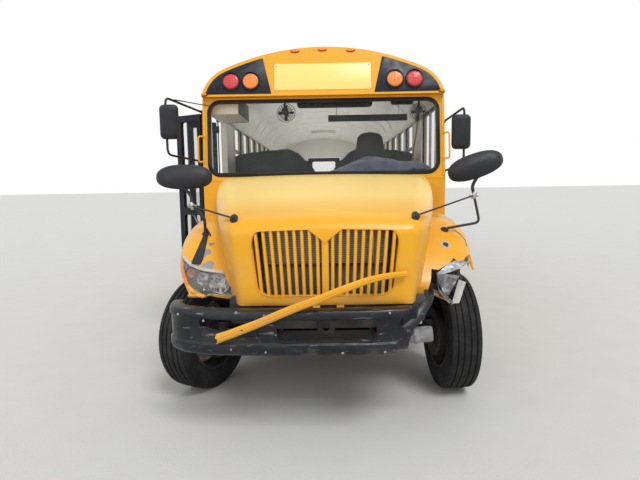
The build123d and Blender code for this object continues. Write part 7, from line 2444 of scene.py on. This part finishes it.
# A loose cloth thrown over the dash and the top of the steering wheel
cloth = {
    "low": 0.030, "high": 1.125, "frontY": -3.655, "backY": -3.290, "across": 72, "along": 30,
    # distance across, height of the ridge there, and the ridge's place along the bus
    "ridge": ((0.03, 1.790, -3.52), (0.12, 1.835, -3.50), (0.30, 1.905, -3.46), (0.45, 1.960, -3.43),
              (0.57, 1.967, -3.425), (0.68, 1.948, -3.43), (0.80, 1.915, -3.46), (0.95, 1.905, -3.49),
              (1.05, 1.885, -3.50), (1.125, 1.845, -3.51)),
}
rows = []
for c in range(cloth["across"] + 1):
    x = lerp(cloth["low"], cloth["high"], c / cloth["across"])
    _, ridgeZ, ridgeY = readTable(cloth["ridge"], x)
    hump = 0.068 if 0.25 < x < 0.89 else 0.068 * max(0, 1 - min(abs(x - 0.25), abs(x - 0.89)) / 0.06)
    row = []
    for k in range(cloth["along"] + 1):
        y = lerp(cloth["frontY"], cloth["backY"] + 0.02 * noise.noise(Vector((x * 4, 0, 3))),
                 k / cloth["along"])
        away = (y - ridgeY) / (0.235 if y < ridgeY else 0.20)
        ground = 1.764 + hump * min(1, max(0, (y + 3.66) / 0.10))
        z = max(ground, ground + (ridgeZ - ground) * max(0, 1 - abs(away) ** 1.5) if y < ridgeY else
                ridgeZ - (ridgeZ - 1.800) * min(1, away) ** 1.6)
        wave = abs(noise.noise(Vector((x * 8 + 2, y * 10, 1.3)))) + 0.5 * abs(noise.noise(Vector((x * 19,
                                                                                                  y * 21,
                                                                                                  6.1))))
        row.append((x, y, z + 0.020 * wave))
    rows.append(row)
bm = bmesh.new()
addGrid(bm, rows, 0)
area = sum(face.calc_area() for face in bm.faces)
dashCloth = makeObject("dashCloth", bm, ["clothBlue"], turned=False)
if dashCloth.data.polygons[0].normal.z < 0:
    dashCloth.data.flip_normals()
addModifier(dashCloth, "SUBSURF", levels=1, render_levels=1)
addModifier(dashCloth, "SOLIDIFY", thickness=0.0025, offset=1)
finishPiece(dashCloth, smooth=60)

# Ceiling: inner bows, lengthwise seams, the window header trims and the heater duct
bm = bmesh.new()
for i in range(13):
    y = -3.25 + bench["pitch"] * i
    if y > 5.4 or min(abs(y + 0.880), abs(y - 3.520)) < 0.38:
        continue
    edge = roofEdge(0.0665, 0.0, 1.140, 20)
    path = [(-x, y, z) for x, z in edge][::-1] + [(x, y, z) for x, z in edge[1:]]
    addSweep(bm, path, even((-0.034, 0.001), (-0.030, -0.003), (-0.016, -0.012)), mat=0)
for x in (-0.42, 0.42):
    z = ceilingZ(x)
    addSweep(bm, [(x, -3.60, z), (x, 5.50, z)], even((-0.014, 0.002), (-0.012, -0.004)), mat=0)
for side in (-1, 1):
    header = [(side * 1.150, -2.70, 2.470), (side * 1.150, 5.50, 2.470)]
    addSweep(bm, header, even((-0.035, 0.0), (-0.035, 0.020), (-0.022, 0.032)), up=(-side, 0, 0))
    for i in range(12):   # inner window posts
        y = -2.35 + window["pitch"] * i
        addSweep(bm, [(side * 1.1525, y, 1.740), (side * 1.1525, y, 2.440)],
                 even((-0.040, 0.0), (-0.034, 0.008)), up=(-side, 0, 0))
    addSweep(bm, [(side * 1.150, -2.70, 1.715), (side * 1.150, 5.50, 1.715)],
             [(-0.030, 0.0), (-0.026, 0.014), (0.020, 0.016), (0.030, 0.0)], up=(-side, 0, 0))
    duct = [(side * 1.110, -2.30, 1.045), (side * 1.110, 5.50, 1.045)]
    addSweep(bm, duct, even((-0.052, -0.038), (-0.052, 0.030), (-0.038, 0.038)), up=(-side, 0, 0), mat=1)
finishPiece(makeObject("ceilingBows", bm, ["creamPanel", "sashMetal"]), smooth=40)

# Overhead: door operator box, ceiling bar, dome lamps, fans, inner mirror and sun visor
bm = bmesh.new()
addBlock(bm, (-1.140, -3.640, 2.415), (-0.870, -2.900, 2.610), 0, bevel=0.010)
addBlock(bm, (-0.872, -3.610, 2.425), (-0.866, -2.930, 2.600), 1, bevel=0.002)
for y in (-3.56, -3.30, -2.98):
    addBolt(bm, (-1.00, y, 2.414), (0, 0, -1), 0.008, 2)
addBlock(bm, (0.060, -2.800, 2.430), (1.000, -2.765, 2.505), 1, bevel=0.004)
for x in (0.16, 0.90):
    z = ceilingZ(x)
    addTube(bm, [(x, -2.776, 2.50), (x, -2.776, z + 0.002)], 0.005, 10, 0)
for x in (-0.42, 0.42):
    for y in (-1.94, 0.19, 2.33, 4.46):
        z = ceilingZ(x) - 0.006
        addLathe(bm, [(0, 0.001), (0, 0.075), (-0.012, 0.075), (-0.018, 0.066), (-0.038, 0.040),
                      (-0.042, 0.001)], (x, y, z), (0, 0, 1), 30, 3)
finishPiece(makeObject("overheadFittings", bm, ["creamPanel", "mouldedBlack", "zincBolt", "lampLens"]),
            smooth=35)


def makeFan(name, centre, hangFrom, radius=0.098):
    bm = bmesh.new()
    centre = Vector(centre)
    facing = Vector((0.10, 1.0, -0.18)).normalized()
    across = facing.cross(Vector((0, 0, 1))).normalized()
    upward = across.cross(facing)

    def at(angle, out, along):
        return centre + (across * math.cos(angle) + upward * math.sin(angle)) * out + facing * along

    for k in range(20):   # cage wires, front and back
        angle = 2 * math.pi * k / 20
        addTube(bm, [at(angle, r, d) for r, d in ((0.020, 0.046), (0.055, 0.042), (radius * 0.86, 0.030),
                                                  (radius, 0.008), (radius, -0.012), (radius * 0.84, -0.034),
                                                  (0.034, -0.046))], 0.0016, 5, 0)
    for out, along in ((radius + 0.001, 0.0), (0.062, 0.041), (0.062, -0.042)):
        addTube(bm, [at(2 * math.pi * k / 28, out, along) for k in range(28)], 0.0022, 6, 0, closed=True)
    addLathe(bm, [(-0.095, 0.001), (-0.095, 0.026), (-0.088, 0.034), (-0.040, 0.036), (-0.036, 0.014),
                  (0.034, 0.012), (0.050, 0.018), (0.052, 0.001)], centre, facing, 26, 0)
    for k in range(4):   # blades
        rows = []
        for s in range(6):
            out = lerp(0.016, radius * 0.86, s / 5)
            twist = lerp(0.9, 0.45, s / 5)
            rows.append([at(2 * math.pi * k / 4 + d * twist * 0.9, out, d * 0.020) + facing * h
                         for d, h in ((-0.5, 0.0), (0.0, 0.002), (0.5, 0.0), (0.5, -0.0012), (0.0, -0.0012),
                                      (-0.5, -0.0012))])
        addGrid(bm, rows, 0, closeAcross=True)
        for row in (rows[0][::-1], rows[-1]):
            addFaces(bm, row, [tuple(range(6))], 0)
    root = centre - facing * 0.070
    addTube(bm, roundPath([root, root + Vector((0, 0, 0.5)) * (Vector(hangFrom).z - root.z), Vector(hangFrom)],
                          0.03, 4), 0.010, 12, 0)
    addLathe(bm, [(-0.001, 0.001), (-0.001, 0.034), (-0.010, 0.032), (-0.014, 0.012)], hangFrom, (0, 0, 1), 24,
             0)
    finishPiece(makeObject(name, bm, ["mouldedBlack"]), smooth=45)


makeFan("fanMiddle", (-0.390, -3.480, 2.440), (-0.390, -3.550, ceilingZ(-0.39) - 0.012))
makeFan("fanCorner", (1.000, -3.480, 2.430), (1.000, -3.550, ceilingZ(1.0) - 0.010), 0.088)

bm = bmesh.new()
mirror = placement((0.122, -3.490, 2.530), (1, 0, 0), (0, 0.20, 1))
addLoft(bm, [(roundedOutline(0.790 - grow, 0.092 - grow, 0.040 - grow / 4, 6), w) for grow, w in (
    (0.022, 0.016), (0.006, 0.013), (0.0, 0.006), (0.0, -0.008),
)], mirror, 0, capEnd=False)
addLoft(bm, [(roundedOutline(0.780, 0.082, 0.036, 6), -0.004),
             (roundedOutline(0.780, 0.082, 0.036, 6), -0.006)], mirror, 1)
for x in (-0.08, 0.32):
    z = ceilingZ(x)
    addTube(bm, roundPath([(x, -3.508, 2.545), (x, -3.560, 2.600), (x, -3.560, z - 0.004)], 0.03, 4), 0.007, 10,
            0)
visor = placement((0.815, -3.560, 2.545), (1, 0, 0.0), (0, 0.35, 1))
addLoft(bm, [(roundedOutline(0.230 - grow, 0.115 - grow, 0.024 - grow / 4, 5), w) for grow, w in (
    (0.014, 0.009), (0.0, 0.004), (0.0, -0.004), (0.014, -0.009),
)], visor, 0)
addTube(bm, roundPath([(0.715, -3.545, 2.596), (0.93, -3.545, 2.596), (0.93, -3.60, 2.660)], 0.02, 4), 0.006,
        10, 0)
finishPiece(makeObject("mirrorAndVisor", bm, ["mouldedBlack", "mirrorGlass"]), smooth=40)

# Entrance: grab rail on each side of the steps, and ribbed strips on the aisle
bm = bmesh.new()
for y in (-3.560, -2.870):
    addTube(bm, roundPath([(-1.120, y, 1.00), (-1.100, y, 1.62), (-0.62, y + 0.02, 1.70),
                           (-0.56, y + 0.02, 1.62), (-0.56, y + 0.02, 0.992)], 0.07, 5), 0.0135, 14, 0)
for k in range(17):
    x = -0.148 + 0.0185 * k
    addBlock(bm, (x - 0.0045, -2.70, 0.990), (x + 0.0045, 5.50, 0.9945), 1)
for side in (-1, 1):
    addBlock(bm, (side * 0.1555 - 0.008, -2.70, 0.990), (side * 0.1555 + 0.008, 5.50, 0.9935), 2)
finishPiece(makeObject("grabRailsAndAisle", bm, ["bareSteel", "rubberFloor", "sashMetal"]),
            smooth=40)
print("inside made")


# Finishes of the CAD pieces that stay as they are

nodeFinish = {
    "seatVinyl": "barrier_left barrier_right benches_left benches_right driver_seat",
    "sideShell": "body_side_left body_side_right",
    "busYellow": "broken_bar",
    "chassisPaint": "chassis_frame fuel_tank tow_eye",
    "mouldedBlack": "crossview_left crossview_right mirror_left mirror_right steering_wheel",
    "dashVinyl": "dash",
    "trimBlack": "door_leaf_front door_leaf_rear door_hinges rear_door_hinges rub_rails_left "
        "rub_rails_right stop_arm_bracket",
    "castIron": "engine exhaust front_axle knuckle_left knuckle_right rear_axle",
    "rubberFloor": "entrance_steps floor_deck",
    "bumperBlack": "front_bumper rear_bumper",
    "wallShell": "front_cap front_wall rear_door rear_wall",
    "hoodYellow": "grille hood",
    "lampLens": "headlamp_right",
    "radiatorCore": "radiator",
    "tintedGlass": "rear_glass side_windows_left side_windows_right",
    "wheelPaint": "rim_front_left rim_front_right rims_rear_left rims_rear_right",
    "roofShell": "roof",
    "roofWhite": "roof_hatch_front roof_hatch_rear",
    "signRed": "stop_arm",
    "tyreRubber": "tyre_front_left tyre_front_right tyres_rear_left tyres_rear_right",
    "redLens": "warning_lamps_front warning_lamps_rear",
    "clearGlass": "windscreen",
}
for finishName, nodeNames in nodeFinish.items():
    for nodeName in nodeNames.split():
        if nodeName in nodes:
            nodes[nodeName].data.materials.clear()
            nodes[nodeName].data.materials.append(finishes[finishName])


# Stage, light and camera

stage = {"floorSize": 320, "floorColour": (0.55, 0.55, 0.54), "white": 1.0, "worldLight": 0.69,
         "sunLight": 1.75}


# 1 where the camera sees the sky, also in a mirror or through glass, and 0 where the sky only gives light
def makeSeenMask(tree):
    path = addNode(tree, "ShaderNodeLightPath")
    seen = path.outputs["Is Camera Ray"]
    for ray in ("Is Glossy Ray", "Is Transmission Ray"):
        seen = addNode(tree, "ShaderNodeMath", {0: seen, 1: path.outputs[ray]}, operation="MAXIMUM").outputs[0]
    return seen


world = bpy.data.worlds.new("softWorld")
bpy.context.scene.world = world
world.use_nodes = True
worldTree = world.node_tree
backdrop = worldTree.nodes["Background"]
level = addNode(
    worldTree, "ShaderNodeMapRange",
    {"Value": makeSeenMask(worldTree), "To Min": stage["worldLight"], "To Max": stage["white"]},
)
worldTree.links.new(level.outputs[0], backdrop.inputs["Strength"])
backdrop.inputs["Color"].default_value = (1, 1, 1, 1)

floorMesh = bpy.data.meshes.new("stageFloor")
reach = stage["floorSize"] / 2
floorMesh.from_pydata(
    [(-reach, -reach, 0), (reach, -reach, 0), (reach, reach, 0), (-reach, reach, 0)], [], [(0, 1, 2, 3)],
)
floor = bpy.data.objects.new("stageFloor", floorMesh)
bpy.context.scene.collection.objects.link(floor)
floorMesh.materials.append(makeFinish("floorPale", {
    "colour": stage["floorColour"], "rough": 0.9,
    "layers": (cloud(3, 0.3, 0.7, 0.12, (0.7, 0.7, 0.69)),), "bumps": (grain(50, 0.1, 0.01),),
}))

for name, energy, turn, angle in (
    ("keyLight", stage["sunLight"], (38, 0, 28), 22),
    ("fillLight", stage["sunLight"] * 0.35, (62, 0, -40), 60),
):
    lamp = bpy.data.lights.new(name, "SUN")
    lamp.energy = energy
    lamp.angle = math.radians(angle)
    lampObject = bpy.data.objects.new(name, lamp)
    lampObject.rotation_euler = [math.radians(value) for value in turn]
    bpy.context.scene.collection.objects.link(lampObject)

cabinLight = bpy.data.lights.new("cabinLight", "AREA")   # soft daylight under the ceiling
cabinLight.shape = "RECTANGLE"
cabinLight.size, cabinLight.size_y, cabinLight.energy = 1.5, 7.8, 30
cabinObject = bpy.data.objects.new("cabinLight", cabinLight)
cabinObject.location = (0, 1.5, 2.05)
cabinObject.rotation_euler = (math.radians(180), 0, 0)
cabinObject.visible_camera = False
bpy.context.scene.collection.objects.link(cabinObject)

view = {
    "place": (0, -8.760, 1.68), "yaw": math.atan(5 / 490), "pitch": math.radians(6.4),
    "roll": math.radians(0.9), "lens": 27.56,
}
ahead = Vector((
    -math.sin(view["yaw"]) * math.cos(view["pitch"]),
    math.cos(view["yaw"]) * math.cos(view["pitch"]),
    -math.sin(view["pitch"]),
))
side = ahead.cross(Vector((0, 0, 1))).normalized()
above = side.cross(ahead)
turned = math.cos(view["roll"]) * side - math.sin(view["roll"]) * above
upright = math.sin(view["roll"]) * side + math.cos(view["roll"]) * above
cameraData = bpy.data.cameras.new("camera")
cameraData.lens = view["lens"]
cameraData.sensor_width = 36
cameraData.clip_end = 200
camera = bpy.data.objects.new("camera", cameraData)
camera.matrix_world = Matrix((
    (turned.x, upright.x, -ahead.x, view["place"][0]),
    (turned.y, upright.y, -ahead.y, view["place"][1]),
    (turned.z, upright.z, -ahead.z, view["place"][2]),
    (0, 0, 0, 1),
))
bpy.context.scene.collection.objects.link(camera)
bpy.context.scene.camera = camera
bpy.context.scene.view_settings.view_transform = "Standard"
